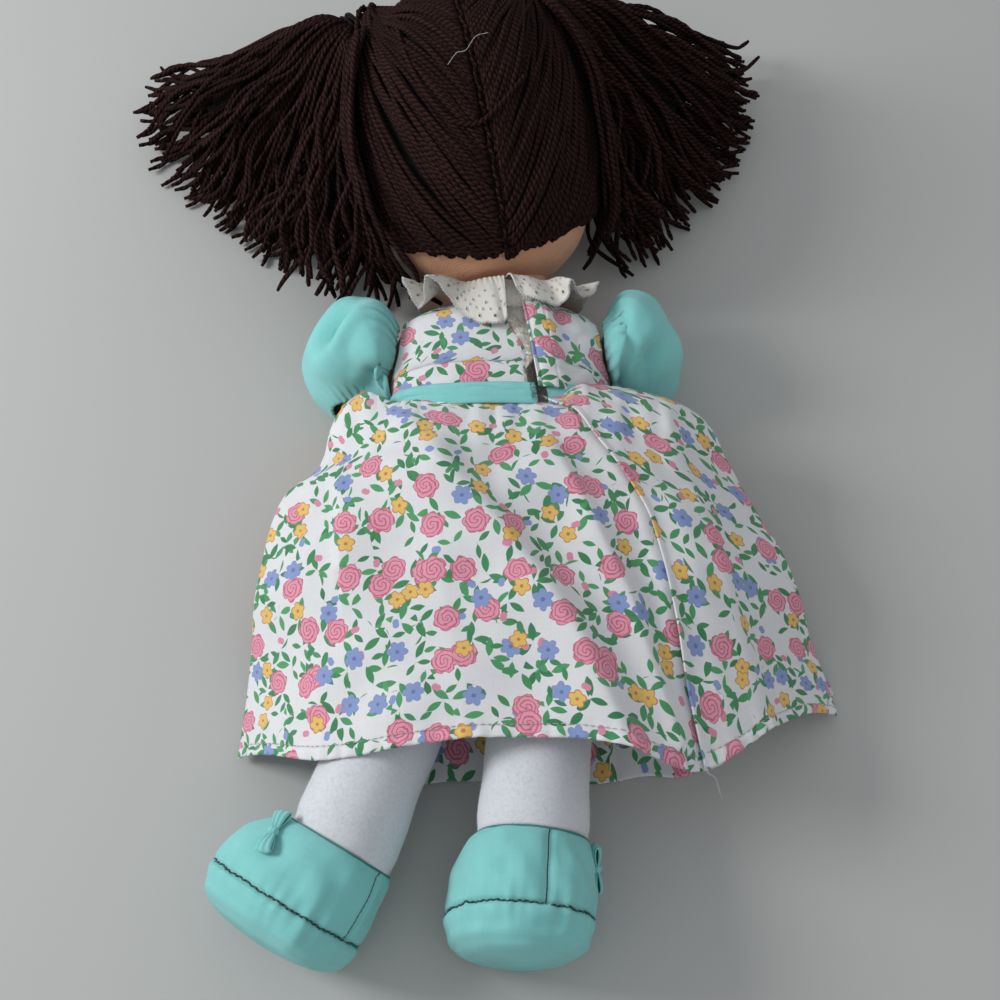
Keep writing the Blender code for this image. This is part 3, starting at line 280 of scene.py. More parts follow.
def flat_uv(points):
    """Where each point of a grid lies on its flat cloth: distances measured along its rows and columns."""
    across = np.linalg.norm(np.diff(points, axis=1), axis=2).cumsum(axis=1)
    across = np.concatenate([np.zeros((len(points), 1)), across], axis=1)
    across -= across[:, across.shape[1] // 2][:, None]
    along = np.linalg.norm(np.diff(points, axis=0), axis=2).cumsum(axis=0)
    along = np.concatenate([np.zeros((1, points.shape[1])), along], axis=0)
    return np.stack([across, along.mean(axis=1, keepdims=True) + 0.0 * across], axis=-1)


print("a row's uv starts at", flat_uv(np.zeros((2, 3, 3)))[0, 0])

# %% [markdown]
# ## Finishes
# Cloth, yarn and thread are all matt, so what tells them apart is their pattern: a plain weave of fine
# threads, a print, a brushed pile or a twist. Each pattern is a node group with named inputs. It reads the
# flat cloth's own coordinates in metres, so the weave turns and folds with the cloth, or object coordinates
# on stuffed skins.


# %% Small helpers for shader nodes
def plug(tree, socket, value):
    """Join a socket to another one, or set it to a plain value."""
    if isinstance(value, bpy.types.NodeSocket):
        tree.links.new(value, socket)
    else:
        socket.default_value = value


def maths(tree, operation, *values, clamp=False):
    """One math node."""
    node = tree.nodes.new("ShaderNodeMath")
    node.operation = operation
    node.use_clamp = clamp
    for socket, value in zip(node.inputs, values):
        plug(tree, socket, value)
    return node.outputs[0]


def plus(tree, first, second):
    """The sum of two values."""
    return maths(tree, "ADD", first, second)


def minus(tree, first, second):
    """The difference of two values."""
    return maths(tree, "SUBTRACT", first, second)


def times(tree, first, second):
    """The product of two values."""
    return maths(tree, "MULTIPLY", first, second)


def times_plus(tree, first, second, third):
    """The product of the first two values, plus the third."""
    return maths(tree, "MULTIPLY_ADD", first, second, third)


def split(tree, vector):
    """A vector's three parts."""
    node = tree.nodes.new("ShaderNodeSeparateXYZ")
    plug(tree, node.inputs[0], vector)
    return node.outputs


def vector_maths(tree, operation, *values):
    """One vector math node; its first output is the vector."""
    node = tree.nodes.new("ShaderNodeVectorMath")
    node.operation = operation
    for socket, value in zip(node.inputs, values):
        plug(tree, socket, value)
    return node.outputs[0]


def blend_colours(tree, share, first, second):
    """A mix of two colours by a share."""
    node = tree.nodes.new("ShaderNodeMix")
    node.data_type = "RGBA"
    plug(tree, node.inputs["Factor"], share)
    plug(tree, node.inputs["A"], first)
    plug(tree, node.inputs["B"], second)
    return node.outputs["Result"]


def smooth_mask(tree, value, low, high):
    """A share that goes smoothly from 0 at low to 1 at high."""
    node = tree.nodes.new("ShaderNodeMapRange")
    node.interpolation_type = "SMOOTHSTEP"
    plug(tree, node.inputs["Value"], value)
    plug(tree, node.inputs["From Min"], low)
    plug(tree, node.inputs["From Max"], high)
    return node.outputs["Result"]


def noise(tree, vector, scale, detail=2.0):
    """A noise texture's value, from 0 to 1."""
    node = tree.nodes.new("ShaderNodeTexNoise")
    plug(tree, node.inputs["Vector"], vector)
    plug(tree, node.inputs["Scale"], scale)
    plug(tree, node.inputs["Detail"], detail)
    return node.outputs["Fac"]


def start_group(name, inputs, outputs):
    """A node group with named sockets, given as name and kind, and its input and output nodes."""
    group = bpy.data.node_groups.new(name, "ShaderNodeTree")
    for socket, kind in inputs:
        group.interface.new_socket(socket, in_out="INPUT", socket_type="NodeSocket" + kind)
    for socket, kind in outputs:
        group.interface.new_socket(socket, in_out="OUTPUT", socket_type="NodeSocket" + kind)
    return group, group.nodes.new("NodeGroupInput").outputs, group.nodes.new("NodeGroupOutput").inputs


def place_group(tree, group, **values):
    """Put a node group in a material; a value's name has _ where its socket's has a space."""
    node = tree.nodes.new("ShaderNodeGroup")
    node.node_tree = group
    for name, value in values.items():
        plug(tree, node.inputs[name.replace("_", " ")], value)
    return node.outputs


print("node helpers ready")


# %% The plain weave
def make_weave_group():
    """Threads that cross over and under: height is the greater of two sets of rounded threads.

    Each set is sin(pi u
                    / spacing)**2, and every other crossing swaps which set is on top. Slubs are long thin
    streaks of noise along each set. Shade is a soft mottle that darkens or lightens the cloth a little."""
    group, given, result = start_group(
        "plain weave",
        [("Vector", "Vector"), ("Spacing", "Float"), ("Mottle", "Float")],
        [("Height", "Float"), ("Shade", "Float")],
    )
    parts = split(group, given["Vector"])
    sets = []
    for axis in (0, 1):
        turns = maths(group, "DIVIDE", parts[axis], given["Spacing"])
        sets.append(maths(group, "SINE", times(group, turns, np.pi)))
    swap = maths(group, "SIGN", times(group, sets[0], sets[1]))
    rounds = [times(group, wave, wave) for wave in sets]
    over = times(group, swap, 0.25)
    first = plus(group, rounds[0], over)
    second = minus(group, rounds[1], over)
    plug(group, result["Height"], maths(group, "MAXIMUM", first, second))
    wide = noise(group, vector_maths(group, "MULTIPLY", given["Vector"], (90.0, 900.0, 300.0)), 1.0)
    tall = noise(group, vector_maths(group, "MULTIPLY", given["Vector"], (900.0, 90.0, 300.0)), 1.0)
    cloudy = noise(group, given["Vector"], 45.0, 4.0)
    streaks = plus(group, plus(group, wide, tall), cloudy)
    centred = minus(group, streaks, 1.5)
    plug(group, result["Shade"], times_plus(group, centred, given["Mottle"], 1.0))
    return group


weave_group = make_weave_group()
print("weave nodes:", len(weave_group.nodes))

# %% [markdown]
# ## The print
# The dress is a common floral calico: roses, small blue and yellow flowers, leaf sprigs and buds, scattered
# on white. A Voronoi texture drops one motif in each of its cells. The distance and the angle from the
# cell's middle draw the petals, and the cell's random colour says which flower it is and how it is turned.


# %% Scatter motifs with Voronoi cells
def scatter(group, vector, spacing, seed):
    """For each cell: distance and angle from its middle, and its random colour's three parts.

    The angle is atan2 of the place in the cell, turned by the cell's first random part."""
    moved = vector_maths(group, "ADD", vector, (seed * 0.37, seed * 0.61, 0.0))
    cells = group.nodes.new("ShaderNodeTexVoronoi")
    cells.voronoi_dimensions = "2D"
    cells.feature = "F1"
    plug(group, cells.inputs["Vector"], moved)
    plug(group, cells.inputs["Scale"], 1.0 / spacing)
    plug(group, cells.inputs["Randomness"], 0.78)
    away = vector_maths(group, "SUBTRACT", moved, cells.outputs["Position"])
    parts = split(group, away)
    chance = group.nodes.new("ShaderNodeSeparateColor")
    plug(group, chance.inputs[0], cells.outputs["Color"])
    flat = vector_maths(group, "MULTIPLY", away, (1.0, 1.0, 0.0))
    length = group.nodes.new("ShaderNodeVectorMath")
    length.operation = "LENGTH"
    plug(group, length.inputs[0], flat)
    angle = maths(group, "ARCTAN2", parts["Y"], parts["X"])
    turned = times_plus(group, chance.outputs["Red"], 6.28, angle)
    return length.outputs["Value"], turned, chance.outputs["Green"], chance.outputs["Blue"]


def between(group, value, low, high):
    """1 where a value is between two others, else 0."""
    above = maths(group, "GREATER_THAN", value, low)
    return times(group, above, maths(group, "LESS_THAN", value, high))


def petals(group, distance, angle, radius, count, depth):
    """How far inside a flower a point is; its outline is radius * (1 - depth + depth |cos(n a / 2)|)."""
    lobe = maths(group, "ABSOLUTE", maths(group, "COSINE", times(group, angle, count / 2.0)))
    edge = times(group, times_plus(group, lobe, depth, 1.0 - depth), radius)
    return minus(group, edge, distance)


def leaf_sprig(group, distance, angle, leaves, start, stop, half_width):
    """A ring of almond leaves: in each sector, |y| < w (1 - ((x - m) / h)**2) between start and stop."""
    sector = 2.0 * np.pi / leaves
    wrapped = maths(group, "WRAP", angle, sector / 2.0, -sector / 2.0)
    x = times(group, distance, maths(group, "COSINE", wrapped))
    y = maths(group, "ABSOLUTE", times(group, distance, maths(group, "SINE", wrapped)))
    middle, half = (start + stop) / 2.0, (stop - start) / 2.0
    along = maths(group, "DIVIDE", minus(group, x, middle), half)
    almond = times_plus(group, times(group, along, along), -half_width, half_width)
    return minus(group, almond, y)


print("motif helpers ready")


# %% The calico print
INK_EDGE = 0.00022
ROSE_PINK, ROSE_DEEP = (0.82, 0.36, 0.46, 1.0), (0.62, 0.14, 0.24, 1.0)
FLOWER_BLUE, FLOWER_BLUE_DEEP = (0.26, 0.35, 0.64, 1.0), (0.15, 0.20, 0.44, 1.0)
FLOWER_YELLOW, FLOWER_ORANGE = (0.84, 0.56, 0.15, 1.0), (0.60, 0.22, 0.09, 1.0)
LEAF_GREEN, LEAF_DARK = (0.09, 0.38, 0.15, 1.0), (0.04, 0.22, 0.09, 1.0)
BUD_PINK = (0.74, 0.28, 0.40, 1.0)


def draw_leaves(group, ground, vector, spacing, seed, leaves, size):
    """Leaf sprigs over the ground colour; about a third of a sprig's sectors stay empty."""
    distance, angle, first, second = scatter(group, vector, spacing, seed)
    inside = leaf_sprig(group, distance, angle, leaves, 0.0006, size, size * 0.19)
    stem = leaf_sprig(group, distance, angle, leaves, -0.0010, size * 1.05, 0.00020)
    shape = maths(group, "MAXIMUM", inside, stem)
    half_plane = maths(group, "SINE", times_plus(group, first, 5.0, angle))
    kept = maths(group, "GREATER_THAN", half_plane, -0.45)
    mask = times(group, smooth_mask(group, shape, 0.0, INK_EDGE), kept)
    tone = blend_colours(group, second, LEAF_GREEN, LEAF_DARK)
    return blend_colours(group, mask, ground, tone)


def draw_rose(group, ground, distance, angle, chance, wobble):
    """A full rose: scalloped outline, and darker lines where sin(rings + spiral) is high."""
    inside = petals(group, plus(group, distance, wobble), angle, 0.0053, 6.0, 0.16)
    rings = times(group, distance, 3900.0)
    spiral = times_plus(group, angle, 2.0, rings)
    ruffled = times_plus(group, wobble, 5200.0, spiral)
    lines = smooth_mask(group, maths(group, "SINE", ruffled), 0.25, 0.75)
    rim = minus(group, 1.0, smooth_mask(group, inside, 0.0003, 0.0007))
    deep = maths(group, "MAXIMUM", lines, rim)
    colour = blend_colours(group, deep, ROSE_PINK, ROSE_DEEP)
    mask = times(group, smooth_mask(group, inside, 0.0, INK_EDGE), chance)
    return blend_colours(group, mask, ground, colour)


def draw_small_flower(group, ground, distance, angle, chance, size, fill, line, petal_count, rim_width):
    """A flat flower with a darker rim, a dark eye and fine lines between its petals."""
    inside = petals(group, distance, angle, size, petal_count, 0.30)
    rim = minus(group, 1.0, smooth_mask(group, inside, rim_width * 0.5, rim_width))
    eye = minus(group, 1.0, smooth_mask(group, distance, size * 0.14, size * 0.22))
    colour = blend_colours(group, maths(group, "MAXIMUM", rim, eye), fill, line)
    mask = times(group, smooth_mask(group, inside, 0.0, INK_EDGE), chance)
    return blend_colours(group, mask, ground, colour)


def make_print_group():
    """Calico on white: sprigs first, then buds, then the flowers on top of them."""
    group, given, result = start_group("calico print", [("Vector", "Vector")], [("Color", "Color")])
    vector = given["Vector"]
    wobble = minus(group, noise(group, vector, 420.0), 0.5)
    small_wobble = times(group, wobble, 0.0016)
    colour = (0.80, 0.81, 0.83, 1.0)
    colour = draw_leaves(group, colour, vector, 0.0148, 3.0, 4.0, 0.0072)
    colour = draw_leaves(group, colour, vector, 0.0160, 7.0, 3.0, 0.0082)
    colour = draw_leaves(group, colour, vector, 0.0132, 11.0, 3.0, 0.0060)
    distance, angle, first, second = scatter(group, vector, 0.0135, 17.0)
    bud = petals(group, distance, angle, 0.0019, 2.0, 0.35)
    bud_mask = times(group, smooth_mask(group, bud, 0.0, INK_EDGE), between(group, first, 0.35, 1.0))
    bud_colour = blend_colours(group, maths(group, "GREATER_THAN", second, 0.62), BUD_PINK, FLOWER_BLUE)
    colour = blend_colours(group, bud_mask, colour, bud_colour)
    for spacing, seed, share in ((0.0174, 23.0, 1.0), (0.0215, 31.0, 0.5)):
        distance, angle, first, second = scatter(group, vector, spacing, seed)
        bent = plus(group, distance, times(group, small_wobble, 0.5))
        yellow = times(group, between(group, first, 0.00, 0.30), share > 0.4)
        blue = times(group, between(group, first, 0.30, 0.60), share > 0.4)
        rose = between(group, first, 0.60, 1.0 if share == 1.0 else 0.95)
        colour = draw_small_flower(
            group, colour, bent, angle, yellow, 0.0037, FLOWER_YELLOW, FLOWER_ORANGE, 5.0, 0.0007
        )
        colour = draw_small_flower(
            group, colour, bent, angle, blue, 0.0042, FLOWER_BLUE, FLOWER_BLUE_DEEP, 6.0, 0.0003
        )
        colour = draw_rose(group, colour, distance, angle, rose, small_wobble)
    plug(group, result["Color"], colour)
    return group


print_group = make_print_group()
print("print nodes:", len(print_group.nodes))


# %% Materials for woven cloth
def start_material(name):
    """A material with its node tree and its Principled shader."""
    material = bpy.data.materials.new(name)
    material.use_nodes = True
    return material, material.node_tree, material.node_tree.nodes["Principled BSDF"]


def set_plain(shader, **values):
    """Set a shader's plain values; a value's name has _ where its socket's has a space."""
    for name, value in values.items():
        shader.inputs[name.replace("_", " ")].default_value = value


def surface_vector(tree, kind):
    """The flat cloth's coordinates in metres, or object coordinates on a stuffed skin."""
    if kind == "Object":
        return tree.nodes.new("ShaderNodeTexCoord").outputs["Object"]
    node = tree.nodes.new("ShaderNodeUVMap")
    node.uv_map = "cloth"
    return node.outputs["UV"]


def bump(tree, shader, height, distance):
    """Feed a height, in shares of a distance in metres, to the shader's normal."""
    node = tree.nodes.new("ShaderNodeBump")
    plug(tree, node.inputs["Distance"], distance)
    plug(tree, node.inputs["Height"], height)
    plug(tree, shader.inputs["Normal"], node.outputs["Normal"])


def woven(name, colour, kind="UV", spacing=0.00042, mottle=0.10, depth=0.00012, sheen=0.25, printed=False):
    """Plain-woven cotton: a weave for bump, a mottle for colour, and a soft sheen from its loose fibres."""
    material, tree, shader = start_material(name)
    vector = surface_vector(tree, kind)
    weave = place_group(tree, weave_group, Vector=vector, Spacing=spacing, Mottle=mottle)
    base = place_group(tree, print_group, Vector=vector)["Color"] if printed else colour
    shaded = tree.nodes.new("ShaderNodeMix")
    shaded.data_type = "RGBA"
    shaded.blend_type = "MULTIPLY"
    plug(tree, shaded.inputs["Factor"], 1.0)
    plug(tree, shaded.inputs["A"], base)
    grey = tree.nodes.new("ShaderNodeCombineColor")
    for channel in grey.inputs:
        plug(tree, channel, weave["Shade"])
    plug(tree, shaded.inputs["B"], grey.outputs[0])
    plug(tree, shader.inputs["Base Color"], shaded.outputs["Result"])
    set_plain(shader, Roughness=0.85, Specular_IOR_Level=0.25, Sheen_Weight=sheen, Sheen_Roughness=0.5)
    bump(tree, shader, weave["Height"], depth)
    return material


AQUA = (0.240, 0.660, 0.640, 1.0)
skin_cloth = woven("skin cloth", (0.720, 0.375, 0.220, 1.0), kind="Object", mottle=0.08)
aqua_cotton = woven("aqua cotton", AQUA, mottle=0.09)
aqua_plain = woven("aqua knot", AQUA, kind="Object", mottle=0.09)
calico = woven("floral calico", AQUA, printed=True, mottle=0.07)
print("woven cloths:", skin_cloth.name, aqua_cotton.name, calico.name)

# %% [markdown]
# ## Yarn, brushed cloth, lace and thread
# Yarn is two plies twisted together. The plies are real lobes in the mesh, and the group only gives their
# height, which the material uses to paint shade into the valley between them, and adds fibres. Its
# coordinates hold the strand's number plus the share of a turn round it, and the metres along it, so the
# painted shade follows the twist exactly.


# %% Twisted yarn
YARN_TURN = 0.0052


def make_yarn_group():
    """Height is ((1 + cos(2 pi plies (share - along / turn))) / 2) ** 0.6, lowest in the valley between the
    plies, where it paints shade; Tone is one random value per strand.
    """
    group, given, result = start_group(
        "twisted yarn",
        [("Vector", "Vector"), ("Turn", "Float"), ("Plies", "Float")],
        [("Height", "Float"), ("Tone", "Float"), ("Fibre", "Float")],
    )
    parts = split(group, given["Vector"])
    share = maths(group, "FRACT", parts["X"])
    strand = maths(group, "FLOOR", parts["X"])
    turned = minus(group, share, maths(group, "DIVIDE", parts["Y"], given["Turn"]))
    ply = times(group, turned, given["Plies"])
    wave = maths(group, "COSINE", times(group, ply, 2.0 * np.pi))
    lobes = times_plus(group, wave, 0.5, 0.5)
    plug(group, result["Height"], maths(group, "POWER", lobes, 0.6))
    chance = group.nodes.new("ShaderNodeTexWhiteNoise")
    chance.noise_dimensions = "1D"
    plug(group, chance.inputs["W"], strand)
    plug(group, result["Tone"], chance.outputs["Value"])
    place = group.nodes.new("ShaderNodeCombineXYZ")
    plug(group, place.inputs["X"], times(group, ply, 9.0))
    plug(group, place.inputs["Y"], times(group, parts["Y"], 500.0))
    plug(group, place.inputs["Z"], strand)
    plug(group, result["Fibre"], noise(group, place.outputs[0], 1.0, 3.0))
    return group


yarn_group = make_yarn_group()


def yarn_material(name, dark, light, plies=2.0, turn=YARN_TURN, roughness=0.75):
    """Yarn painted dark in its valleys and light on its plies, as painted shade and light, with a few lighter
    strands.
    """
    material, tree, shader = start_material(name)
    yarn = place_group(tree, yarn_group, Vector=surface_vector(tree, "UV"), Turn=turn, Plies=plies)
    # The ply height paints shade into the valleys between the plies; each strand's random tone mixes in.
    lit = times(tree, yarn["Height"], times_plus(tree, yarn["Fibre"], 1.6, -0.25))
    ply_shade_and_tone = maths(tree, "MULTIPLY", lit, times_plus(tree, yarn["Tone"], 0.7, 0.55), clamp=True)
    plug(tree, shader.inputs["Base Color"], blend_colours(tree, ply_shade_and_tone, dark, light))
    set_plain(shader, Roughness=roughness, Specular_IOR_Level=0.08)
    height = times_plus(tree, yarn["Fibre"], 0.5, yarn["Height"])
    bump(tree, shader, height, 0.00025)
    return material


# First colour: painted shade in the valleys between the plies; second: the yarn's colour where its plies
# catch the light.
hair_yarn = yarn_material("hair yarn", (0.0036, 0.0015, 0.0014, 1.0), (0.056, 0.023, 0.020, 1.0),
                          roughness=0.9)
tie_cord = yarn_material("tie cord", (0.006, 0.005, 0.006, 1.0), (0.035, 0.028, 0.028, 1.0), 3.0, 0.0030)
white_thread = yarn_material("white thread", (0.50, 0.50, 0.50, 1.0), (0.80, 0.80, 0.79, 1.0), 2.0, 0.0012)
dark_thread = yarn_material("dark thread", (0.030, 0.030, 0.034, 1.0), (0.12, 0.12, 0.13, 1.0), 2.0, 0.0012)
aqua_thread = yarn_material("aqua thread", (0.05, 0.20, 0.19, 1.0), (0.15, 0.46, 0.43, 1.0), 2.0, 0.0012)
print("yarns and threads:", hair_yarn.name, tie_cord.name, white_thread.name)


# %% Brushed cloth
def make_pile_group():
    """Clumps of brushed fibre: two noises, one for tufts and one for single fibres, and painted shade between
    tufts.
    """
    group, given, result = start_group(
        "brushed pile", [("Vector", "Vector"), ("Tuft", "Float")], [("Height", "Float"), ("Shade", "Float")]
    )
    per_metre = maths(group, "DIVIDE", 1.0, given["Tuft"])
    tufts = noise(group, given["Vector"], per_metre, 3.0)
    fibres = noise(group, given["Vector"], 2600.0, 2.0)
    height = times_plus(group, fibres, 0.4, tufts)
    plug(group, result["Height"], height)
    plug(group, result["Shade"], smooth_mask(group, height, 0.35, 0.95))
    return group


pile_group = make_pile_group()


def brushed(name, low, high, tuft, depth, kind="Object"):
    """Fleece or a fuzzy fastener strip: painted shade between its tufts, lighter on their tops."""
    material, tree, shader = start_material(name)
    vector = surface_vector(tree, kind)
    pile = place_group(tree, pile_group, Vector=vector, Tuft=tuft)
    # The pile's height paints shade between the tufts into the base colour.
    plug(tree, shader.inputs["Base Color"], blend_colours(tree, pile["Shade"], low, high))
    set_plain(shader, Roughness=0.95, Specular_IOR_Level=0.15, Sheen_Weight=0.35, Sheen_Roughness=0.6)
    bump(tree, shader, pile["Height"], depth)
    return material


# Each brushed cloth's first colour is painted shade between its tufts.
leg_fleece = brushed("leg fleece", (0.54, 0.56, 0.60, 1.0), (0.62, 0.64, 0.68, 1.0), 0.0012, 0.00010)
# The hook tape's near-black to dark brown is partly painted shade: the strip lies in shadow at the foot of
# the back opening.
hook_tape = brushed("hook tape", (0.020, 0.015, 0.012, 1.0), (0.16, 0.125, 0.10, 1.0), 0.0009, 0.0012, "UV")
loop_tape = brushed("loop tape", (0.74, 0.70, 0.58, 1.0), (0.90, 0.88, 0.79, 1.0), 0.0010, 0.0008, "UV")
print("brushed cloths:", leg_fleece.name, hook_tape.name, loop_tape.name)


# %% Eyelet lace
LACE_PITCH, LACE_DEPTH = 0.0072, 0.0200


def eyelet(group, vector, middle_v, pitch, shift, radius):
    """A row of round holes: distance to the nearest hole's middle, less its radius."""
    parts = split(group, vector)
    along = maths(group, "WRAP", plus(group, parts["X"], shift), pitch / 2.0, -pitch / 2.0)
    down = minus(group, parts["Y"], middle_v)
    squares = plus(group, times(group, along, along), times(group, down, down))
    return minus(group, maths(group, "SQRT", squares), radius)


def make_lace_group():
    """Rows of eyelets above a scalloped edge: Cloth is 0 in a hole, Rim is 1 on the stitches round it."""
    group, given, result = start_group(
        "eyelet lace", [("Vector", "Vector")], [("Cloth", "Float"), ("Rim", "Float")]
    )
    rows = [
        (LACE_DEPTH - 0.0030, LACE_PITCH, 0.0, 0.00060),
        (LACE_DEPTH - 0.0060, LACE_PITCH / 2.0, LACE_PITCH / 4.0, 0.00036),
        (LACE_DEPTH - 0.0092, LACE_PITCH, LACE_PITCH / 2.0, 0.00050),
        (LACE_DEPTH - 0.0125, LACE_PITCH, 0.0, 0.00030),
        (LACE_DEPTH - 0.0160, LACE_PITCH, LACE_PITCH / 2.0, 0.00042),
    ]
    nearest = None
    for middle, pitch, shift, radius in rows:
        gap = eyelet(group, given["Vector"], middle, pitch, shift, radius)
        nearest = gap if nearest is None else maths(group, "MINIMUM", nearest, gap)
    plug(group, result["Cloth"], smooth_mask(group, nearest, -0.00008, 0.00008))
    rim = minus(group, 1.0, smooth_mask(group, nearest, 0.0003, 0.0008))
    plug(group, result["Rim"], rim)
    return group


lace_group = make_lace_group()


def make_lace_material():
    """White eyelet lace: woven ground, raised stitches round each hole, and the holes cut by alpha."""
    material, tree, shader = start_material("eyelet lace")
    vector = surface_vector(tree, "UV")
    weave = place_group(tree, weave_group, Vector=vector, Spacing=0.00048, Mottle=0.10)
    lace = place_group(tree, lace_group, Vector=vector)
    shade = maths(tree, "MULTIPLY", weave["Shade"], 0.92)
    colour = blend_colours(tree, shade, (0.32, 0.31, 0.28, 1.0), (0.76, 0.74, 0.67, 1.0))
    plug(tree, shader.inputs["Base Color"], colour)
    plug(tree, shader.inputs["Alpha"], lace["Cloth"])
    set_plain(shader, Roughness=0.85, Specular_IOR_Level=0.25, Sheen_Weight=0.2)
    height = times_plus(tree, lace["Rim"], 3.0, weave["Height"])
    bump(tree, shader, height, 0.00012)
    return material


white_lace = make_lace_material()
print("lace:", white_lace.name, "with", len(lace_group.nodes), "nodes in its group")

# %% [markdown]
# ## The stuffed skins
# The doll's body, neck, arms and head are cloth bags packed with fibre filling. Packed cloth takes a
# rounded square section that swells and narrows along the limb, so each skin is a loft: a table gives its
# half width and half depth along its length, and a rounded square gives the outline. Where it lies on the
# table it is pressed flat.


# %% The body's surface
BODY_SHARES = [
    (0.00, 0.900, 0.045),
    (0.07, 0.960, 0.300),
    (0.17, 1.010, 0.640),
    (0.30, 1.040, 0.920),
    (0.45, 1.050, 0.985),
    (0.58, 1.070, 0.970),
    (0.74, 1.110, 1.000),
    (0.86, 1.110, 0.960),
    (0.94, 1.020, 0.860),
    (1.00, 0.820, 0.680),
]
REST_CLOTH = CLOTH + LOOSE


def press(points, floor):
    """Flatten whatever would lie below a level."""
    points[..., 2] = np.maximum(points[..., 2], floor)
    return points


def body_surface(y, angle, outward=0.0):
    """The body at a place along it and an angle from the back, moved outward by a distance."""
    y, angle, outward = np.broadcast_arrays(y, angle, outward)
    width, depth = read_table(BODY_SHARES, (y - BODY_BOTTOM_Y) / BODY_LENGTH)
    across, up = super_round(angle, BODY_SQUARENESS)
    x = (BODY_HALF_WIDTH * width + outward) * across
    z = BODY_MID_Z + (BODY_HALF_DEPTH * depth + outward) * up
    points = np.stack([x, y, z], axis=-1)
    points[..., 2] = np.maximum(points[..., 2], REST_CLOTH - outward)
    return points


def ring_angles(sides):
    """Even angles round a section, from the doll's back round by its right side."""
    return np.linspace(0.0, 2.0 * np.pi, sides, endpoint=False)


body_y = BODY_BOTTOM_Y + BODY_LENGTH * np.linspace(0.0, 1.0, 70)[:, None]
body_grid = body_surface(body_y, ring_angles(96)[None, :])
body_piece = stuff("body_skin", body_grid, "torso", skin_cloth, ["body"])
print("body skin:", len(body_piece.data.polygons), "faces")


# %% The head's surface
HEAD_SHARES = [
    (-1.000, 0.200, 0.200),
    (-0.965, 0.400, 0.400),
    (-0.860, 0.660, 0.640),
    (-0.680, 0.870, 0.830),
    (-0.420, 0.985, 0.950),
    (-0.100, 1.020, 1.000),
    (0.250, 1.000, 1.000),
    (0.550, 0.880, 0.890),
    (0.780, 0.670, 0.690),
    (0.930, 0.410, 0.430),
    (1.000, 0.130, 0.150),
]


def turn_matrix(degrees, axis):
    """A turn about one axis as a 3 by 3 array, built from its sine and cosine."""
    cosine, sine = np.cos(np.radians(degrees)), np.sin(np.radians(degrees))
    first, second = [(1, 2), (2, 0), (0, 1)]["XYZ".index(axis)]
    turn = np.eye(3)
    turn[first, first] = turn[second, second] = cosine
    turn[second, first], turn[first, second] = sine, -sine
    return turn


HEAD_TURN = turn_matrix(HEAD_LEAN_DEG, "Z") @ turn_matrix(HEAD_PITCH_DEG, "X")
HEAD_OFFSET = np.array([0.0, HEAD_RISE, 0.0])


def head_to_doll(points):
    """From the head's own frame, centred in the head, to the drawing frame."""
    return (np.asarray(points) + HEAD_OFFSET) @ HEAD_TURN.T + NECK_PLACE


def doll_to_head(points):
    """From the drawing frame to the head's own frame."""
    return (np.asarray(points) - NECK_PLACE) @ HEAD_TURN - HEAD_OFFSET


def head_local(up, angle, outward=0.0):
    """A point on the head in its own frame, at a share of its height and an angle from the back."""
    up, angle, outward = np.broadcast_arrays(up, angle, outward)
    width, depth = read_table(HEAD_SHARES, up)
    across, back = super_round(angle, HEAD_SQUARENESS)
    x = (HEAD_HALF[0] * width + outward) * across
    z = (HEAD_HALF[2] * depth + outward) * back
    return np.stack([x, (HEAD_HALF[1] + outward) * up, z], axis=-1)


def outside_head(points, outward=0.0):
    """Greater than 0 outside the head: (|x| / width)**n + (|z| / depth)**n - 1 in the head's own frame."""
    up = points[..., 1] / (HEAD_HALF[1] + outward)
    width, depth = read_table(HEAD_SHARES, np.clip(up, -1.0, 1.0))
    x = np.abs(points[..., 0]) / (HEAD_HALF[0] * width + outward)
    z = np.abs(points[..., 2]) / (HEAD_HALF[2] * depth + outward)
    level = x**HEAD_SQUARENESS + z**HEAD_SQUARENESS - 1.0
    return np.where(np.abs(up) > 1.0, 1.0, level)


def bisect(is_outside, low, high, steps=30):
    """Halve the span between an inner and an outer place until it closes on the surface."""
    for _ in range(steps):
        middle = (low + high) / 2.0
        out = is_outside(middle)
        low, high = np.where(out, low, middle), np.where(out, middle, high)
    return (low + high) / 2.0


head_up = -np.cos(np.linspace(0.0, np.pi, 84))[:, None]
head_grid = press(head_to_doll(head_local(head_up, ring_angles(112)[None, :])), 0.0)
stuff("head_skin", head_grid, "head", skin_cloth, ["head"])
print("head centre in the drawing frame, in mm:", (head_to_doll(np.zeros(3)) * 1000).round(1))


# %% The neck, stopped on the head
def neck_point(row, angle):
    """The neck's surface from the body at row 0 towards the head at row 1, before the head cuts it."""
    swell = read_table([(0.00, 1.06), (0.35, 0.98), (0.70, 1.02), (1.00, 1.12)], row)[0]
    across, up = super_round(angle, BODY_SQUARENESS)
    start = BODY_BOTTOM_Y + BODY_LENGTH + SEAT
    stop = NECK_PLACE[1] + HEAD_RISE - HEAD_HALF[1] * 0.62
    x = NECK_PLACE[0] * row + NECK_HALF_WIDTH * swell * across
    z = BODY_MID_Z + (NECK_PLACE[2] - BODY_MID_Z) * row + NECK_HALF_DEPTH * swell * up
    return np.stack(np.broadcast_arrays(x, start + (stop - start) * row, z), axis=-1)


def make_neck():
    """Each line of the neck runs up until it meets the head, found by halving."""
    angle = ring_angles(72)
    stop = bisect(lambda row: outside_head(doll_to_head(neck_point(row, angle)), SEAT) < 0.0, 0.0 * angle,
                  1.0)
    grid = neck_point(np.linspace(0.0, 1.0, 16)[:, None] * stop, angle[None, :])
    stuff("neck_skin", grid, "neck", skin_cloth, ["neck"])
    return grid


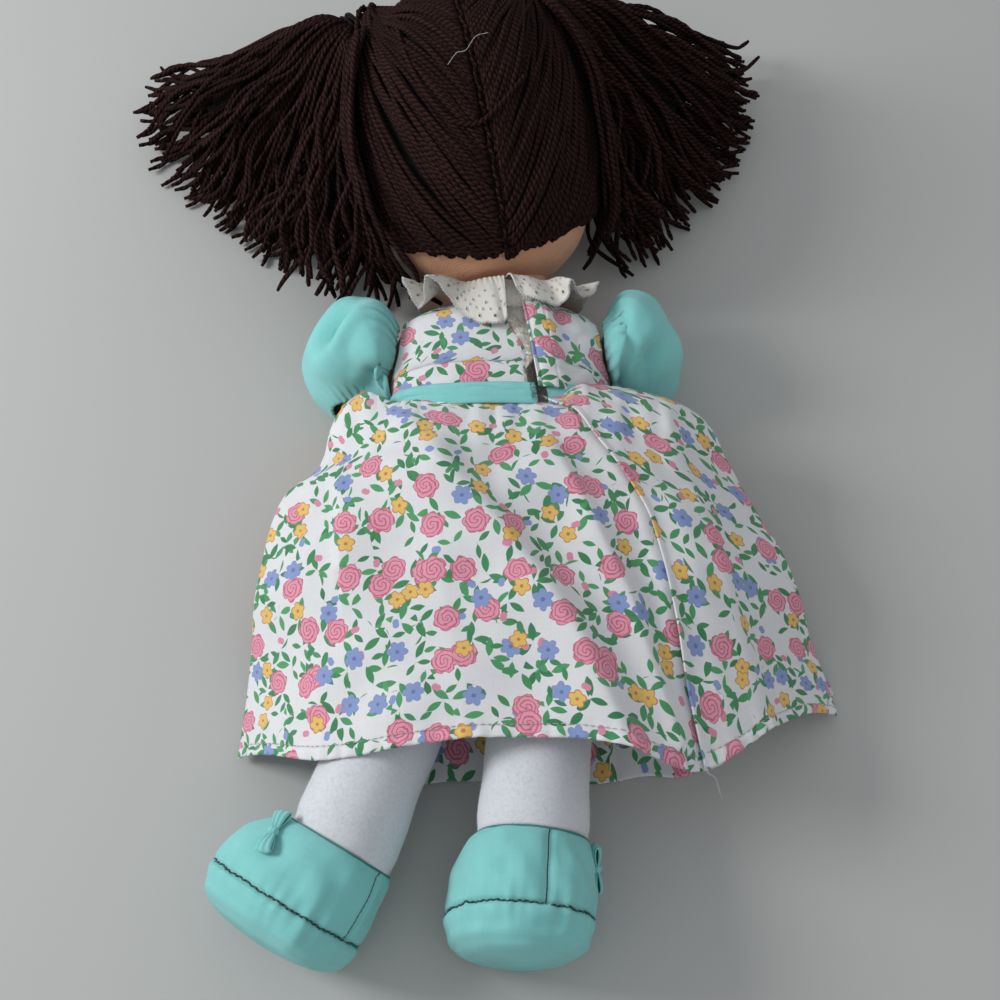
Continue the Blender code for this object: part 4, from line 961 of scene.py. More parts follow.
neck_grid = make_neck()
print("neck height in mm:", ((neck_grid[-1, :, 1] - neck_grid[0, :, 1]) * 1000).round(0)[::18])

# %% [markdown]
# ## Arms
# The arms lie in the sleeves and under the skirt. They are plain stuffed tubes with a mitten hand, made by
# sweeping a round section along the arm's path.


# %% Arms
ARM_SHARES = [
    (-0.100, 0.18),
    (-0.085, 0.52),
    (-0.045, 0.86),
    (0.00, 1.00),
    (0.15, 0.99),
    (0.34, 0.97),
    (0.50, 0.95),
    (0.70, 0.84),
    (0.78, 0.80),
    (0.88, 0.98),
    (0.95, 0.88),
    (0.985, 0.58),
    (1.00, 0.20),
]
ARM_LENGTH, ARM_RADIUS, ARM_REST_Z = 0.108, 0.0118, 0.0112
SHOULDER_Y, SHOULDER_OUT, ARM_SWING_OUT = 0.0695, 0.0525, 0.0235


def arm_path(along):
    """Out from the shoulder with a sine, down to the floor by 42% of the way, and on towards the feet."""
    swing = np.sin(np.clip(along, 0.0, 1.0) * np.pi / 2.0) ** 1.1
    lift = np.clip(1.0 - along / 0.42, 0.0, 1.0) ** 1.5
    z = ARM_REST_Z + (BODY_MID_Z - ARM_REST_Z) * lift
    return np.stack([SHOULDER_OUT + ARM_SWING_OUT * swing, SHOULDER_Y - ARM_LENGTH * along, z], axis=-1)


def arm_line(along):
    """The arm's own middle: up to 4 mm nearer the body than the path, as the sleeve and skirt press on it."""
    return arm_path(along) - np.array([0.0042, 0.0, 0.0]) * np.sin(np.pi * np.clip(along, 0.0, 1.0))[:,
                                                                                                     None]


def sweep_round(centres, radius, sides):
    """Round rings square to a path that lies nearly level."""
    heading = units(np.gradient(centres, axis=0))
    side = units(np.cross(heading, np.array([0.0, 0.0, 1.0])))
    above = np.cross(side, heading)
    angle = ring_angles(sides)
    ring = np.sin(angle)[None, :, None] * side[:, None] + np.cos(angle)[None, :, None] * above[:, None]
    return centres[:, None] + radius[:, None, None] * ring


for word, side in SIDES.items():
    along = np.linspace(-0.1, 1.0, 90)
    arm = press(sweep_round(arm_line(along), 0.92 * ARM_RADIUS * read_table(ARM_SHARES, along)[0], 40), 0.0)
    arm[..., 0] *= side
    piece = stuff("arm_skin_" + word, arm, "arm_" + word, skin_cloth, ["arm_" + word])
print("arms:", len(piece.data.polygons), "faces each")

# %% [markdown]
# ## Yarn
# Every strand of hair is a real tube with two plies wound round each other. One helper turns many paths
# into one mesh at once: the paths are an array of strands by points, and the whole section is worked out by
# broadcasting, so a thousand strands cost no loop.


# %% Many strands in one mesh
def strand_frames(paths, hint):
    """Each path's direction, and two directions square to it, from a hint that points away from the skin."""
    heading = np.gradient(paths, axis=1)
    heading /= np.linalg.norm(heading, axis=2, keepdims=True) + 1e-12
    side = np.cross(heading, hint)
    side /= np.linalg.norm(side, axis=2, keepdims=True) + 1e-12
    return heading, side, np.cross(side, heading)


def twist_strands(name, paths, radius, hint, sides=6, lobes=0.16, plies=2, turn=YARN_TURN, blunt=True):
    """Tubes whose radius is r (1 + lobes cos(plies (angle - 2 pi along / turn))), closed at both ends.

    paths: strands by points by 3. radius: one value, or strands by points. The uv holds the strand's number
    plus the share round it, and the metres along it."""
    count, steps, _ = paths.shape
    _, side, above = strand_frames(paths, hint)
    gaps = np.linalg.norm(np.diff(paths, axis=1), axis=2)
    along = np.concatenate([np.zeros((count, 1)), np.cumsum(gaps, axis=1)], axis=1)
    along += np.random.default_rng(count + steps).uniform(0.0, turn, (count, 1))
    share = np.arange(sides) / sides
    angle = 2.0 * np.pi * share
    wind = plies * (angle[None, None] - 2.0 * np.pi * along[..., None] / turn)
    swell = np.broadcast_to(radius, (count, steps))[..., None] * (1.0 + lobes * np.cos(wind))
    ring = np.cos(angle)[None, None, :, None] * side[:, :, None] + np.sin(angle)[None, None, :,
                                                                                 None] * above[:, :, None]
    points = (paths[:, :, None] + swell[..., None] * ring).reshape(-1, 3)
    index = np.arange(count * steps * sides).reshape(count, steps, sides)
    nxt = np.roll(index, -1, axis=2)
    quads = np.stack([index[:, :-1], nxt[:, :-1], nxt[:, 1:], index[:, 1:]], axis=-1).reshape(-1, 4)
    first = index[:, 0, ::-1].reshape(-1, sides)
    last = index[:, -1].reshape(-1, sides)
    u0 = np.arange(count)[:, None, None] + share[None, None] * 0.999
    u1 = u0 + 0.999 / sides
    grid_u0 = np.broadcast_to(u0, (count, steps - 1, sides))
    grid_u1 = np.broadcast_to(u1, (count, steps - 1, sides))
    v0 = np.broadcast_to(along[:, :-1, None], grid_u0.shape)
    v1 = np.broadcast_to(along[:, 1:, None], grid_u0.shape)
    uv = np.stack([grid_u0, v0, grid_u1, v0, grid_u1, v1, grid_u0, v1], axis=-1).reshape(-1)
    cap_u = np.broadcast_to(np.arange(count)[:, None] + 0.5 * share[None], (count, sides))
    caps = [np.stack([cap_u, np.broadcast_to(along[:, end, None], cap_u.shape)], axis=-1) for end in (0,
                                                                                                      -1)]
    uv = np.concatenate([uv, caps[0].reshape(-1), caps[1].reshape(-1)])
    mesh = bpy.data.meshes.new(name)
    mesh.from_pydata((points + TO_CHEST).tolist(), [], quads.tolist() + first.tolist() + last.tolist())
    mesh.uv_layers.new(name="cloth").data.foreach_set("uv", uv.astype(np.float32))
    mesh.shade_smooth()
    if blunt:
        smooth = np.ones(len(mesh.polygons), bool)
        smooth[len(quads):] = False
        mesh.polygons.foreach_set("use_smooth", smooth)
    return mesh


def sew(name, paths, radius, hint, body, material, slot, replaces=(), **shape):
    """Turn paths into yarn or thread, and put it on its body as one piece."""
    mesh = face_outward(twist_strands(name, paths, radius, hint, **shape))
    return put(name, mesh, body, material, replaces)


def ripple(along, seeds, waves, size):
    """A smooth wander along each strand: the sum of three sines with random turns, of falling size."""
    local = np.random.default_rng(seeds)
    total = np.zeros(along.shape)
    for step in range(3):
        phase = local.uniform(0.0, 2.0 * np.pi, (along.shape[0], 1))
        speed = waves * (1.0 + 0.7 * step) * local.uniform(0.8, 1.25, (along.shape[0], 1))
        total += np.sin(speed * along + phase) / (1.0 + step)
    return size * total


print("strand helper ready; a wander looks like", ripple(np.linspace(0, 6, 4)[None], 1, 1.0, 1.0).round(2))

# %% [markdown]
# ## Hair cap
# The hair is lengths of yarn sewn along the parting and the hairline, and drawn together to a tie on each
# side. A painted cap would look flat, because the light shows every strand. So a thin near-black shell, which
# is painted shade of the hair under the strands, keeps the skin from showing between them, and on it lies
# one tube per strand. Each strand starts on the cap's edge and is drawn over the head to its tie: a straight
# line from start to tie, pushed out on to the head along rays from the head's middle.


# %% The cap's outline
TIE_LOCAL = np.array([0.0350, 0.0630, 0.0040])
CAP_EDGE = [
    (-0.640, 70.0),
    (-0.560, 84.0),
    (-0.420, 94.0),
    (-0.240, 100.0),
    (0.000, 106.0),
    (0.280, 114.0),
    (0.520, 128.0),
    (0.720, 148.0),
    (0.870, 166.0),
    (0.955, 176.0),
    (0.985, 180.0),
]
NAPE_TOP, NAPE_DIP = -0.640, 0.21
STRAND_RADIUS = 0.00100
STRANDS_PER_HALF = 210


def head_ray(directions, outward=0.0):
    """How far from the head's middle its surface lies along each direction."""
    far = np.full(directions.shape[:-1], 0.12)
    return bisect(lambda reach: outside_head(directions * reach[..., None], outward) > 0.0, 0.0 * far, far)


def cap_outline(count):
    """Starts of a half cap's strands in (share of height, angle): parting, nape, hairline, then the crown."""
    parting_up = np.sin(np.radians(np.linspace(88.5, -57.0, 120)))
    parting = np.stack([parting_up, 0.0 * parting_up], axis=1)
    nape_angle = np.radians(np.linspace(0.0, 70.0, 30))
    nape = np.stack([NAPE_TOP - NAPE_DIP * np.cos(nape_angle) ** 2, nape_angle], axis=1)
    edge_up = np.linspace(CAP_EDGE[0][0], CAP_EDGE[-1][0], 60)
    edge = np.stack([edge_up, np.radians(np.interp(edge_up, *np.array(CAP_EDGE).T))], axis=1)
    crown_up = np.sin(np.radians(np.linspace(80.0, 88.5, 10)))
    crown = np.stack([crown_up, 0.0 * crown_up + np.pi], axis=1)
    line = np.concatenate([parting, nape, edge, crown])
    places = head_local(line[:, 0], line[:, 1])
    reach = run_along(places)
    return read_line(line, reach, (np.arange(count) + 0.5) / count * reach[-1])


def crown_starts(count, side):
    """Starts across the flat of the crown: rays in the head's middle plane, leaned by up to 20 degrees."""
    lean = np.radians(np.linspace(-20.0, 20.0, count))
    unit = units(grid_of(0.012 * side, np.cos(lean), np.sin(lean)))
    return unit * head_ray(unit)[:, None]


CROWN_STRANDS = 14
CROWN_FIRST = STRANDS_PER_HALF - CROWN_STRANDS
outline = np.concatenate([cap_outline(CROWN_FIRST), np.tile([0.999, np.pi], (CROWN_STRANDS, 1))])
print("a half cap has", len(outline), "strands starting on its edge")


# %% Draw the strands to their ties
CAP_STEPS = 50
CAP_LIFT = 0.0034


def cap_strands(side):
    """Paths over the head: direction(s) = unit(start + (tie - start) s), reach = the head's ray plus a lift.

    The lift starts under the surface, where the yarn is sewn, and near the tie grows to reach it."""
    local = np.random.default_rng(7 + int(side > 0))
    turns = outline[:, 1] + local.normal(0.0, 0.012, len(outline))
    ups = np.minimum(outline[:, 0] + local.normal(0.0, 0.008, len(outline)), 0.9998)
    starts = head_local(ups, np.maximum(turns, 0.018) * side)
    starts[CROWN_FIRST:] = crown_starts(len(outline) - CROWN_FIRST, side)
    tie = TIE_LOCAL * [side, 1.0, 1.0]
    bunch = local.normal(0.0, 0.0021, (len(outline), 3))
    ends = tie + np.clip(bunch, -0.0042, 0.0042)
    share = np.linspace(0.0, 1.0, CAP_STEPS)[None, :, None]
    line = starts[:, None] * (1.0 - share) + ends[:, None] * share
    wander = ripple(np.broadcast_to(share[..., 0], line.shape[:2]), 31 + int(side), 5.0, 0.0007)
    fade = np.sin(np.pi * share[..., 0])
    across = units(np.cross(ends - starts, starts))
    line = line + across[:, None] * (wander * fade)[..., None]
    unit = units(line)
    surface = head_ray(unit)
    part = share[..., 0]
    stack = np.abs(local.normal(0.0, 0.0010, (len(outline), 1))) * fade
    lift = CAP_LIFT * ease(0.0, 0.035, part) - STRAND_RADIUS * (1.0 - ease(0.0, 0.02, part)) + stack
    end_reach = np.linalg.norm(ends, axis=1)[:, None]
    near = ease(0.55, 1.0, part)
    reach = (surface + lift) * (1.0 - near) + np.maximum(end_reach, surface + lift) * near
    return unit * reach[..., None], unit


for word, side in SIDES.items():
    local_paths, away = cap_strands(side)
    paths = press(head_to_doll(local_paths), STRAND_RADIUS * 1.2)
    piece = sew("hair_strands_" + word, paths, STRAND_RADIUS, away @ HEAD_TURN.T, "head", hair_yarn,
                "hair_yarn",
                ["hair_cap_" + word], sides=7)
print("cap strands:", len(piece.data.vertices), "points in each half")


# %% The shell of painted shade under the strands
SHELL_OUT, SHELL_THICK = 0.0009, 0.0012


def cap_shell(side, rows=70, columns=60):
    """The cap's ground: rows up the head, from the parting round to the hairline, dipping over the nape."""
    up = np.linspace(CAP_EDGE[0][0], CAP_EDGE[-1][0], rows)
    up = np.concatenate([up, np.sin(np.radians(np.linspace(82.0, 88.8, 6)))])
    edge = np.radians(np.interp(up, *np.array(CAP_EDGE).T))
    dip = np.interp(up, [-0.64, -0.56, -0.42, -0.24, 0.0], [1.0, 0.8, 0.5, 0.2, 0.0])
    turn = np.linspace(0.0, 1.0, columns)[None] * edge[:, None]
    height = up[:, None] - NAPE_DIP * dip[:, None] * np.cos(np.clip(turn, 0.0, np.pi / 2.0)) ** 2
    both = np.stack([head_local(height, turn * side, out) for out in (SHELL_OUT, SHELL_OUT + SHELL_THICK)])
    over_crown = both[:, -1:] * np.array([0.0, 1.0, 1.0])
    return press(head_to_doll(np.concatenate([both, over_crown], axis=1)), 0.0006)


def closed_slab(name, inner, outer):
    """Two grids of points joined round their border into one closed body."""
    rows, cols, _ = inner.shape
    index = np.arange(rows * cols).reshape(rows, cols)
    top = stack_quads(index + rows * cols)
    bottom = stack_quads(index)[:, ::-1]
    border = np.concatenate([index[0, :-1], index[:-1, -1], index[-1, :0:-1], index[:0:-1, 0]])
    after = np.roll(border, -1)
    wall = np.stack([border, after, after + rows * cols, border + rows * cols], axis=-1)
    mesh = bpy.data.meshes.new(name)
    verts = np.concatenate([inner.reshape(-1, 3), outer.reshape(-1, 3)]) + TO_CHEST
    mesh.from_pydata(verts.tolist(), [], top.tolist() + bottom.tolist() + wall.tolist())
    mesh.shade_smooth()
    return face_outward(mesh)


# The ground's near-black, darker than the strands, is painted shade between and under them.
hair_shade_ground = woven("hair ground", (0.0040, 0.0018, 0.0018, 1.0), kind="Object", mottle=0.3, sheen=0.0)
for word, side in SIDES.items():
    inner, outer = cap_shell(side)
    shell = put("hair_shade_ground_" + word, closed_slab("hair_shade_ground_" + word, inner, outer), "head",
                hair_shade_ground,
                ["hair_cap_" + word])
print("cap ground:", len(shell.data.polygons), "faces in each half")


# %% The stitched parting and the loops at the nape
def parting_path():
    """A line up the back of the head from the nape, over the crown, and down to the hairline at the front."""
    up = np.sin(np.radians(np.linspace(-59.0, 88.6, 400)))
    down = np.sin(np.radians(np.linspace(88.6, 74.0, 40)))
    return np.concatenate([head_local(up, 0.0 * up), head_local(down, 0.0 * down + np.pi)])


STITCH_PITCH = 0.0030


def stitched_parting():
    """Back stitches along the parting: short cords that dip at both ends, each a half sine in height."""
    line = parting_path()
    reach = run_along(line)
    stitches = int(reach[-1] / STITCH_PITCH)
    share = np.linspace(0.0, 1.0, 9)[None]
    places = (np.arange(stitches)[:, None] + 0.08 + 0.84 * share) / stitches * reach[-1]
    at = read_line(line, reach, places)
    unit = units(at)
    at[..., 0] += 0.0004 * np.sin(700.0 * places)
    return at + unit * (0.0024 + 0.0011 * np.sin(np.pi * share))[..., None]


stitch_paths = stitched_parting()
stitch_hint = head_to_doll(stitch_paths * 1.1) - head_to_doll(stitch_paths)
sew("parting_stitches", head_to_doll(stitch_paths), 0.00085, stitch_hint, "head", hair_yarn, "hair_yarn",
    ["parting_tape"], sides=7, lobes=0.12)


def nape_loops(side, count):
    """Small bights of yarn that hang from the hairline at the nape: half ovals lying on the skin."""
    local = np.random.default_rng(50 + int(side > 0))
    share = np.linspace(0.0, np.pi, 16)[None]
    middle = np.radians(np.linspace(3.0, 66.0, count))[:, None] + local.normal(0.0, 0.01, (count, 1))
    half = local.uniform(0.030, 0.055, (count, 1))
    turn = middle + half * np.cos(share) + local.normal(0.0, 0.02, (count, 1)) * np.sin(share)
    drop = local.uniform(0.012, 0.060, (count, 1)) * np.sin(share)
    up = NAPE_TOP - NAPE_DIP * np.cos(turn) ** 2 - drop + 0.02
    lift = 0.0012 + 0.0016 * np.cos(share) ** 2 + 0.0 * up
    return head_local(up, turn * side, lift)


loop_paths = np.concatenate([nape_loops(-1.0, 24), nape_loops(1.0, 24)])
loop_hint = head_to_doll(loop_paths * 1.1) - head_to_doll(loop_paths)
sew("nape_loops", head_to_doll(loop_paths), 0.00105, loop_hint, "head", hair_yarn, "hair_yarn", sides=7)
print("stitches:", len(stitch_paths), "nape loops:", len(loop_paths))

# %% [markdown]
# ## Pigtails
# Each pigtail is a bunch of about 220 lengths of yarn, tied at its root and cut off blunt. It opens like a
# fan and settles on the table. A table gives the fan's spread, height and thickness along its reach. Every
# strand keeps its own place across and through the bunch, and strands wander in clumps, as yarn that has
# been handled does.


# %% The fan's formula
FAN_SHARES = [
    (0.00, 0.46, 1.000, 0.20),
    (0.05, 0.46, 1.000, 0.24),
    (0.11, 0.70, 0.985, 0.56),
    (0.24, 0.78, 0.900, 0.92),
    (0.45, 0.86, 0.680, 1.12),
    (0.70, 0.96, 0.430, 1.12),
    (0.88, 1.00, 0.245, 0.94),
    (1.00, 0.98, 0.140, 0.82),
]
FAN_START, FAN_REACH, FAN_HALF_THICK = 0.0050, 0.112, 0.0160
PIGTAILS = {"left": (-1.0, 219.0, 53.0), "right": (1.0, -26.0, 43.0)}
FAN_STEPS, FAN_STRANDS = 62, 220
GOLDEN = 0.6180339887
# the strands over the head: first and last heading in degrees, and how far they reach
OVER_TURNS = {"left": (250.0, 288.0), "right": (-54.0, -84.0)}
OVER_REACH = {"left": 0.108, "right": 0.100}
# how far the strands reach by their place across the bunch: place across, and share of the full reach
REACH_SHARES = {
    "left": [(-1.0, 0.97), (-0.5, 0.93), (-0.25, 0.84), (0.60, 0.81), (0.85, 0.87), (1.0, 0.94)],
    "right": [(-1.0, 0.97), (-0.6, 0.93), (0.3, 0.915), (1.0, 0.95)],
}


def fan_point(place, middle_deg, half_deg, reach, across, through, shares):
    """A point of the bunch: radius along the reach, turned by its place across, raised by that through."""
    opening, height, thick = read_table(FAN_SHARES, np.clip(reach, 0.0, 1.0))
    radius = FAN_START + (FAN_REACH - FAN_START) * reach * read_table(shares, across)[0]
    turn = np.radians(middle_deg + half_deg * opening * across)
    x = place[0] + radius * np.cos(turn)
    y = place[1] + radius * np.sin(turn)
    z = place[2] * height + FAN_HALF_THICK * thick * through
    return grid_of(x, y, z)


def fan_places(count, seed):
    """Even places in a rounded square section, in order across it: share across and share through."""
    across = 2.0 * ((np.arange(count * 2) + 0.5) / (count * 2)) - 1.0
    through = 2.0 * ((np.arange(count * 2) * GOLDEN) % 1.0) - 1.0
    inside = np.abs(across) ** 2.5 + np.abs(through) ** 2.5 < 1.0
    local = np.random.default_rng(seed)
    picked = np.flatnonzero(inside)
    picked = picked[np.sort(local.permutation(len(picked))[:count])]
    return across[picked] * 0.97, through[picked] * 0.93, local


def clear_head(paths, outward):
    """Lift points that lie inside the dressed head on to it, along rays from the head's middle."""
    local = doll_to_head(paths)
    length = np.linalg.norm(local, axis=-1, keepdims=True)
    surface = head_ray(local / length)[..., None] + outward
    return head_to_doll(np.where(length < surface, local / length * surface, local))


def pigtail_paths(word):
    """Paths of a pigtail's strands, with clumped wander that grows along the reach, and uneven ends."""
    side, middle_deg, half_deg = PIGTAILS[word]
    place = head_to_doll(TIE_LOCAL * [side, 1.0, 1.0])
    across, through, local = fan_places(FAN_STRANDS, 90 + int(side > 0))
    count = len(across)
    end = 1.0 + np.clip(local.normal(-0.02, 0.070, (count, 1)), -0.22, 0.07)
    reach = np.linspace(0.0, 1.0, FAN_STEPS)[None] * end
    wide = reach + 0.0 * across[:, None]
    clump = np.cumsum(local.uniform(size=count) < 0.22)[:, None]
    clump_wave = ripple(wide, 11, 4.0, 1.0)[clump[:, 0]]
    growth = ease(0.04, 0.6, reach)
    stray = local.normal(0.0, 0.100, (count, 1)) * ease(0.2, 1.1, reach)
    spread = across[:, None] + growth * (0.055 * clump_wave + 0.040 * ripple(wide, 12, 7.0, 1.0)) + stray
    clump_lift = ripple(wide, 14, 3.0, 1.0)[clump[:, 0]]
    lifted = through[:, None] + growth * (0.16 * ripple(wide, 13, 6.0, 1.0) + 0.16 * clump_lift)
    paths = fan_point(place, middle_deg, half_deg, reach, spread, lifted, REACH_SHARES[word])
    return press(paths, STRAND_RADIUS * 1.2 + SEAT)


def over_paths(word, count):
    """Strands of the same bunch that fall down over the side of the head and hang past the nape."""
    side, middle_deg, _ = PIGTAILS[word]
    place = head_to_doll(TIE_LOCAL * [side, 1.0, 1.0])
    local = np.random.default_rng(120 + int(side > 0))
    first, last = OVER_TURNS[word]
    order = (np.arange(count) + 0.5) / count
    turn_deg = first + (last - first) * order + np.clip(local.normal(0.0, 3.0, count), -4.0, 4.0)
    layer = (np.arange(count) * GOLDEN % 1.0)[:, None]
    far = OVER_REACH[word] * (1.0 + np.clip(local.normal(0.0, 0.05, (count, 1)), -0.12, 0.10))
    order = order[:, None]
    far = far * (1.0 - 0.22 * ease(0.45, 1.0, order)) * (0.88 + 0.12 * ease(0.0, 0.4, order))
    layer = layer * (1.0 - 0.85 * ease(0.70, 1.0, order))
    share = np.linspace(0.0, 1.0, FAN_STEPS)[None]
    clump = np.cumsum(local.uniform(size=count) < 0.25)
    wide = share + 0.0 * order
    bent = 6.0 * ripple(wide, 15, 4.0, 1.0)[clump] + 3.5 * ripple(wide, 16, 7.0, 1.0)
    bend_deg = ease(0.1, 0.9, share) * bent
    turn = np.radians(turn_deg[:, None] + bend_deg)
    radius = FAN_START * 0.9 + far * share
    x, y = place[0] + radius * np.cos(turn), place[1] + radius * np.sin(turn)
    drop = place[2] * (1.0 - 0.62 * share**1.5)
    rise = (0.003 + 0.016 * layer) * ease(0.02, 0.25, share) + 0.0012 * ripple(wide, 17, 7.0, 1.0)
    paths = np.stack([x, y, drop + rise], axis=-1)
    paths = clear_head(paths, 0.0062 + 0.0075 * layer[..., None] * ease(0.0, 0.2, share)[..., None])
    return press(paths, 0.012)


def flare(paths, radius, length=0.0030, gain=-0.25):
    """A cut end untwists and thins: the radius changes over the last millimetres."""
    gaps = np.linalg.norm(np.diff(paths, axis=1), axis=2)
    left = np.concatenate([np.cumsum(gaps[:, ::-1], axis=1)[:, ::-1], np.zeros((len(paths), 1))], axis=1)
    return radius * (1.0 + gain * ease(0.0, 1.0, 1.0 - left / length))


for word in PIGTAILS:
    paths = pigtail_paths(word)
    up_hint = np.broadcast_to([0.0, 0.0, 1.0], paths.shape)
    slots = ("pigtail_" + word, hair_yarn, "hair_yarn", ["pigtail_" + word])
    piece = sew("pigtail_yarn_" + word, paths, flare(paths, STRAND_RADIUS), up_hint, *slots)
    print(piece.name, len(paths), "strands,", len(piece.data.vertices), "points")
    paths = over_paths(word, {"left": 120, "right": 64}[word])
    hint = paths - head_to_doll(np.zeros(3))
    sew("pigtail_over_" + word, paths, flare(paths, STRAND_RADIUS), hint, *slots)


# %% The dark middle of each bunch
def fan_core(word):
    """A closed fan inside the bunch, at half of its section, so that no light comes through its roots.
    Its near-black is painted shade of the yarn deep in the bunch.
    """
    side, middle_deg, half_deg = PIGTAILS[word]
    place = head_to_doll(TIE_LOCAL * [side, 1.0, 1.0])
    across, up = super_round(ring_angles(40), 2.5)
    reach = np.linspace(0.0, 0.72, 40)[:, None]
    through = 0.30 * up * (1.0 - ease(0.5, 1.0, reach) * 0.6)
    grid = fan_point(place, middle_deg, half_deg, reach, 0.66 * across, through, REACH_SHARES[word])
    return press(grid, SEAT)


for word in PIGTAILS:
    mesh = face_outward(mesh_from_grid("pigtail_core_" + word, fan_core(word), wrap=True, ends=True))
    put("pigtail_core_" + word, mesh, "pigtail_" + word, hair_shade_ground, ["pigtail_" + word])
print("pigtail cores:", len(mesh.polygons), "faces each")


# %% Ties and stray strands
TIE_STEP, TIE_RADIUS, TIE_CORD = 0.0090, 0.0066, 0.00085


def tie_helix(word, turns=4.0):
    """A cord wound round the root: a helix about the pigtail's heading, with its ends tucked in."""
    side, middle_deg, _ = PIGTAILS[word]
    place = head_to_doll(TIE_LOCAL * [side, 1.0, 1.0])
    share = np.linspace(0.0, 1.0, 160)
    turn = 2.0 * np.pi * turns * share
    ahead = TIE_STEP + 0.0052 * (share - 0.5) + 0.0009 * np.sin(turn * 0.5)
    radius = TIE_RADIUS * (0.92 + 0.06 * np.sin(1.7 * turn)) * (0.55 + 0.45 * np.sin(np.pi * share) ** 0.25)
    heading = np.array([np.cos(np.radians(middle_deg)), np.sin(np.radians(middle_deg)), 0.0])
    sideways = np.array([-heading[1], heading[0], 0.0])
    ring = np.cos(turn)[:, None] * sideways + 0.86 * np.sin(turn)[:, None] * np.array([0.0, 0.0, 1.0])
    return (place + ahead[:, None] * heading + radius[:, None] * ring)[None], heading


for word in PIGTAILS:
    path, heading = tie_helix(word)
    hint = np.broadcast_to(heading, path.shape)
    sew("hair_tie_cord_" + word, path, TIE_CORD, hint, "head", tie_cord, "hair_cord", ["hair_tie_" + word],
        sides=10, lobes=0.10, plies=3, turn=0.003)
print("tie cords:", len(path[0]), "points along each")


# %% A loose strand and a bit of lint
def on_cap(points_mm, lift, steps):
    """A smooth curve through places over the head, dropped on to the dressed head along its rays."""
    unit = units(doll_to_head(curve_through(points_mm, steps)))
    return head_to_doll(unit * (head_ray(unit)[..., None] + lift))


LOOSE_STRAND = [(-35, 183, 84), (-31, 165, 88), (-25, 152, 89), (-18, 144, 89), (-9, 142, 90), (0, 150, 92),
                (8, 162, 92)]
LINT = [(-19, 163, 92), (-16, 167, 92), (-13, 168, 92), (-10, 173, 92), (-6, 175, 92)]
for name, points, lift, radius, material in (
    ("loose_strand", LOOSE_STRAND, 0.0052, STRAND_RADIUS, hair_yarn),
    ("lint", LINT, 0.0058, 0.00014, white_thread),
):
    path = on_cap(points, lift, 120)
    sew(name, path, radius, path - head_to_doll(np.zeros(3)), "head", material, "hair_yarn")
print("loose strand:", path.shape[1], "points")

# %% [markdown]
# ## Cloth that folds
# The dress is thin cotton, so it shows what it lies on and how it was gathered. Each cloth piece starts
# from the smooth drape that the plain model has, on a much finer grid. Folds are then added as ridges
# along lines that run over the cloth, gathers as ripples that die away from their seam, and creases as a
# sum of a few sines that run in random directions. All three push the grid along its own normals.


# %% Folds, gathers and creases
def grid_normals(points):
    """Each grid point's normal: the cross product of the differences to its neighbours."""
    normal = np.cross(np.gradient(points, axis=1), np.gradient(points, axis=0))
    return normal / (np.linalg.norm(normal, axis=2, keepdims=True) + 1e-12)


def creases(flat, seed, spacing, size, count=9):
    """A sum of sines over the flat cloth, in random directions, with spacings around the given one."""
    local = np.random.default_rng(seed)
    total = np.zeros(flat.shape[:2])
    for _ in range(count):
        heading = local.uniform(0.0, 2.0 * np.pi)
        speed = 2.0 * np.pi / (spacing * local.uniform(0.6, 1.7))
        along = flat[..., 0] * np.cos(heading) + flat[..., 1] * np.sin(heading)
        bend = 0.6 * np.sin(speed * 0.31
                            * (flat[..., 1] * np.cos(heading) - flat[..., 0] * np.sin(heading)))
        total += np.sin(speed * along + bend + local.uniform(0.0, 6.28))
    return size * total / np.sqrt(count)


def ridge(across, width, lean=0.0):
    """A fold's height over the distance from its line: exp(-|d / w| ** 1.5), with w wider on one side."""
    side = width * (1.0 + lean * np.tanh(3.0 * across / width))
    return np.exp(-(np.sqrt(across**2 + 2.5e-7) / side) ** 1.5)


def line_distance(place, line):
    """How far points of a plane lie from a broken line, positive on its left, and the share run along it."""
    line = np.asarray(line)
    best, signed = np.full(place.shape[:2], 9.0), np.zeros(place.shape[:2])
    run = np.zeros(place.shape[:2])
    lengths = np.linalg.norm(np.diff(line, axis=0), axis=1)
    total = lengths.sum()
    for step, (start, stop) in enumerate(zip(line[:-1], line[1:])):
        heading = (stop - start) / lengths[step]
        rel = place - start
        along = np.clip(rel @ heading, 0.0, lengths[step])
        off = rel - along[..., None] * heading
        far = np.linalg.norm(off, axis=-1)
        side = np.sign(off @ np.array([-heading[1], heading[0]]))
        near = far < best
        best = np.where(near, far, best)
        signed = np.where(near, far * side, signed)
        run = np.where(near, (lengths[:step].sum() + along) / total, run)
    return signed, run


def push(points, amount):
    """Move a grid along its own normals."""
    return points + grid_normals(points) * amount[..., None]


print("a fold 5 mm off its line keeps", round(float(ridge(0.005, 0.006)), 2), "of its height")


# %% Make a cloth piece
def upward(points, core):
    """Flip a grid's columns where its normals point towards the core, so that every cloth faces out."""
    out = np.sum(grid_normals(points) * (points - np.asarray(core)))
    return points if out > 0.0 else points[:, ::-1]


def cloth(name, points, body, material, nodes, core, thickness=CLOTH, uv=None,
          shift=(0, 0),
          wrap=False):
    """A sheet over a grid: normals away from the core, uv in metres, its thickness by Solidify, and its cut.

    A sheet that wraps round has its first column again as its last one."""
    points = upward(points, core)
    flat = flat_uv(points) if uv is None else uv
    shown = points[:, :-1] if wrap else points
    mesh = mesh_from_grid(name, shown, uv=flat + np.asarray(shift, float), wrap=wrap)
    piece = put(name, mesh, body, material, nodes)
    thicken(piece, thickness, 1.0)
    declare_cloth(piece, points)
    return piece


BODY_CORE = (0.0, 0.0695, BODY_MID_Z)
print("cloth thickness in mm:", CLOTH * 1000)

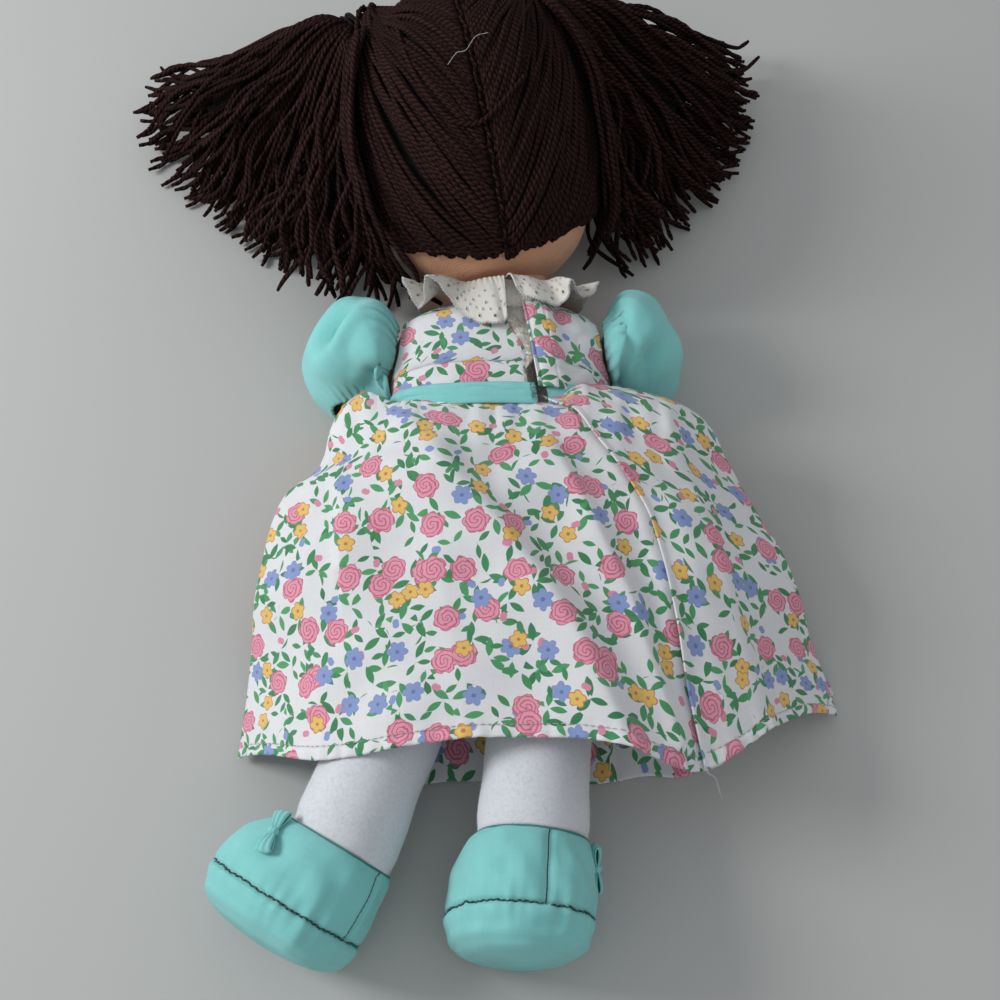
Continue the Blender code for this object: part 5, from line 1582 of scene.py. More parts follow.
# %% [markdown]
# ## Bodice
# The bodice is cut in three: a front and two backs. Each follows the stuffed body a millimetre off it. At
# the back opening the right back folds under and laps over two fuzzy fastener strips. Its folded edge
# shows, so the panel runs on round a small fold.


# %% The bodice's outline
WAIST_Y, SASH_WIDTH, BODICE_TOP_Y = 0.0350, 0.0085, 0.0858
OPENING_TOP_X, OPENING_WAIST_X = 0.0085, 0.0165
LOOP_WIDTH, HOOK_WIDTH = 0.0090, 0.0045
LAYER_STEP = 1.5 * CLOTH + SEAT
ARMHOLE_DEG, ARMHOLE_HALF = 30.0, 0.0160


def armhole(y):
    """Degrees given up for the armhole: a half circle along the side."""
    return ARMHOLE_DEG * np.sqrt(np.clip(1.0 - ((y - SHOULDER_Y) / ARMHOLE_HALF) ** 2, 0.0, 1.0))


def opening_x(y):
    """How far right the back opening lies: a straight slant from neckline to waist."""
    return OPENING_WAIST_X + (OPENING_TOP_X - OPENING_WAIST_X) * (y - WAIST_Y) / (BODICE_TOP_Y - WAIST_Y)


def back_angle(y, x, outward):
    """The angle at which the body's shell is a given distance across: arcsin((x / half) ** (n / 2))."""
    half = BODY_HALF_WIDTH * read_table(BODY_SHARES, (y - BODY_BOTTOM_Y) / BODY_LENGTH)[0] + outward
    return np.arcsin(np.clip(x / half, 0.0, 1.0) ** (BODY_SQUARENESS / 2.0))


bodice_y = np.linspace(WAIST_Y + SASH_WIDTH - 0.002, BODICE_TOP_Y, 64)[:, None]
print("opening slants", round(float(opening_x(BODICE_TOP_Y) - opening_x(WAIST_Y)) * 1000, 1),
      "mm over the bodice")


# %% Three bodice panels
def bodice_grid(first, last, columns, outward, seed, size=0.00035, power=1.0):
    """A panel between two angles, with soft creases that are strongest near the waist."""
    share = np.linspace(0.0, 1.0, columns)[None] ** power
    angle = first + (last - first) * share
    points = body_surface(bodice_y, angle, outward)
    flat = flat_uv(points)
    fade = 0.4 + 0.6 * (1.0 - ease(WAIST_Y, WAIST_Y + 0.030, bodice_y))
    fade *= ease(0.0, 0.005, bodice_y - WAIST_Y - SASH_WIDTH)
    return push(points, np.abs(creases(flat, seed, 0.014, size)) * fade * np.ones_like(share))


side_angle = np.radians(90.0 - 0.8 - armhole(bodice_y))
front_first = np.radians(90.8 + armhole(bodice_y))
front = bodice_grid(front_first, 2.0 * np.pi - front_first, 120, LOOSE, 3)
cloth("bodice_front_panel", front, "torso", calico, ["bodice_front"], BODY_CORE,
      shift=(0.3, 0.1))
LEFT_EDGE = [(0.030, 0.0155), (0.042, 0.0118), (0.050, 0.0102), (0.0585, 0.0108), (0.0640, 0.0080),
             (0.072, 0.0030),
             (0.080, -0.0010), (0.090, -0.0045)]
left_edge_x = read_table(LEFT_EDGE, bodice_y)[0]
left_edge = np.sign(left_edge_x) * back_angle(bodice_y, np.abs(left_edge_x), LOOSE)
left_back = bodice_grid(-side_angle, left_edge, 110, LOOSE, 4)
cloth("bodice_left_panel", left_back, "torso", calico, ["bodice_back_left"], BODY_CORE,
      shift=(0.7, 0.4))


def right_back_grid():
    """The right back: raised over the strips at its edge, settling on the body within a centimetre."""
    outward = LOOSE + 2.0 * LAYER_STEP
    first = back_angle(bodice_y, opening_x(bodice_y) - 0.0004, outward)
    angle = first + (side_angle - first) * np.linspace(0.0, 1.0, 90)[None] ** 1.4
    across = body_surface(bodice_y, angle, LOOSE)[..., 0] - opening_x(bodice_y)
    start = LOOP_WIDTH / 2.0 + LOOSE
    raised = outward + (LOOSE - outward) * ease(start, start + 0.008, across)
    points = body_surface(bodice_y, angle, raised)
    flat = flat_uv(points)
    stitched = -0.00035 * np.exp(-((across - 0.0062) / 0.0005) ** 2)
    edge_roll = -0.0009 * np.exp(-((across / 0.0010) ** 2))
    fade = ease(0.0, 0.005, bodice_y - WAIST_Y - SASH_WIDTH)
    points = push(points, np.abs(creases(flat, 5, 0.016, 0.0004)) * fade + stitched)
    points[..., 2] += edge_roll
    return points


right_back = right_back_grid()
cloth("bodice_right_panel", right_back, "torso", calico, ["bodice_back_right"], BODY_CORE,
      shift=(0.15, 0.8))


# %% The two fastener strips and their fuzz
def strip_grid(first, last, outward, tuck=0.0, columns=14, start=WAIST_Y + SASH_WIDTH - 0.002,
               stop=BODICE_TOP_Y + 0.002):
    """A strip between two lines beside the opening, given as distances across, with turned-up edges."""
    y = np.linspace(start, stop, 90)[:, None]
    share = np.linspace(0.0, 1.0, columns)[None]
    x = first(y) + (last(y) - first(y)) * share
    curl = 0.0003 * np.abs(2.0 * share - 1.0) ** 3 - tuck * (1.0 - ease(0.0, 0.2, share))
    return body_surface(y, np.sign(x) * back_angle(y, np.abs(x), outward), outward + curl)


def fuzz(name, roots, away, length, radius, lean, seed, body, material, slot):
    """Short bent fibres: each is a thin tube that leaves its root along the normal and curls aside."""
    local = np.random.default_rng(seed)
    count = len(roots)
    share = np.linspace(0.0, 1.0, 4)[None, :, None]
    side = np.cross(away, local.normal(size=(count, 3)))
    side /= np.linalg.norm(side, axis=1, keepdims=True) + 1e-12
    tall = length * local.uniform(0.5, 1.0, (count, 1, 1))
    paths = roots[:, None] + away[:, None] * tall * np.sin(share
                                                           * 1.4) + side[:, None] * tall * lean * share**2
    thin = radius * np.broadcast_to([1.0, 0.9, 0.7, 0.3], (count, 4))
    hint = np.broadcast_to(np.cross(away, side)[:, None], paths.shape)
    return sew(name, paths, thin, hint, body, material, slot, sides=3, lobes=0.0, blunt=False)


def scatter_on_grid(points, count, seed):
    """Random places on a grid, each with its normal."""
    local = np.random.default_rng(seed)
    normals = grid_normals(points)
    row = local.uniform(0.0, points.shape[0] - 1.001, count)
    col = local.uniform(0.0, points.shape[1] - 1.001, count)
    r, c = row.astype(int), col.astype(int)
    fr, fc = (row - r)[:, None], (col - c)[:, None]
    low = points[r, c] * (1 - fc) + points[r, c + 1] * fc
    high = points[r + 1, c] * (1 - fc) + points[r + 1, c + 1] * fc
    return low * (1 - fr) + high * fr, normals[r, c]


FUZZ_FIBRES = 1600
loop_grid = strip_grid(lambda y: read_table(LEFT_EDGE, y)[0] - 0.0012,
                       lambda y: opening_x(y) + 0.0045, LOOSE + 0.0004, 0.0011)
hook_grid = strip_grid(lambda y: opening_x(y) - 0.0044 * (1.0 - ease(0.0485, 0.0560, y)),
                       lambda y: opening_x(y) + 0.0024, LOOSE + CLOTH + 0.0003, start=WAIST_Y + 0.0006)
cloth("fastener_loop_strip", loop_grid, "torso", loop_tape, ["closure_loop_strip"], BODY_CORE,
      0.0009)
cloth("fastener_hook_strip", hook_grid, "torso", hook_tape, ["closure_hook_strip"], BODY_CORE,
      0.0009)


def facing_grid():
    """The facing that shows between the frill's two ends: from the neck's seam down on to the loop strip."""
    share, across = np.linspace(0.0, 1.0, 26)[:, None], np.linspace(0.0, 1.0, 24)[None]
    y = 0.0958 - 0.0150 * share + 0.0 * across
    x = -0.0020 - 0.0026 * share + (0.0125 + 0.0060 * share) * across
    foot_y = y * 0.0 + 0.0808
    low = body_surface(foot_y, np.sign(x) * back_angle(foot_y, np.abs(x), LOOSE), LOOSE + 0.0012)[..., 2]
    top = 0.0490 - 6.0 * x**2
    return grid_of(x, y, top + (low - top) * ease(0.0, 0.9, share) + 0.0022 * np.sin(np.pi * share))


cloth("collar_facing", facing_grid(), "torso", loop_tape, ["closure_loop_strip"], BODY_CORE,
      0.0005)
for name, grid, material, slot, seed in (
    ("loop_strip_fuzz", loop_grid, loop_tape, "loop_tape", 61),
    ("hook_strip_fuzz", hook_grid, hook_tape, "hook_tape", 62),
):
    grid = upward(grid, BODY_CORE)
    roots, away = scatter_on_grid(grid, FUZZ_FIBRES, seed)
    fuzz(name, roots + away * 0.0008, away, 0.0014, 0.00007, 1.1, seed, "torso", material, slot)
print("fastener strips with", 2 * FUZZ_FIBRES, "fibres")


# %% Sash
def sash_grid(side):
    """A folded band round the waist: puffed between its two pressed edges, with a few long creases."""
    y = np.linspace(WAIST_Y - 0.0006, WAIST_Y + SASH_WIDTH, 16)[:, None]
    first = back_angle(y, opening_x(y) + (0.0022 if side > 0 else -0.0018), LOOSE + 0.0006)
    last = side * np.radians(180.0 - 0.4)
    angle = first + (last - first) * np.linspace(0.0, 1.0, 200)[None]
    points = body_surface(y, angle, LOOSE + 0.0009)
    points[..., 1] += 0.0045 * np.abs(np.sin(angle)) ** 3
    points = upward(points, (0.0, WAIST_Y, BODY_MID_Z))
    share = (y - WAIST_Y) / SASH_WIDTH
    puff = 0.0007 * np.sqrt(np.clip(4.0 * share * (1.0 - share), 0.0, 1.0))
    flat = flat_uv(points)
    long_creases = np.abs(creases(flat * [0.35, 1.6], 9 + int(side), 0.008, 0.00035))
    return push(points, puff + long_creases)


for word, side in SIDES.items():
    cloth("sash_band_" + word, sash_grid(side), "torso", aqua_cotton, ["sash_" + word],
          (0.0, WAIST_Y, BODY_MID_Z))
print("sash bands placed")

# %% [markdown]
# ## Lace frill
# The frill is one strip of eyelet lace, gathered on to the neckline and open at the back. The gathers are
# tight at the seam and grow into wide waves at the edge. The edge is scalloped: its last rows run out
# further in the middle of every pitch of the pattern.


# %% The frill's grid
COLLAR_HALF_WIDTH, COLLAR_TOP_Y, COLLAR_SIDE_DROP = 0.0340, 0.0975, 0.0040
COLLAR_SHARES = [(0.00, 0.00, 0.10), (0.22, 0.08, 0.30), (0.50, 0.34, 0.60), (0.78, 0.70, 0.85),
                 (1.00, 1.00, 1.00)]
COLLAR_WAVES = 13
# the frill's edge over the back: turn round the neck in degrees, then across, along and up in mm
COLLAR_EDGE = [
    (14, 6.0, 87.5, 58.2),
    (20, 9.2, 83.4, 58.2),
    (28, 13.5, 81.0, 58.6),
    (38, 20.5, 79.6, 56.2),
    (47, 24.8, 80.8, 55.4),
    (54, 27.6, 84.0, 57.0),
    (60, 28.2, 89.0, 57.5),
    (66, 32.0, 86.0, 52.5),
    (74, 36.6, 86.5, 52.6),
    (82, 39.4, 91.5, 51.5),
    (92, 38.2, 94.5, 46.0),
    (104, 34.0, 94.5, 32.0),
]
COLLAR_EDGE_LEFT = [
    (256, -34.0, 94.5, 32.0),
    (268, -38.2, 95.0, 45.0),
    (277, -39.4, 94.5, 50.5),
    (284, -36.6, 88.5, 50.5),
    (291, -32.6, 82.0, 50.0),
    (297, -29.8, 83.5, 53.0),
    (303, -29.6, 90.5, 57.0),
    (310, -24.6, 88.6, 56.5),
    (317, -18.8, 82.0, 54.2),
    (325, -13.4, 75.4, 54.8),
    (333, -8.0, 71.4, 56.2),
    (344, -1.6, 69.8, 57.4),
    (355, 1.8, 70.6, 58.2),
    (366, 3.0, 73.6, 59.0),
]


def collar_edge(turn_deg):
    """The frill's edge: measured places over the back, and half an oval round the front."""
    front_x = COLLAR_HALF_WIDTH * np.sin(np.radians(turn_deg))
    front_z = BODY_MID_Z + 0.96 * BODY_HALF_DEPTH * np.cos(np.radians(turn_deg))
    back = (1.0 + np.cos(np.radians(turn_deg))) / 2.0
    front = np.stack([front_x, COLLAR_TOP_Y - COLLAR_SIDE_DROP * (1.0 - back**2), front_z], axis=-1)
    right = np.stack(read_table(COLLAR_EDGE, turn_deg), axis=-1) / 1000.0
    left = np.stack(read_table(COLLAR_EDGE_LEFT, turn_deg), axis=-1) / 1000.0
    near_right = (1.0 - ease(92.0, 128.0, turn_deg))[..., None]
    near_left = ease(232.0, 268.0, turn_deg)[..., None]
    return right * near_right + left * near_left + front * (1.0 - near_right - near_left)


def collar_grid(rows=38, columns=900):
    """The frill from its stand to its edge, with small waves that grow towards the edge."""
    turn_deg = np.linspace(14.0, 366.0, columns)
    edge = collar_edge(turn_deg)[None]
    seam_turn = np.radians(np.interp(turn_deg, [14.0, 90.0, 270.0, 366.0], [3.0, 88.0, 272.0, 360.5]))[None]
    share = np.linspace(0.0, 1.0, rows)[:, None]
    down, waving = read_table(COLLAR_SHARES, share)
    inner = np.array([NECK_HALF_WIDTH, NECK_HALF_DEPTH]) * 1.19
    back = (1.0 + np.cos(seam_turn)) / 2.0
    seam_x, seam_z = 0.0010 + inner[0] * np.sin(seam_turn), BODY_MID_Z + inner[1] * np.cos(seam_turn)
    x = seam_x + (edge[..., 0] - seam_x) * share
    y = COLLAR_TOP_Y + (edge[..., 1] - COLLAR_TOP_Y) * down
    z = seam_z + (edge[..., 2] - seam_z) * share + 0.0030 * back * np.sin(np.pi * share)
    uneven = 1.0 + 0.45 * np.sin(3.0 * seam_turn + 1.0) + 0.35 * np.sin(7.0 * seam_turn + 2.0)
    phase = COLLAR_WAVES * seam_turn + 0.9 * np.sin(2.0 * seam_turn) + 0.9 * np.sin(5.0 * seam_turn) * share
    wave = 0.0011 * waving * uneven * (1.0 + np.cos(phase))
    fade = ease(0.0, 0.10, (turn_deg - 14.0) / 352.0) * ease(0.0, 0.06, (366.0 - turn_deg) / 352.0)
    gather = 0.00050 * (1.0 - ease(0.0, 0.55, share)) * np.cos(64.0 * seam_turn)
    points = np.stack([x, y + 0.5 * wave * (1.0 - back), z + (wave * fade + gather) * back], axis=-1)
    return press(points, 0.0006)


def lace_uv(points):
    """Along the strip by its edge's length; down it by the distance to the edge, which the holes follow."""
    along = run_along(points[-1])
    fall = np.linalg.norm(np.diff(points, axis=0), axis=2)
    left = np.concatenate([np.cumsum(fall[::-1], axis=0)[::-1], np.zeros((1, points.shape[1]))], axis=0)
    return np.stack([np.broadcast_to(along, left.shape), LACE_DEPTH - left], axis=-1)


def scallop(points, uv, size=0.0011):
    """Push the last rows outward by size |cos(pi along / pitch)| ** 0.7, fading up the strip."""
    heading = units(points[-1] - points[-2])
    bulge = size * np.abs(np.cos(np.pi * uv[-1, :, 0] / LACE_PITCH)) ** 0.7
    fade = ease(0.75, 1.0, np.linspace(0.0, 1.0, len(points)))[:, None, None]
    return points + fade * bulge[None, :, None] * heading[None]


frill = upward(collar_grid(), (0.0, 0.0, BODY_MID_Z))
frill_uv = lace_uv(frill)
frill = scallop(frill, frill_uv)
cloth("lace_frill", frill, "torso", white_lace, ["lace_collar"], (0.0, 0.0, BODY_MID_Z),
      0.0006,
      uv=frill_uv)


def edge_stitches(line, normal, spacing, size, rise):
    """An overlocked edge: one long zigzag cord, size to each side of the line, over and under it."""
    reach = run_along(line)
    count = int(reach[-1] / spacing) * 6
    place = np.linspace(0.0, reach[-1], count)
    at, out = read_line(line, reach, place), read_line(normal, reach, place)
    across = np.cross(out, units(np.gradient(at, axis=0)))
    wave = 2.0 * np.pi * place / spacing
    path = at + across * (size * np.sin(wave))[:, None] + out * (rise + 0.5 * size * np.cos(wave))[:, None]
    return path[None], np.broadcast_to(out, (1,) + out.shape)


for name, row, normal_row, spacing, size, rise, radius in (
    ("frill_overlock", 1, 1, 0.0016, 0.00075, 0.0006, 0.00022),
    ("frill_edge_cord", -1, -2, 0.0011, 0.00042, 0.0003, 0.00030),
):
    path, hint = edge_stitches(frill[row], grid_normals(frill)[normal_row], spacing, size, rise)
    sew(name, path, radius, hint, "torso", white_thread, "eyelet_lace", sides=5, lobes=0.0, turn=0.0012)
frayed = np.repeat(np.arange(0, frill.shape[1], 5), 3)
fray_out = units((frill[0] - frill[3])[frayed])
fuzz("frill_fray", frill[0][frayed], fray_out, 0.0016, 0.00007, 1.3, 33, "torso", white_thread,
     "eyelet_lace")
print("frill edge in mm:", round(float(frill_uv[-1, -1, 0] - frill_uv[-1, 0, 0]) * 1000))

# %% [markdown]
# ## Puffed sleeves
# Each sleeve is a tube of aqua cotton, gathered into the armhole and again at the elastic cuff, so it
# stands away from the arm between them. The tube's rings turn about an upright line at the armpit, from
# facing the side of the body to facing the feet. Gathers ripple both ends, and soft hollows dent the puff.


# %% The sleeve's formula
SLEEVE_SHARES = [
    (0.00, 0.900, 0.600, 0.00),
    (0.10, 1.040, 0.880, 0.00),
    (0.24, 1.110, 1.030, 0.05),
    (0.42, 1.080, 1.010, 0.18),
    (0.60, 1.000, 0.910, 0.42),
    (0.78, 0.860, 0.745, 0.72),
    (0.92, 0.700, 0.590, 0.95),
    (1.00, 0.620, 0.450, 1.00),
]
SLEEVE_RADIUS = 0.0260
SLEEVE_WALL = BODY_HALF_WIDTH + LOOSE + CLOTH + 2.0 * SEAT


def shell_x(y, above):
    """How far out the dressed body's side is, at a place along it and a height over its middle."""
    outward = SLEEVE_WALL - BODY_HALF_WIDTH
    width, depth = read_table(BODY_SHARES, (y - BODY_BOTTOM_Y) / BODY_LENGTH)
    part = np.clip(np.abs(above) / (BODY_HALF_DEPTH * depth + outward), 0.0, 1.0)
    return (BODY_HALF_WIDTH * width + outward) * (1.0 - part**BODY_SQUARENESS) ** (1.0 / BODY_SQUARENESS)


def sleeve_grid(side, squeeze, seed, stretch, rows=84, columns=160):
    """Rings of radius swell at reach from the armpit line, turned from 0 to 90 degrees, with both gathers."""
    cuff = arm_path(np.array(0.225))
    round_angle = np.linspace(0.0, 2.0 * np.pi, columns + 1)[None]
    across, up = np.sin(round_angle), np.cos(round_angle)
    share = np.linspace(0.0, 1.0, rows)[:, None]
    reach, swell, drop = read_table(SLEEVE_SHARES, share)
    seam_y = np.minimum(cuff[1] + SLEEVE_RADIUS * (0.9 + 0.6 * across), SHOULDER_Y + ARMHOLE_HALF / 2.0)
    sunk = SLEEVE_WALL - shell_x(seam_y, SLEEVE_RADIUS * 0.6 * up)
    heading = np.radians(90.0 * share)
    slack = 1.0 - squeeze * np.sin(2.0 * heading)
    uneven = 1.0 + 0.4 * np.sin(3.0 * round_angle + seed) + 0.3 * np.sin(5.0 * round_angle)
    gather = 0.0011 * uneven * np.cos(26.0 * round_angle + 1.5 * np.sin(2.0 * round_angle + seed))
    pinch = 0.8 * (1.0 - ease(0.0, 0.30, share)) + 0.35 * ease(0.80, 1.0, share)
    radius = SLEEVE_RADIUS * swell + gather * pinch
    away = SLEEVE_RADIUS * reach * (1.0 + slack) / 2.0 + radius * slack * across
    x = SLEEVE_WALL + stretch[0] * away * np.sin(heading) - sunk * (1.0 - share) ** 3
    y = cuff[1] + stretch[1] * away * np.cos(heading) + 0.25 * (x - SLEEVE_WALL) * ease(0.5, 1.0, share)
    z = BODY_MID_Z + (cuff[2] - BODY_MID_Z) * drop + radius * up
    return np.stack([side * x, y, z], axis=-1)


def dent(points, place, width, depth, heading_deg):
    """A soft hollow along a line: depth exp(-(off / w)**2 - (along / 2.6 w)**2) about a place."""
    rel = points - np.asarray(place)
    heading = np.array([np.cos(np.radians(heading_deg)), np.sin(np.radians(heading_deg)), 0.0])
    along = rel @ heading
    off = rel @ np.array([-heading[1], heading[0], 0.0])
    fade = np.exp(-((along / (2.6 * width)) ** 2)) * np.exp(-((rel[..., 2] / 0.020) ** 2))
    return -depth * np.exp(-((off / width) ** 2)) * fade


SLEEVE_DENTS = {
    "left": [((-0.070, 0.0785, 0.045), 0.0058, 0.0090, 46.0),
             ((-0.0625, 0.0715, 0.045), 0.0032, -0.0024, 46.0),
             ((-0.052, 0.052, 0.045), 0.0040, 0.0056, 15.0), ((-0.062, 0.060, 0.045), 0.0050, 0.0022,
                                                              100.0)],
    "right": [((0.050, 0.073, 0.045), 0.0048, 0.0058, 110.0), ((0.062, 0.062, 0.044), 0.0034, 0.0044, 70.0),
              ((0.048, 0.052, 0.044), 0.0032, 0.0040, 60.0)],
}
# a sleeve: its squeeze, its seed, and how far it is stretched outward and along
SLEEVES = {"left": (0.0, 1.0, (1.0, 1.0)), "right": (0.12, 4.0, (0.88, 1.09))}
for word, side in SIDES.items():
    squeeze, seed, stretch = SLEEVES[word]
    core_y = arm_path(np.array(0.225))[1] + SLEEVE_RADIUS * 0.7
    core = (side * (SLEEVE_WALL + SLEEVE_RADIUS * 0.5), core_y, BODY_MID_Z)
    grid = upward(sleeve_grid(side, squeeze, seed, stretch), core)
    flat = flat_uv(grid)
    middle = np.sin(np.pi * np.linspace(0.0, 1.0, len(grid)))[:, None]
    seamless = np.sin(np.pi * np.linspace(0.0, 1.0, grid.shape[1]))[None] ** 0.5
    amount = creases(flat, 20 + int(seed), 0.026, 0.0015) * middle * seamless
    for place, width, depth, heading in SLEEVE_DENTS[word]:
        amount = amount + dent(grid, place, width, depth, heading)
    grid = press(push(grid, amount), 0.0010)
    bend = ("torso", "arm_" + word, (side * 0.046, 0.014, 0.027), (side * 0.060, -0.014, 0.024))
    cloth("sleeve_puff_" + word, grid, bend, aqua_cotton, ["sleeve_" + word], core, 0.0007,
          uv=flat, wrap=True)
print("sleeves:", grid.shape[0], "by", grid.shape[1], "points")

# %% [markdown]
# ## Skirt
# The skirt is gathered under the sash, covers the arms, and lies over the legs to the hem. Its back is two
# panels that lap at the opening, with three long folds: one sharp ridge runs from the left of the waist to
# the middle of the hem, and the others run down the right side. Each fold is a line over the cloth with its
# own height, width and lean.


# %% The skirt's outline and its folds
SKIRT_LENGTH, SKIRT_LIFT, SKIRT_EDGE_LIFT = 0.1335, 0.0545, 0.0330
# down the skirt: left edge, right edge, height at the edges, height over the middle
SKIRT_SHARES = [
    (0.000, -0.445, 0.470, 0.990, 0.955),
    (0.030, -0.482, 0.575, 1.010, 1.000),
    (0.060, -0.505, 0.630, 1.020, 1.028),
    (0.120, -0.524, 0.670, 1.000, 1.075),
    (0.165, -0.550, 0.695, 0.960, 1.080),
    (0.205, -0.612, 0.715, 0.900, 1.070),
    (0.240, -0.640, 0.730, 0.890, 1.065),
    (0.300, -0.664, 0.760, 0.870, 1.050),
    (0.450, -0.695, 0.830, 0.820, 1.020),
    (0.560, -0.712, 0.868, 0.700, 1.000),
    (0.700, -0.725, 0.910, 0.330, 0.990),
    (0.850, -0.740, 0.955, 0.120, 0.985),
    (1.000, -0.752, 0.985, 0.080, 0.985),
]
LAP_SHARES = [(0.00, 0.120), (0.06, 0.205), (0.16, 0.285), (0.33, 0.400), (0.55, 0.465), (0.84, 0.510),
              (1.00, 0.540)]
# a fold: the points of its line in mm, its height and width in mm, and its lean
SKIRT_FOLDS = [
    ([(-46, 38), (-23, 5), (-2, -20), (18, -47), (31, -69), (48, -112)], 9.5, 13.0, -0.36),
    ([(61, 40), (71, 10), (78, -12), (88, -50), (101, -96)], 6.0, 9.0, -0.40),
    ([(14, 24), (30, -8), (47, -45), (63, -100)], 5.0, 6.5, -0.35),
    ([(-70, 24), (-66, 12), (-61, -4), (-60, -30)], 3.0, 6.0, 0.60),
    ([(-84, 4), (-78, -30), (-70, -60), (-66, -95)], 1.8, 8.0, 0.20),
    ([(-28, 20), (-26, -10), (-18, -60), (-12, -100)], 1.5, 9.0, 0.0),
    ([(30, 24), (50, -2), (60, -40), (66, -100)], 1.6, 5.0, 0.30),
    ([(112, -30), (116, -60), (118, -80)], 1.6, 6.0, 0.0),
]


def skirt_y(down, x, left, right):
    """Rows bend up towards both sides of the hem, and at the waist towards both corners."""
    on_right = 0.17 * ease(0.5, 1.0, x / right)
    on_left = 0.05 * ease(0.6, 1.0, x / left)
    top = 1.0 - ease(0.0, 0.12, down)
    corner = top * (0.0075 * ease(0.66, 0.92, x / left) + 0.0075 * ease(0.022, 0.034, x))
    belly = -0.0100 * np.exp(-(((x - 0.068) / 0.027) ** 2)) - 0.0045 * np.exp(-(((x + 0.058) / 0.030) ** 2))
    fall = 1.0195 * down - down**2 * (on_right + on_left)
    return WAIST_Y + 0.0026 - SKIRT_LENGTH * fall + corner + belly * down**3


def skirt_surface(down, across, extra, seed):
    """The smooth drape plus its folds, waist gathers and creases, at shares down and across."""
    left, right, edge, middle = read_table(SKIRT_SHARES, down)
    left, right = left * SKIRT_LENGTH, right * SKIRT_LENGTH
    x = left + (right - left) * across
    part = np.clip(np.where(x < 0.0, x / left, x / right), 0.0, 1.0)
    waist_round = (1.0 - part**2.6) ** (1.0 / 2.6)
    draped = 1.0 - part**2.6
    settle = ease(0.0, 0.16, down)
    rise = waist_round * (1.0 - settle) + draped * settle
    z = SKIRT_EDGE_LIFT * edge + extra + (SKIRT_LIFT * middle - SKIRT_EDGE_LIFT * edge) * rise
    y = skirt_y(down, x, left, right)
    plane = np.stack([x, y], axis=-1)
    for line, height, width, lean in SKIRT_FOLDS:
        off, run = line_distance(plane, np.array(line) / 1000.0)
        fade = ease(0.0, 0.12, run) * (0.55 + 0.45 * ease(0.0, 0.5, run))
        z = z + height / 1000.0 * ridge(off, width / 1000.0, lean) * fade * np.clip(rise * 1.4, 0.25, 1.0)
    gather = np.cos(x / 0.00085 + 2.0 * np.sin(x / 0.006)) * np.exp(-down / 0.035)
    bunch = np.sin(x / 0.0021 + 1.3 * np.sin(x / 0.009)) * np.exp(-down / 0.10)
    z = z + (0.0005 * gather + 0.0013 * bunch * ease(0.0, 0.10, down)) * (1.0 - 0.4 * part)
    z = z + creases(plane, seed, 0.030, 0.0007) * ease(0.02, 0.2, down) * (0.4 + 0.6 * rise)
    return grid_of(x, y, z)


def lap_share(down):
    """Where the lap's edge lies as a share of the way across."""
    left, right = read_table(SKIRT_SHARES, down)[:2]
    return (read_table(LAP_SHARES, down)[0] - left) / (right - left)


print("skirt folds:", len(SKIRT_FOLDS))


# %% The skirt's hem and panels
HEM_DEPTH = 0.0042
HIP_BEND = ("torso", "hips", (0.0, -0.055, 0.0275), (0.0, -0.100, 0.0275))


def hem(points, flat):
    """A turned-up hem: the last 4 mm stand 0.5 mm proud, puckered where the stitches pull it in."""
    total = flat[-1, :, 1].mean()
    from_edge = total - flat[..., 1]
    proud = 0.0004 * (1.0 - ease(HEM_DEPTH - 0.0004, HEM_DEPTH + 0.0004, from_edge))
    stitch = -0.0004 * np.exp(-((from_edge - HEM_DEPTH) / 0.0005) ** 2)
    pucker = 0.0004 * np.sin(flat[..., 0] / 0.0011 + np.sin(flat[..., 0] / 0.004)) * np.exp(-from_edge
                                                                                            / 0.004)
    return push(points, proud + stitch + pucker)


skirt_down = (np.linspace(0.0, 1.0, 190) ** 1.05)[:, None]
lap = lap_share(skirt_down)
skirt_edges = read_table(SKIRT_SHARES, skirt_down)
skirt_width = (skirt_edges[1] - skirt_edges[0]) * SKIRT_LENGTH
BELOW = (0.0, 0.0, -1.0)
LAP_WIDTH = 0.0070
left_reach = np.linspace(0.0, 1.0, 224)[None] * (lap + LAP_WIDTH / skirt_width)
left_panel = upward(skirt_surface(skirt_down, left_reach, 0.0, 40), BELOW)
left_flat = flat_uv(left_panel)
crowded = np.linspace(0.0, 1.0, 130)[None] ** 1.25
right_reach = lap + (1.0 - lap) * crowded
far = (right_reach - lap) * skirt_width
over = (CLOTH + LOOSE) * (1.0 - ease(LAP_WIDTH * 1.4, LAP_WIDTH * 3.0, far))
over = over + 0.0009 * np.exp(-((far / 0.0016) ** 2))
right_panel = upward(skirt_surface(skirt_down, right_reach, over, 40), BELOW)
right_flat = flat_uv(right_panel)
for name, grid, flat, node, shift in (
    ("skirt_left_panel", hem(left_panel, left_flat), left_flat, "skirt_back_left", (0.55, 0.2)),
    ("skirt_right_panel", hem(right_panel, right_flat), right_flat, "skirt_back_right", (0.91, 0.63)),
):
    cloth(name, press(grid, 0.0006), HIP_BEND, calico, [node], BELOW, uv=flat, shift=shift)


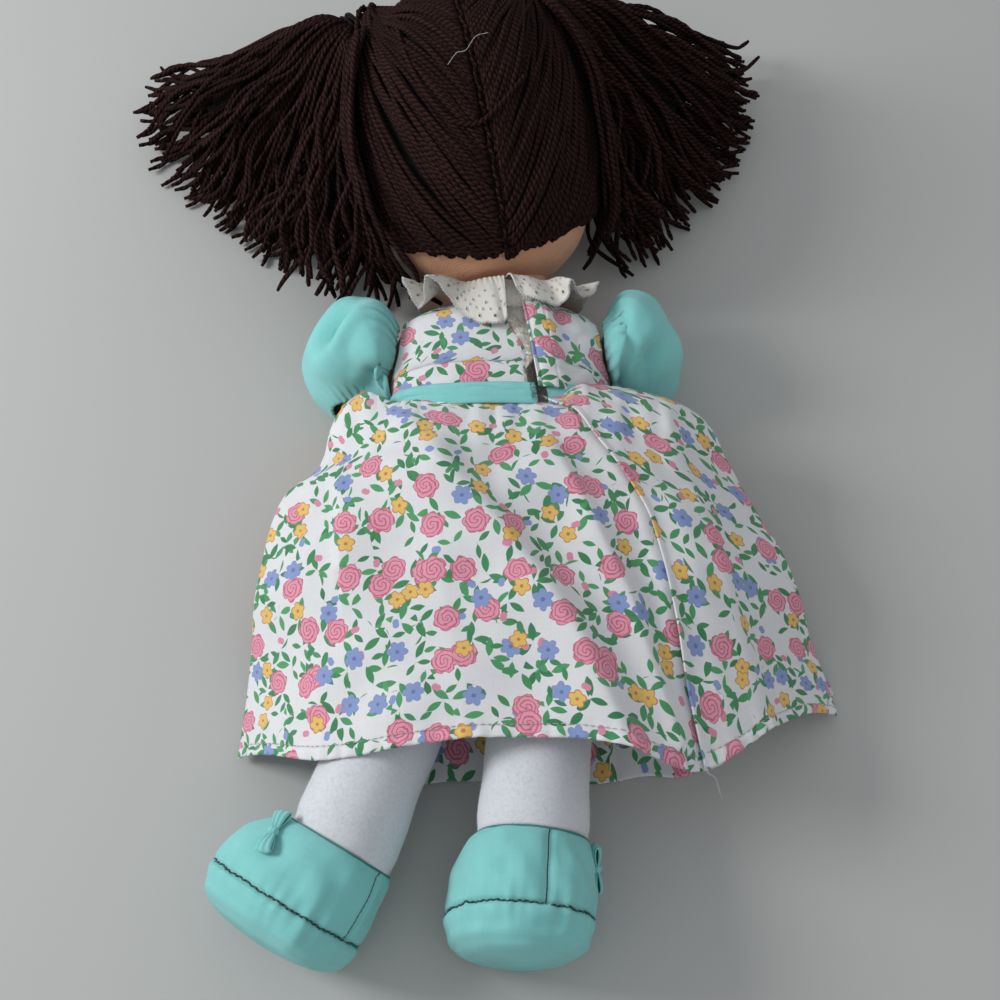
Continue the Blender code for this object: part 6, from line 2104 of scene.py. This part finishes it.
# %% The skirt's front
def skirt_front_grid(columns=140):
    """The front lies on the table, rises between body and arm, then runs out under the back's edge."""
    left, right, edge, _ = read_table(SKIRT_SHARES, skirt_down)
    left, right = left * SKIRT_LENGTH, right * SKIRT_LENGTH
    share = np.linspace(0.0, 1.0, columns)[None]
    x = left + (right - left) * share
    reach = np.where(x < 0.0, -left, right)
    start = np.minimum(0.0435, reach - 0.0075)
    top = SKIRT_EDGE_LIFT * edge - 1.5 * CLOTH - SEAT
    z = 0.0006 + (top - 0.0006) * ease(start, start + 0.0075, np.abs(x))
    waves = 0.0012 * (1.0 + np.sin(x / 0.0065 + 1.7 * np.sin(x / 0.021))) * ease(0.5, 1.0, skirt_down)
    lower = 0.0022 - 0.0110 * ease(0.030, 0.060, np.abs(x - 0.002))
    y = skirt_y(skirt_down, x, left, right) - lower * ease(0.75, 1.0, skirt_down)
    return np.stack(np.broadcast_arrays(x, y, z + waves * (np.abs(x) < start)), axis=-1)


front_panel = skirt_front_grid()
cloth("skirt_front_panel", front_panel, HIP_BEND, calico, ["skirt_front"], BELOW,
      shift=(0.2, 1.1))
print("skirt panels:", left_panel.shape[:2], right_panel.shape[:2], front_panel.shape[:2])


# %% Hem stitches and loose threads
def running_stitches(grid, row_from_end, spacing, first, last, lift=0.00035, gap=0.35):
    """Short threads along one row of a cloth: each covers part of its pitch and dips at both ends."""
    line, normal = grid[-row_from_end], grid_normals(grid)[-row_from_end]
    reach = run_along(line)
    count = int(reach[-1] / spacing)
    share = np.linspace(0.0, 1.0, 5)[None]
    place = (np.arange(count)[:, None] + first + (last - first) * share) * spacing
    at, out = read_line(line, reach, place), read_line(normal, reach, place)
    return at + out * (CLOTH + lift * np.sin(np.pi * share) - 0.0001)[..., None], out


for name, grid in (("hem_stitches_left", left_panel), ("hem_stitches_right", right_panel)):
    paths, hint = running_stitches(hem(grid, flat_uv(grid)), 7, 0.0026, 0.1, 0.75)
    sew(name, paths, 0.00016, hint, HIP_BEND, white_thread, "calico_print", sides=5, lobes=0.0, turn=0.0012)


# the loose thread's places in mm from the skirt's corner
THREAD_STEPS = [(0, 1, 1.2), (1.5, -2.0, 1.6), (4.0, -3.0, -1.0), (6.0, -6.5, -6.0), (7.5, -8.0, -11.0)]
hem_corner = right_panel[-1, np.argmin(np.abs(right_panel[-1, :, 0] - 0.072))] * 1000.0
path = curve_through(hem_corner + THREAD_STEPS, 60)
hint = np.broadcast_to([0.0, 0.0, 1.0], path.shape)
sew("loose_thread", path, 0.00022, hint, HIP_BEND, white_thread, "calico_print", sides=6, lobes=0.05,
    turn=0.0012)
print("hem stitches:", len(paths))

# %% [markdown]
# ## Legs
# The legs are white fleece, pinched flat at a tab under the hip seam and cut aslant at the ankle, where
# they are sewn to the shoes. Fleece has no clean outline, so short fibres stand on the skin.


# %% Hip seam and where the legs hang
SEAM_WIDTH, SEAM_THICKNESS, LEG_SPACING, LEG_RADIUS, LEG_TAB = 0.0056, 0.0020, 0.0390, 0.0200, 0.0085
HIP_Y = BODY_BOTTOM_Y - SEAM_WIDTH - 3.0 * SEAT - LEG_TAB
LEGS = {
    "left": dict(side=-1.0, length=0.1090, splay=-20.1, ankle_z=0.0245, roll=65.0, pitch=11.0,
                 bow=(-82.0, 70.0)),
    "right": dict(side=1.0, length=0.1010, splay=-4.6, ankle_z=0.0315, roll=17.0, pitch=0.0,
                  bow=(104.0, 60.0)),
}


def hip_seam():
    """A flat strip with rounded long edges: an oval section carried across the body, with stitch ribs."""
    half = BODY_HALF_WIDTH * BODY_SHARES[0][1]
    x = np.linspace(-half, half, 160)[:, None]
    angle = ring_angles(24)[None]
    across, up = super_round(angle, 3.0)
    rib = 1.0 + 0.10 * np.cos(x / 0.00032)
    y = BODY_BOTTOM_Y - SEAT - SEAM_WIDTH / 2.0 + SEAM_WIDTH / 2.0 * across
    z = BODY_MID_Z + SEAM_THICKNESS / 2.0 * up * rib
    return grid_of(x, y, z)


stuff("hip_seam_strip", hip_seam(), "hips", skin_cloth, ["hip_seam"])


def place_shoe(leg):
    """The hip, the ankle and the shoe's toe, side and up directions, from the leg's table."""
    rise = np.degrees(np.arcsin((BODY_MID_Z - leg["ankle_z"]) / leg["length"]))
    down_leg = turn_matrix(leg["splay"], "Z") @ turn_matrix(rise,
                                                            "X") @ np.array([0.0, -leg["length"], 0.0])
    hip = np.array([leg["side"] * LEG_SPACING / 2.0, HIP_Y, BODY_MID_Z])
    up = -down_leg / np.linalg.norm(down_leg)
    down = np.array([0.0, 0.0, -1.0]) + up * up[2]
    down /= np.linalg.norm(down)
    out = np.cross(down, up)
    out = out * np.sign(-out[0])
    roll, pitch = np.radians(leg["roll"]), np.radians(leg["pitch"])
    toe = np.cos(roll) * down + np.sin(roll) * out
    lifted, tall = np.cos(pitch) * toe + np.sin(pitch) * up, np.cos(pitch) * up - np.sin(pitch) * toe
    return hip, hip + down_leg, lifted, np.cross(toe, up), tall


SHOES = {word: place_shoe(leg) for word, leg in LEGS.items()}
print("ankles in mm:", {word: (shoe[1] * 1000).round(0).tolist() for word, shoe in SHOES.items()})


# %% Fleece legs
LEG_SHARES = [
    (0.000, 0.10, 0.06),
    (0.012, 0.22, 0.11),
    (0.035, 0.34, 0.22),
    (0.075, 0.43, 0.42),
    (0.130, 0.66, 0.68),
    (0.200, 0.86, 0.90),
    (0.310, 0.97, 1.00),
    (0.550, 0.99, 1.00),
    (0.800, 0.98, 0.98),
    (0.900, 1.00, 0.99),
    (1.000, 1.03, 1.02),
]


def leg_grid(word, rows=120, sides=72):
    """Rings along the leg's line, half width and depth from the table, cut aslant to meet the shoe."""
    hip, ankle, _, _, shoe_up = SHOES[word]
    heading = (ankle - hip) / np.linalg.norm(ankle - hip)
    sideways = np.cross([0.0, 0.0, 1.0], heading)
    sideways /= np.linalg.norm(sideways)
    above = np.cross(heading, sideways)
    share = np.linspace(0.0, 1.0, rows)[:, None, None]
    width, depth = read_table(LEG_SHARES, share)
    angle = ring_angles(sides)[None, :, None]
    ring = LEG_RADIUS * (width * np.sin(angle) * sideways + depth * np.cos(angle) * above)
    centre = hip + heading * (share * (LEGS[word]["length"] + LEG_TAB) - LEG_TAB)
    slant = -(ring @ shoe_up)[..., None] / (heading @ shoe_up)
    points = centre + ring + ease(0.55, 1.0, share) * slant * heading
    flat = np.stack(np.broadcast_arrays(LEG_RADIUS * angle[..., 0], share[..., 0] * 0.11), axis=-1)
    soft = creases(flat, 70 + len(word), 0.020, 0.0004) * np.sin(angle[..., 0] / 2.0)
    ankle_dip = -0.0009 * ease(0.94, 1.0, share[..., 0])
    out = units(ring)
    return press(points + out * (soft + ankle_dip)[..., None], 0.0)


LEG_FIBRES, FUZZ_FIRST_ROW = 5200, 30
for word in LEGS:
    grid = leg_grid(word)
    stuff("leg_skin_" + word, grid, "leg_" + word, leg_fleece, ["leg_" + word])
    closed = np.concatenate([grid, grid[:, :1]], axis=1)[FUZZ_FIRST_ROW:]
    roots, away = scatter_on_grid(closed, LEG_FIBRES, 80 + len(word))
    centre = grid[FUZZ_FIRST_ROW:].reshape(-1, 3).mean(axis=0)
    away = away * np.sign(np.sum(away * (roots - centre), axis=1).mean())
    keep = roots[:, 2] > 0.0012
    fuzz("leg_fuzz_" + word, roots[keep] - away[keep] * 0.0002, away[keep], 0.0009, 0.000030, 1.1,
         81 + len(word),
         "leg_" + word, leg_fleece, "leg_fleece")
print("leg fibres:", int(keep.sum()))

# %% [markdown]
# ## Shoes
# Each shoe is a stuffed cap of aqua cotton: an upper and a round sole, joined by a gathered seam. The
# thread pulls the cloth in, so the skin dips along the seam and puckers on both sides of it. Both skins are
# ovals across the foot whose length, width and shift come from a table; the puckers are ripples that die
# away from the seam.


# %% Shoe skins
SHOE_LENGTH, SHOE_WIDTH, UPPER_HEIGHT, SOLE_HEIGHT, SHOE_SQUARENESS = 0.062, 0.051, 0.0260, 0.0160, 2.3
UPPER_SHARES = [
    (0.00, 0.645, 0.775, 0.010),
    (0.04, 0.700, 0.820, 0.030),
    (0.12, 0.775, 0.865, 0.058),
    (0.27, 0.865, 0.915, 0.095),
    (0.50, 0.945, 0.965, 0.125),
    (0.75, 0.985, 0.990, 0.137),
    (1.00, 0.992, 0.995, 0.140),
]
SOLE_SHARES = [
    (0.00, 0.992, 0.995, 0.140),
    (0.14, 0.998, 0.996, 0.140),
    (0.38, 0.970, 0.960, 0.140),
    (0.70, 0.880, 0.840, 0.140),
    (0.92, 0.640, 0.560, 0.140),
    (1.00, 0.380, 0.320, 0.140),
    (1.03, 0.180, 0.150, 0.140),
    (1.04, 0.010, 0.010, 0.140),
]


def shoe_grid(word, shares, top, height, level, angle, out=0.0):
    """A shoe skin's point at a level and a turn from the toe: ankle - up + toe * forward + side * outward."""
    _, ankle, toe, sideways, up = SHOES[word]
    length, width, shift = read_table(shares, level)
    across, along = super_round(angle, SHOE_SQUARENESS)
    forward = SHOE_LENGTH * (shift + length * along / 2.0) + out * along
    outward = SHOE_WIDTH * width * across / 2.0 + out * across
    return (ankle - up * np.asarray(top + height * level)[..., None] + np.asarray(forward)[..., None] * toe
            + np.asarray(outward)[..., None] * sideways)


def seam_pull(distance, angle, seed):
    """How far the sole seam moves the cloth: a dip at the seam, and puckers that die away from it."""
    dip = -0.0010 * np.exp(-((distance / 0.0011) ** 2))
    uneven = 0.5 + 0.5 * np.sin(3.0 * angle + seed) * np.sin(7.0 * angle + 2.0 * seed)
    folds = np.cos(31.0 * angle + 1.9 * np.sin(5.0 * angle + seed)) + 0.8 * np.cos(17.0 * angle + seed)
    return dip + 0.00048 * (0.2 + uneven) * folds * np.exp(-distance / 0.0050)


def make_shoe_skins(word, seed):
    """The upper and the sole, with the sole seam, a heel seam down the upper's back, and soft creases."""
    angle = np.linspace(0.0, 2.0 * np.pi, 181)[None]
    grids = []
    for name, shares, top, height, seam_level in (
        ("upper", UPPER_SHARES, SEAT, UPPER_HEIGHT, 1.0),
        ("sole", SOLE_SHARES, UPPER_HEIGHT + SEAT, SOLE_HEIGHT, 0.0),
    ):
        level = np.linspace(0.0, 1.0, 70)[:, None]
        level = 3.0 * level**2 - 2.0 * level**3 if name == "upper" else 1.04 * level**1.3
        near = np.abs(level - seam_level) * height
        flat = np.stack(np.broadcast_arrays(angle * SHOE_WIDTH * 0.55, level * height), axis=-1)
        within = np.sin(angle / 2.0) ** 0.5 * np.sin(np.pi * np.clip(level, 0.0, 1.0)) ** 0.5
        soft = creases(flat, seed + len(name), 0.016, 0.0006) * within
        heel = -0.0013 * np.exp(-(((angle - np.pi) * 0.027
                                   / 0.0010) ** 2)) * (1.0 if name == "upper" else 0.0)
        heel = heel * ease(0.0, 0.1, level)
        out = seam_pull(near, angle, seed) + soft + heel
        grid = press(shoe_grid(word, shares, top, height, level + 0.0 * angle, angle, out), 0.0)
        grids.append(grid)
        stuff(f"shoe_{name}_skin_{word}", grid[:, :-1], "leg_" + word, aqua_cotton,
              [f"shoe_{name}_{word}"], uv=flat_uv(grid))
    return grids


shoe_skins = {word: make_shoe_skins(word, seed) for word, seed in (("left", 3), ("right", 8))}
print("shoe skins:", shoe_skins["left"][0].shape[:2])


# %% Seam threads
def path_stitches(line, out, spacing, share_on, lift):
    """Short threads along a line of points, each arched over part of its pitch."""
    reach = run_along(line)
    share = np.linspace(0.0, 1.0, 5)[None]
    place = (np.arange(int(reach[-1] / spacing))[:, None] + 0.15 + share_on * share) * spacing
    at, away = read_line(line, reach, place), read_line(out, reach, place)
    return at + away * (lift * np.sin(np.pi * share) - 0.0001)[..., None], away


STITCH_SHAPE = dict(sides=5, lobes=0.0, turn=0.001)
for word, (upper, sole) in shoe_skins.items():
    _, ankle, toe, sideways, up = SHOES[word]
    middle = upper[-1].mean(axis=0)
    out = units(upper[-1] - middle)
    seam = (upper[-1] + sole[0]) / 2.0 + out * 0.0002
    step = np.arange(len(seam))
    seam = seam + up * (0.00028 * np.sin(step * 2.1) + 0.0002 * np.sin(step * 0.47))[:, None]
    leg = "leg_" + word
    sew("sole_seam_" + word, seam[None], 0.00034, out[None], leg, dark_thread, "aqua_cotton", turn=0.0020)
    paths, hint = path_stitches(seam, out, 0.0021, 0.55, 0.0008)
    sew("sole_stitches_" + word, paths, 0.00022, hint, leg, aqua_thread, "aqua_cotton", **STITCH_SHAPE)
    heel_line = upper[4:, 90]
    heel_out = np.broadcast_to(-toe, heel_line.shape)
    paths, hint = path_stitches(heel_line, heel_out, 0.0020, 0.6, 0.0004)
    sew("heel_stitches_" + word, paths, 0.00018, hint, leg, dark_thread, "aqua_cotton", **STITCH_SHAPE)
    cord = (heel_line - 0.0001 * heel_out)[None]
    sew("heel_seam_" + word, cord, 0.00030, heel_out[None], leg, dark_thread, "aqua_cotton", turn=0.002)
    cord = (upper[0] - up * 0.0002)[None]
    ankle_out = np.broadcast_to(up, cord.shape)
    sew("ankle_seam_" + word, cord, 0.00045, ankle_out, leg, aqua_thread, "aqua_cotton", turn=0.002)
print("stitches on a heel seam:", len(paths))


# %% Ribbon bows
BOW_LENGTH, BOW_HEIGHT, BOW_THICK = 0.0086, 0.0033, 0.0017


def bow_frame(word, level=0.30):
    """Where the bow sits on the upper, and its long, tall and outward directions, fallen over by its tilt."""
    turn_deg, tilt_deg = LEGS[word]["bow"]
    turn, tilt = np.radians(turn_deg), np.radians(tilt_deg)

    def at(level, angle):
        return shoe_grid(word, UPPER_SHARES, 0.0, UPPER_HEIGHT, np.array(level), np.array(angle))

    place = at(level, turn)
    long, tall = at(level, turn + 0.05) - place, at(level - 0.05, turn) - place
    out = np.cross(tall, long)
    long, out = long / np.linalg.norm(long), out / np.linalg.norm(out)
    tall = np.cross(long, out)
    long, tall = np.cos(tilt) * long + np.sin(tilt) * tall, np.cos(tilt) * tall - np.sin(tilt) * long
    return place + out * (BOW_THICK * 0.7), long, tall, out


def bow_ribbon(word):
    """One ribbon wound as a figure of eight: long sin(s), out sin(2 s), its width drawn in at the knot."""
    centre, long, tall, out = bow_frame(word)
    s = np.linspace(0.0, 2.0 * np.pi, 161)[:, None]
    width = np.linspace(-1.0, 1.0, 13)[None]
    reach = np.sin(s) * (1.0 - 0.06 * width**2)
    spread = BOW_HEIGHT * (0.34 + 0.66 * np.abs(np.sin(s)) ** 0.8)
    puff = BOW_THICK * 0.95 * np.sin(2.0 * s) * np.sign(np.sin(s))
    rib = 0.00035 * np.cos(width * 8.0) + 0.0 * s
    high = width * spread
    return (centre + (BOW_LENGTH * reach)[..., None] * long + high[..., None] * tall
            + (puff * np.sqrt(np.clip(1.15 - width**2, 0.0, 1.0)) + rib)[..., None] * out)


def bow_knot(word):
    """The knot: a short barrel round the ribbon, ribbed lengthwise."""
    centre, long, tall, out = bow_frame(word)
    share = np.linspace(-1.0, 1.0, 24)[:, None]
    angle = ring_angles(40)[None]
    radius = np.sqrt(np.clip(1.0 - np.abs(share) ** 4, 0.02, 1.0)) * (1.0 + 0.05 * np.cos(8.0 * angle))
    return (centre + (0.0014 * share + 0.0 * angle)[..., None] * long
            + (0.0020 * radius * np.sin(angle))[..., None] * tall + (0.0020 * radius
                                                                     * np.cos(angle))[..., None] * out)


for word in LEGS:
    ribbon = bow_ribbon(word)
    turned = ribbon.transpose(1, 0, 2)
    mesh = mesh_from_grid("bow_ribbon_" + word, turned[:, :-1], uv=flat_uv(turned), wrap=True)
    piece = put("bow_ribbon_" + word, mesh, "leg_" + word, aqua_cotton, ["shoe_bow_" + word])
    thicken(piece, 0.0005, 0.0)
    knot = mesh_from_grid("bow_knot_" + word, bow_knot(word), wrap=True, ends=True)
    put("bow_knot_" + word, face_outward(knot), "leg_" + word, aqua_plain,
        ["shoe_bow_" + word])
print("bow ribbon:", ribbon.shape[:2])

# %% [markdown]
# ## Face
# The front of the head is out of sight in the photograph. A doll of this kind has a simple embroidered
# face, so the head gets one: two satin-stitched eyes, each with a white dot as a painted highlight, short
# brows, a small nose and a curved mouth, all thread on cloth.


# %% Embroidered face
def face_place(x_share, up_share, lift):
    """A point on the front of the head, given as shares of its half width and half height."""
    half = HEAD_HALF[0] * read_table(HEAD_SHARES, up_share)[0]
    across = np.clip(np.abs(x_share) * HEAD_HALF[0] / half, 0.0, 1.0) ** (HEAD_SQUARENESS / 2.0)
    return head_to_doll(head_local(up_share, np.pi - np.arcsin(across) * np.sign(x_share), lift))


def satin(x_share, up_share, half_x, half_up, rows):
    """Satin stitch: parallel threads side by side, each as long as the oval is wide at its height."""
    level = np.linspace(-0.96, 0.96, rows)[:, None]
    across = np.linspace(-1.0, 1.0, 9)[None]
    x = x_share + half_x * np.sqrt(1.0 - level**2) * across
    up = up_share + half_up * level + 0.0 * across
    lift = 0.00015 + 0.0005 * np.sqrt(1.0 - 0.96 * across**2)
    return face_place(x, up, lift)


def thread_line(points, rows=40):
    """A back-stitched line through a few places on the face."""
    knots = np.linspace(0.0, 1.0, len(points))
    share = np.linspace(0.0, 1.0, rows)
    x, up = (smooth_read(knots, column, share) for column in np.array(points).T)
    return face_place(x, up, 0.0003)[None]


def embroider(name, paths, radius, material):
    """Threads on the face, kept above the table, riding on the head."""
    hint = press(paths, radius) - head_to_doll(np.zeros(3))
    sew(name, paths, radius, hint, "head", material, "skin_cloth", lobes=0.08, turn=0.0014)


# As with every yarn, the first colour is painted shade in the valleys between the plies.
eye_thread = yarn_material("eye thread", (0.030, 0.016, 0.010, 1.0), (0.11, 0.055, 0.032, 1.0), 2.0, 0.0014)
lip_thread = yarn_material("mouth thread", (0.42, 0.06, 0.08, 1.0), (0.66, 0.12, 0.15, 1.0), 2.0, 0.0014)
for word, side in SIDES.items():
    embroider("eye_" + word, satin(side * 0.36, 0.02, 0.085, 0.085, 15), 0.00040, eye_thread)
    # eye_light: a white satin dot high on each eye, a painted highlight.
    embroider("eye_light_" + word, satin(side * 0.36 + 0.030, 0.050, 0.024, 0.022, 4), 0.00052,
              white_thread)
    brow = thread_line([(side * 0.50, 0.19), (side * 0.37, 0.23), (side * 0.24, 0.20)])
    embroider("brow_" + word, brow, 0.00040, eye_thread)
NOSE = [(-0.045, -0.20), (0.0, -0.235), (0.045, -0.20)]
MOUTH = [(-0.23, -0.37), (-0.12, -0.435), (0.0, -0.455), (0.12, -0.435), (0.23, -0.37)]
embroider("nose", thread_line(NOSE), 0.00036, lip_thread)
embroider("mouth", thread_line(MOUTH), 0.00055, lip_thread)
print("face embroidered with 8 pieces")

# %% [markdown]
# ## Light and floor
# The photograph has soft light from the upper left and a pale ground. One wide lamp gives the soft shadows,
# and the world fills them. The floor stays pale and matt, and catches the doll's shadow.


# %% Floor, lamps and world
def make_floor():
    """A plain pale floor, a little below the doll."""
    mesh = bpy.data.meshes.new("floor")
    half, level = 2.5, -0.0002
    corners = [(-half, -half, level), (half, -half, level), (half, half, level), (-half, half, level)]
    mesh.from_pydata(corners, [], [(0, 1, 2, 3)])
    material, tree, shader = start_material("pale floor")
    set_plain(shader, Base_Color=(0.46, 0.465, 0.455, 1.0), Roughness=0.9, Specular_IOR_Level=0.1)
    mesh.materials.append(material)
    floor = bpy.data.objects.new("floor", mesh)
    bpy.context.scene.collection.objects.link(floor)


def add_lamp(name, place, aim, size, power):
    """A square area lamp that looks at a point."""
    data = bpy.data.lights.new(name, "AREA")
    data.size, data.energy = size, power
    lamp = bpy.data.objects.new(name, data)
    lamp.location = place
    lamp.rotation_euler = (Vector(aim) - Vector(place)).to_track_quat("-Z", "Y").to_euler()
    bpy.context.scene.collection.objects.link(lamp)


make_floor()
add_lamp("key", (-1.00, 0.10, 0.62), (0.0, -0.03, 0.03), 0.40, 9.5)
world = bpy.data.worlds.new("soft fill")
bpy.context.scene.world = world
world.use_nodes = True
set_plain(world.node_tree.nodes["Background"], Color=(0.95, 0.97, 1.0, 1.0), Strength=0.56)
print("lamps:", [light.name for light in bpy.data.lights])
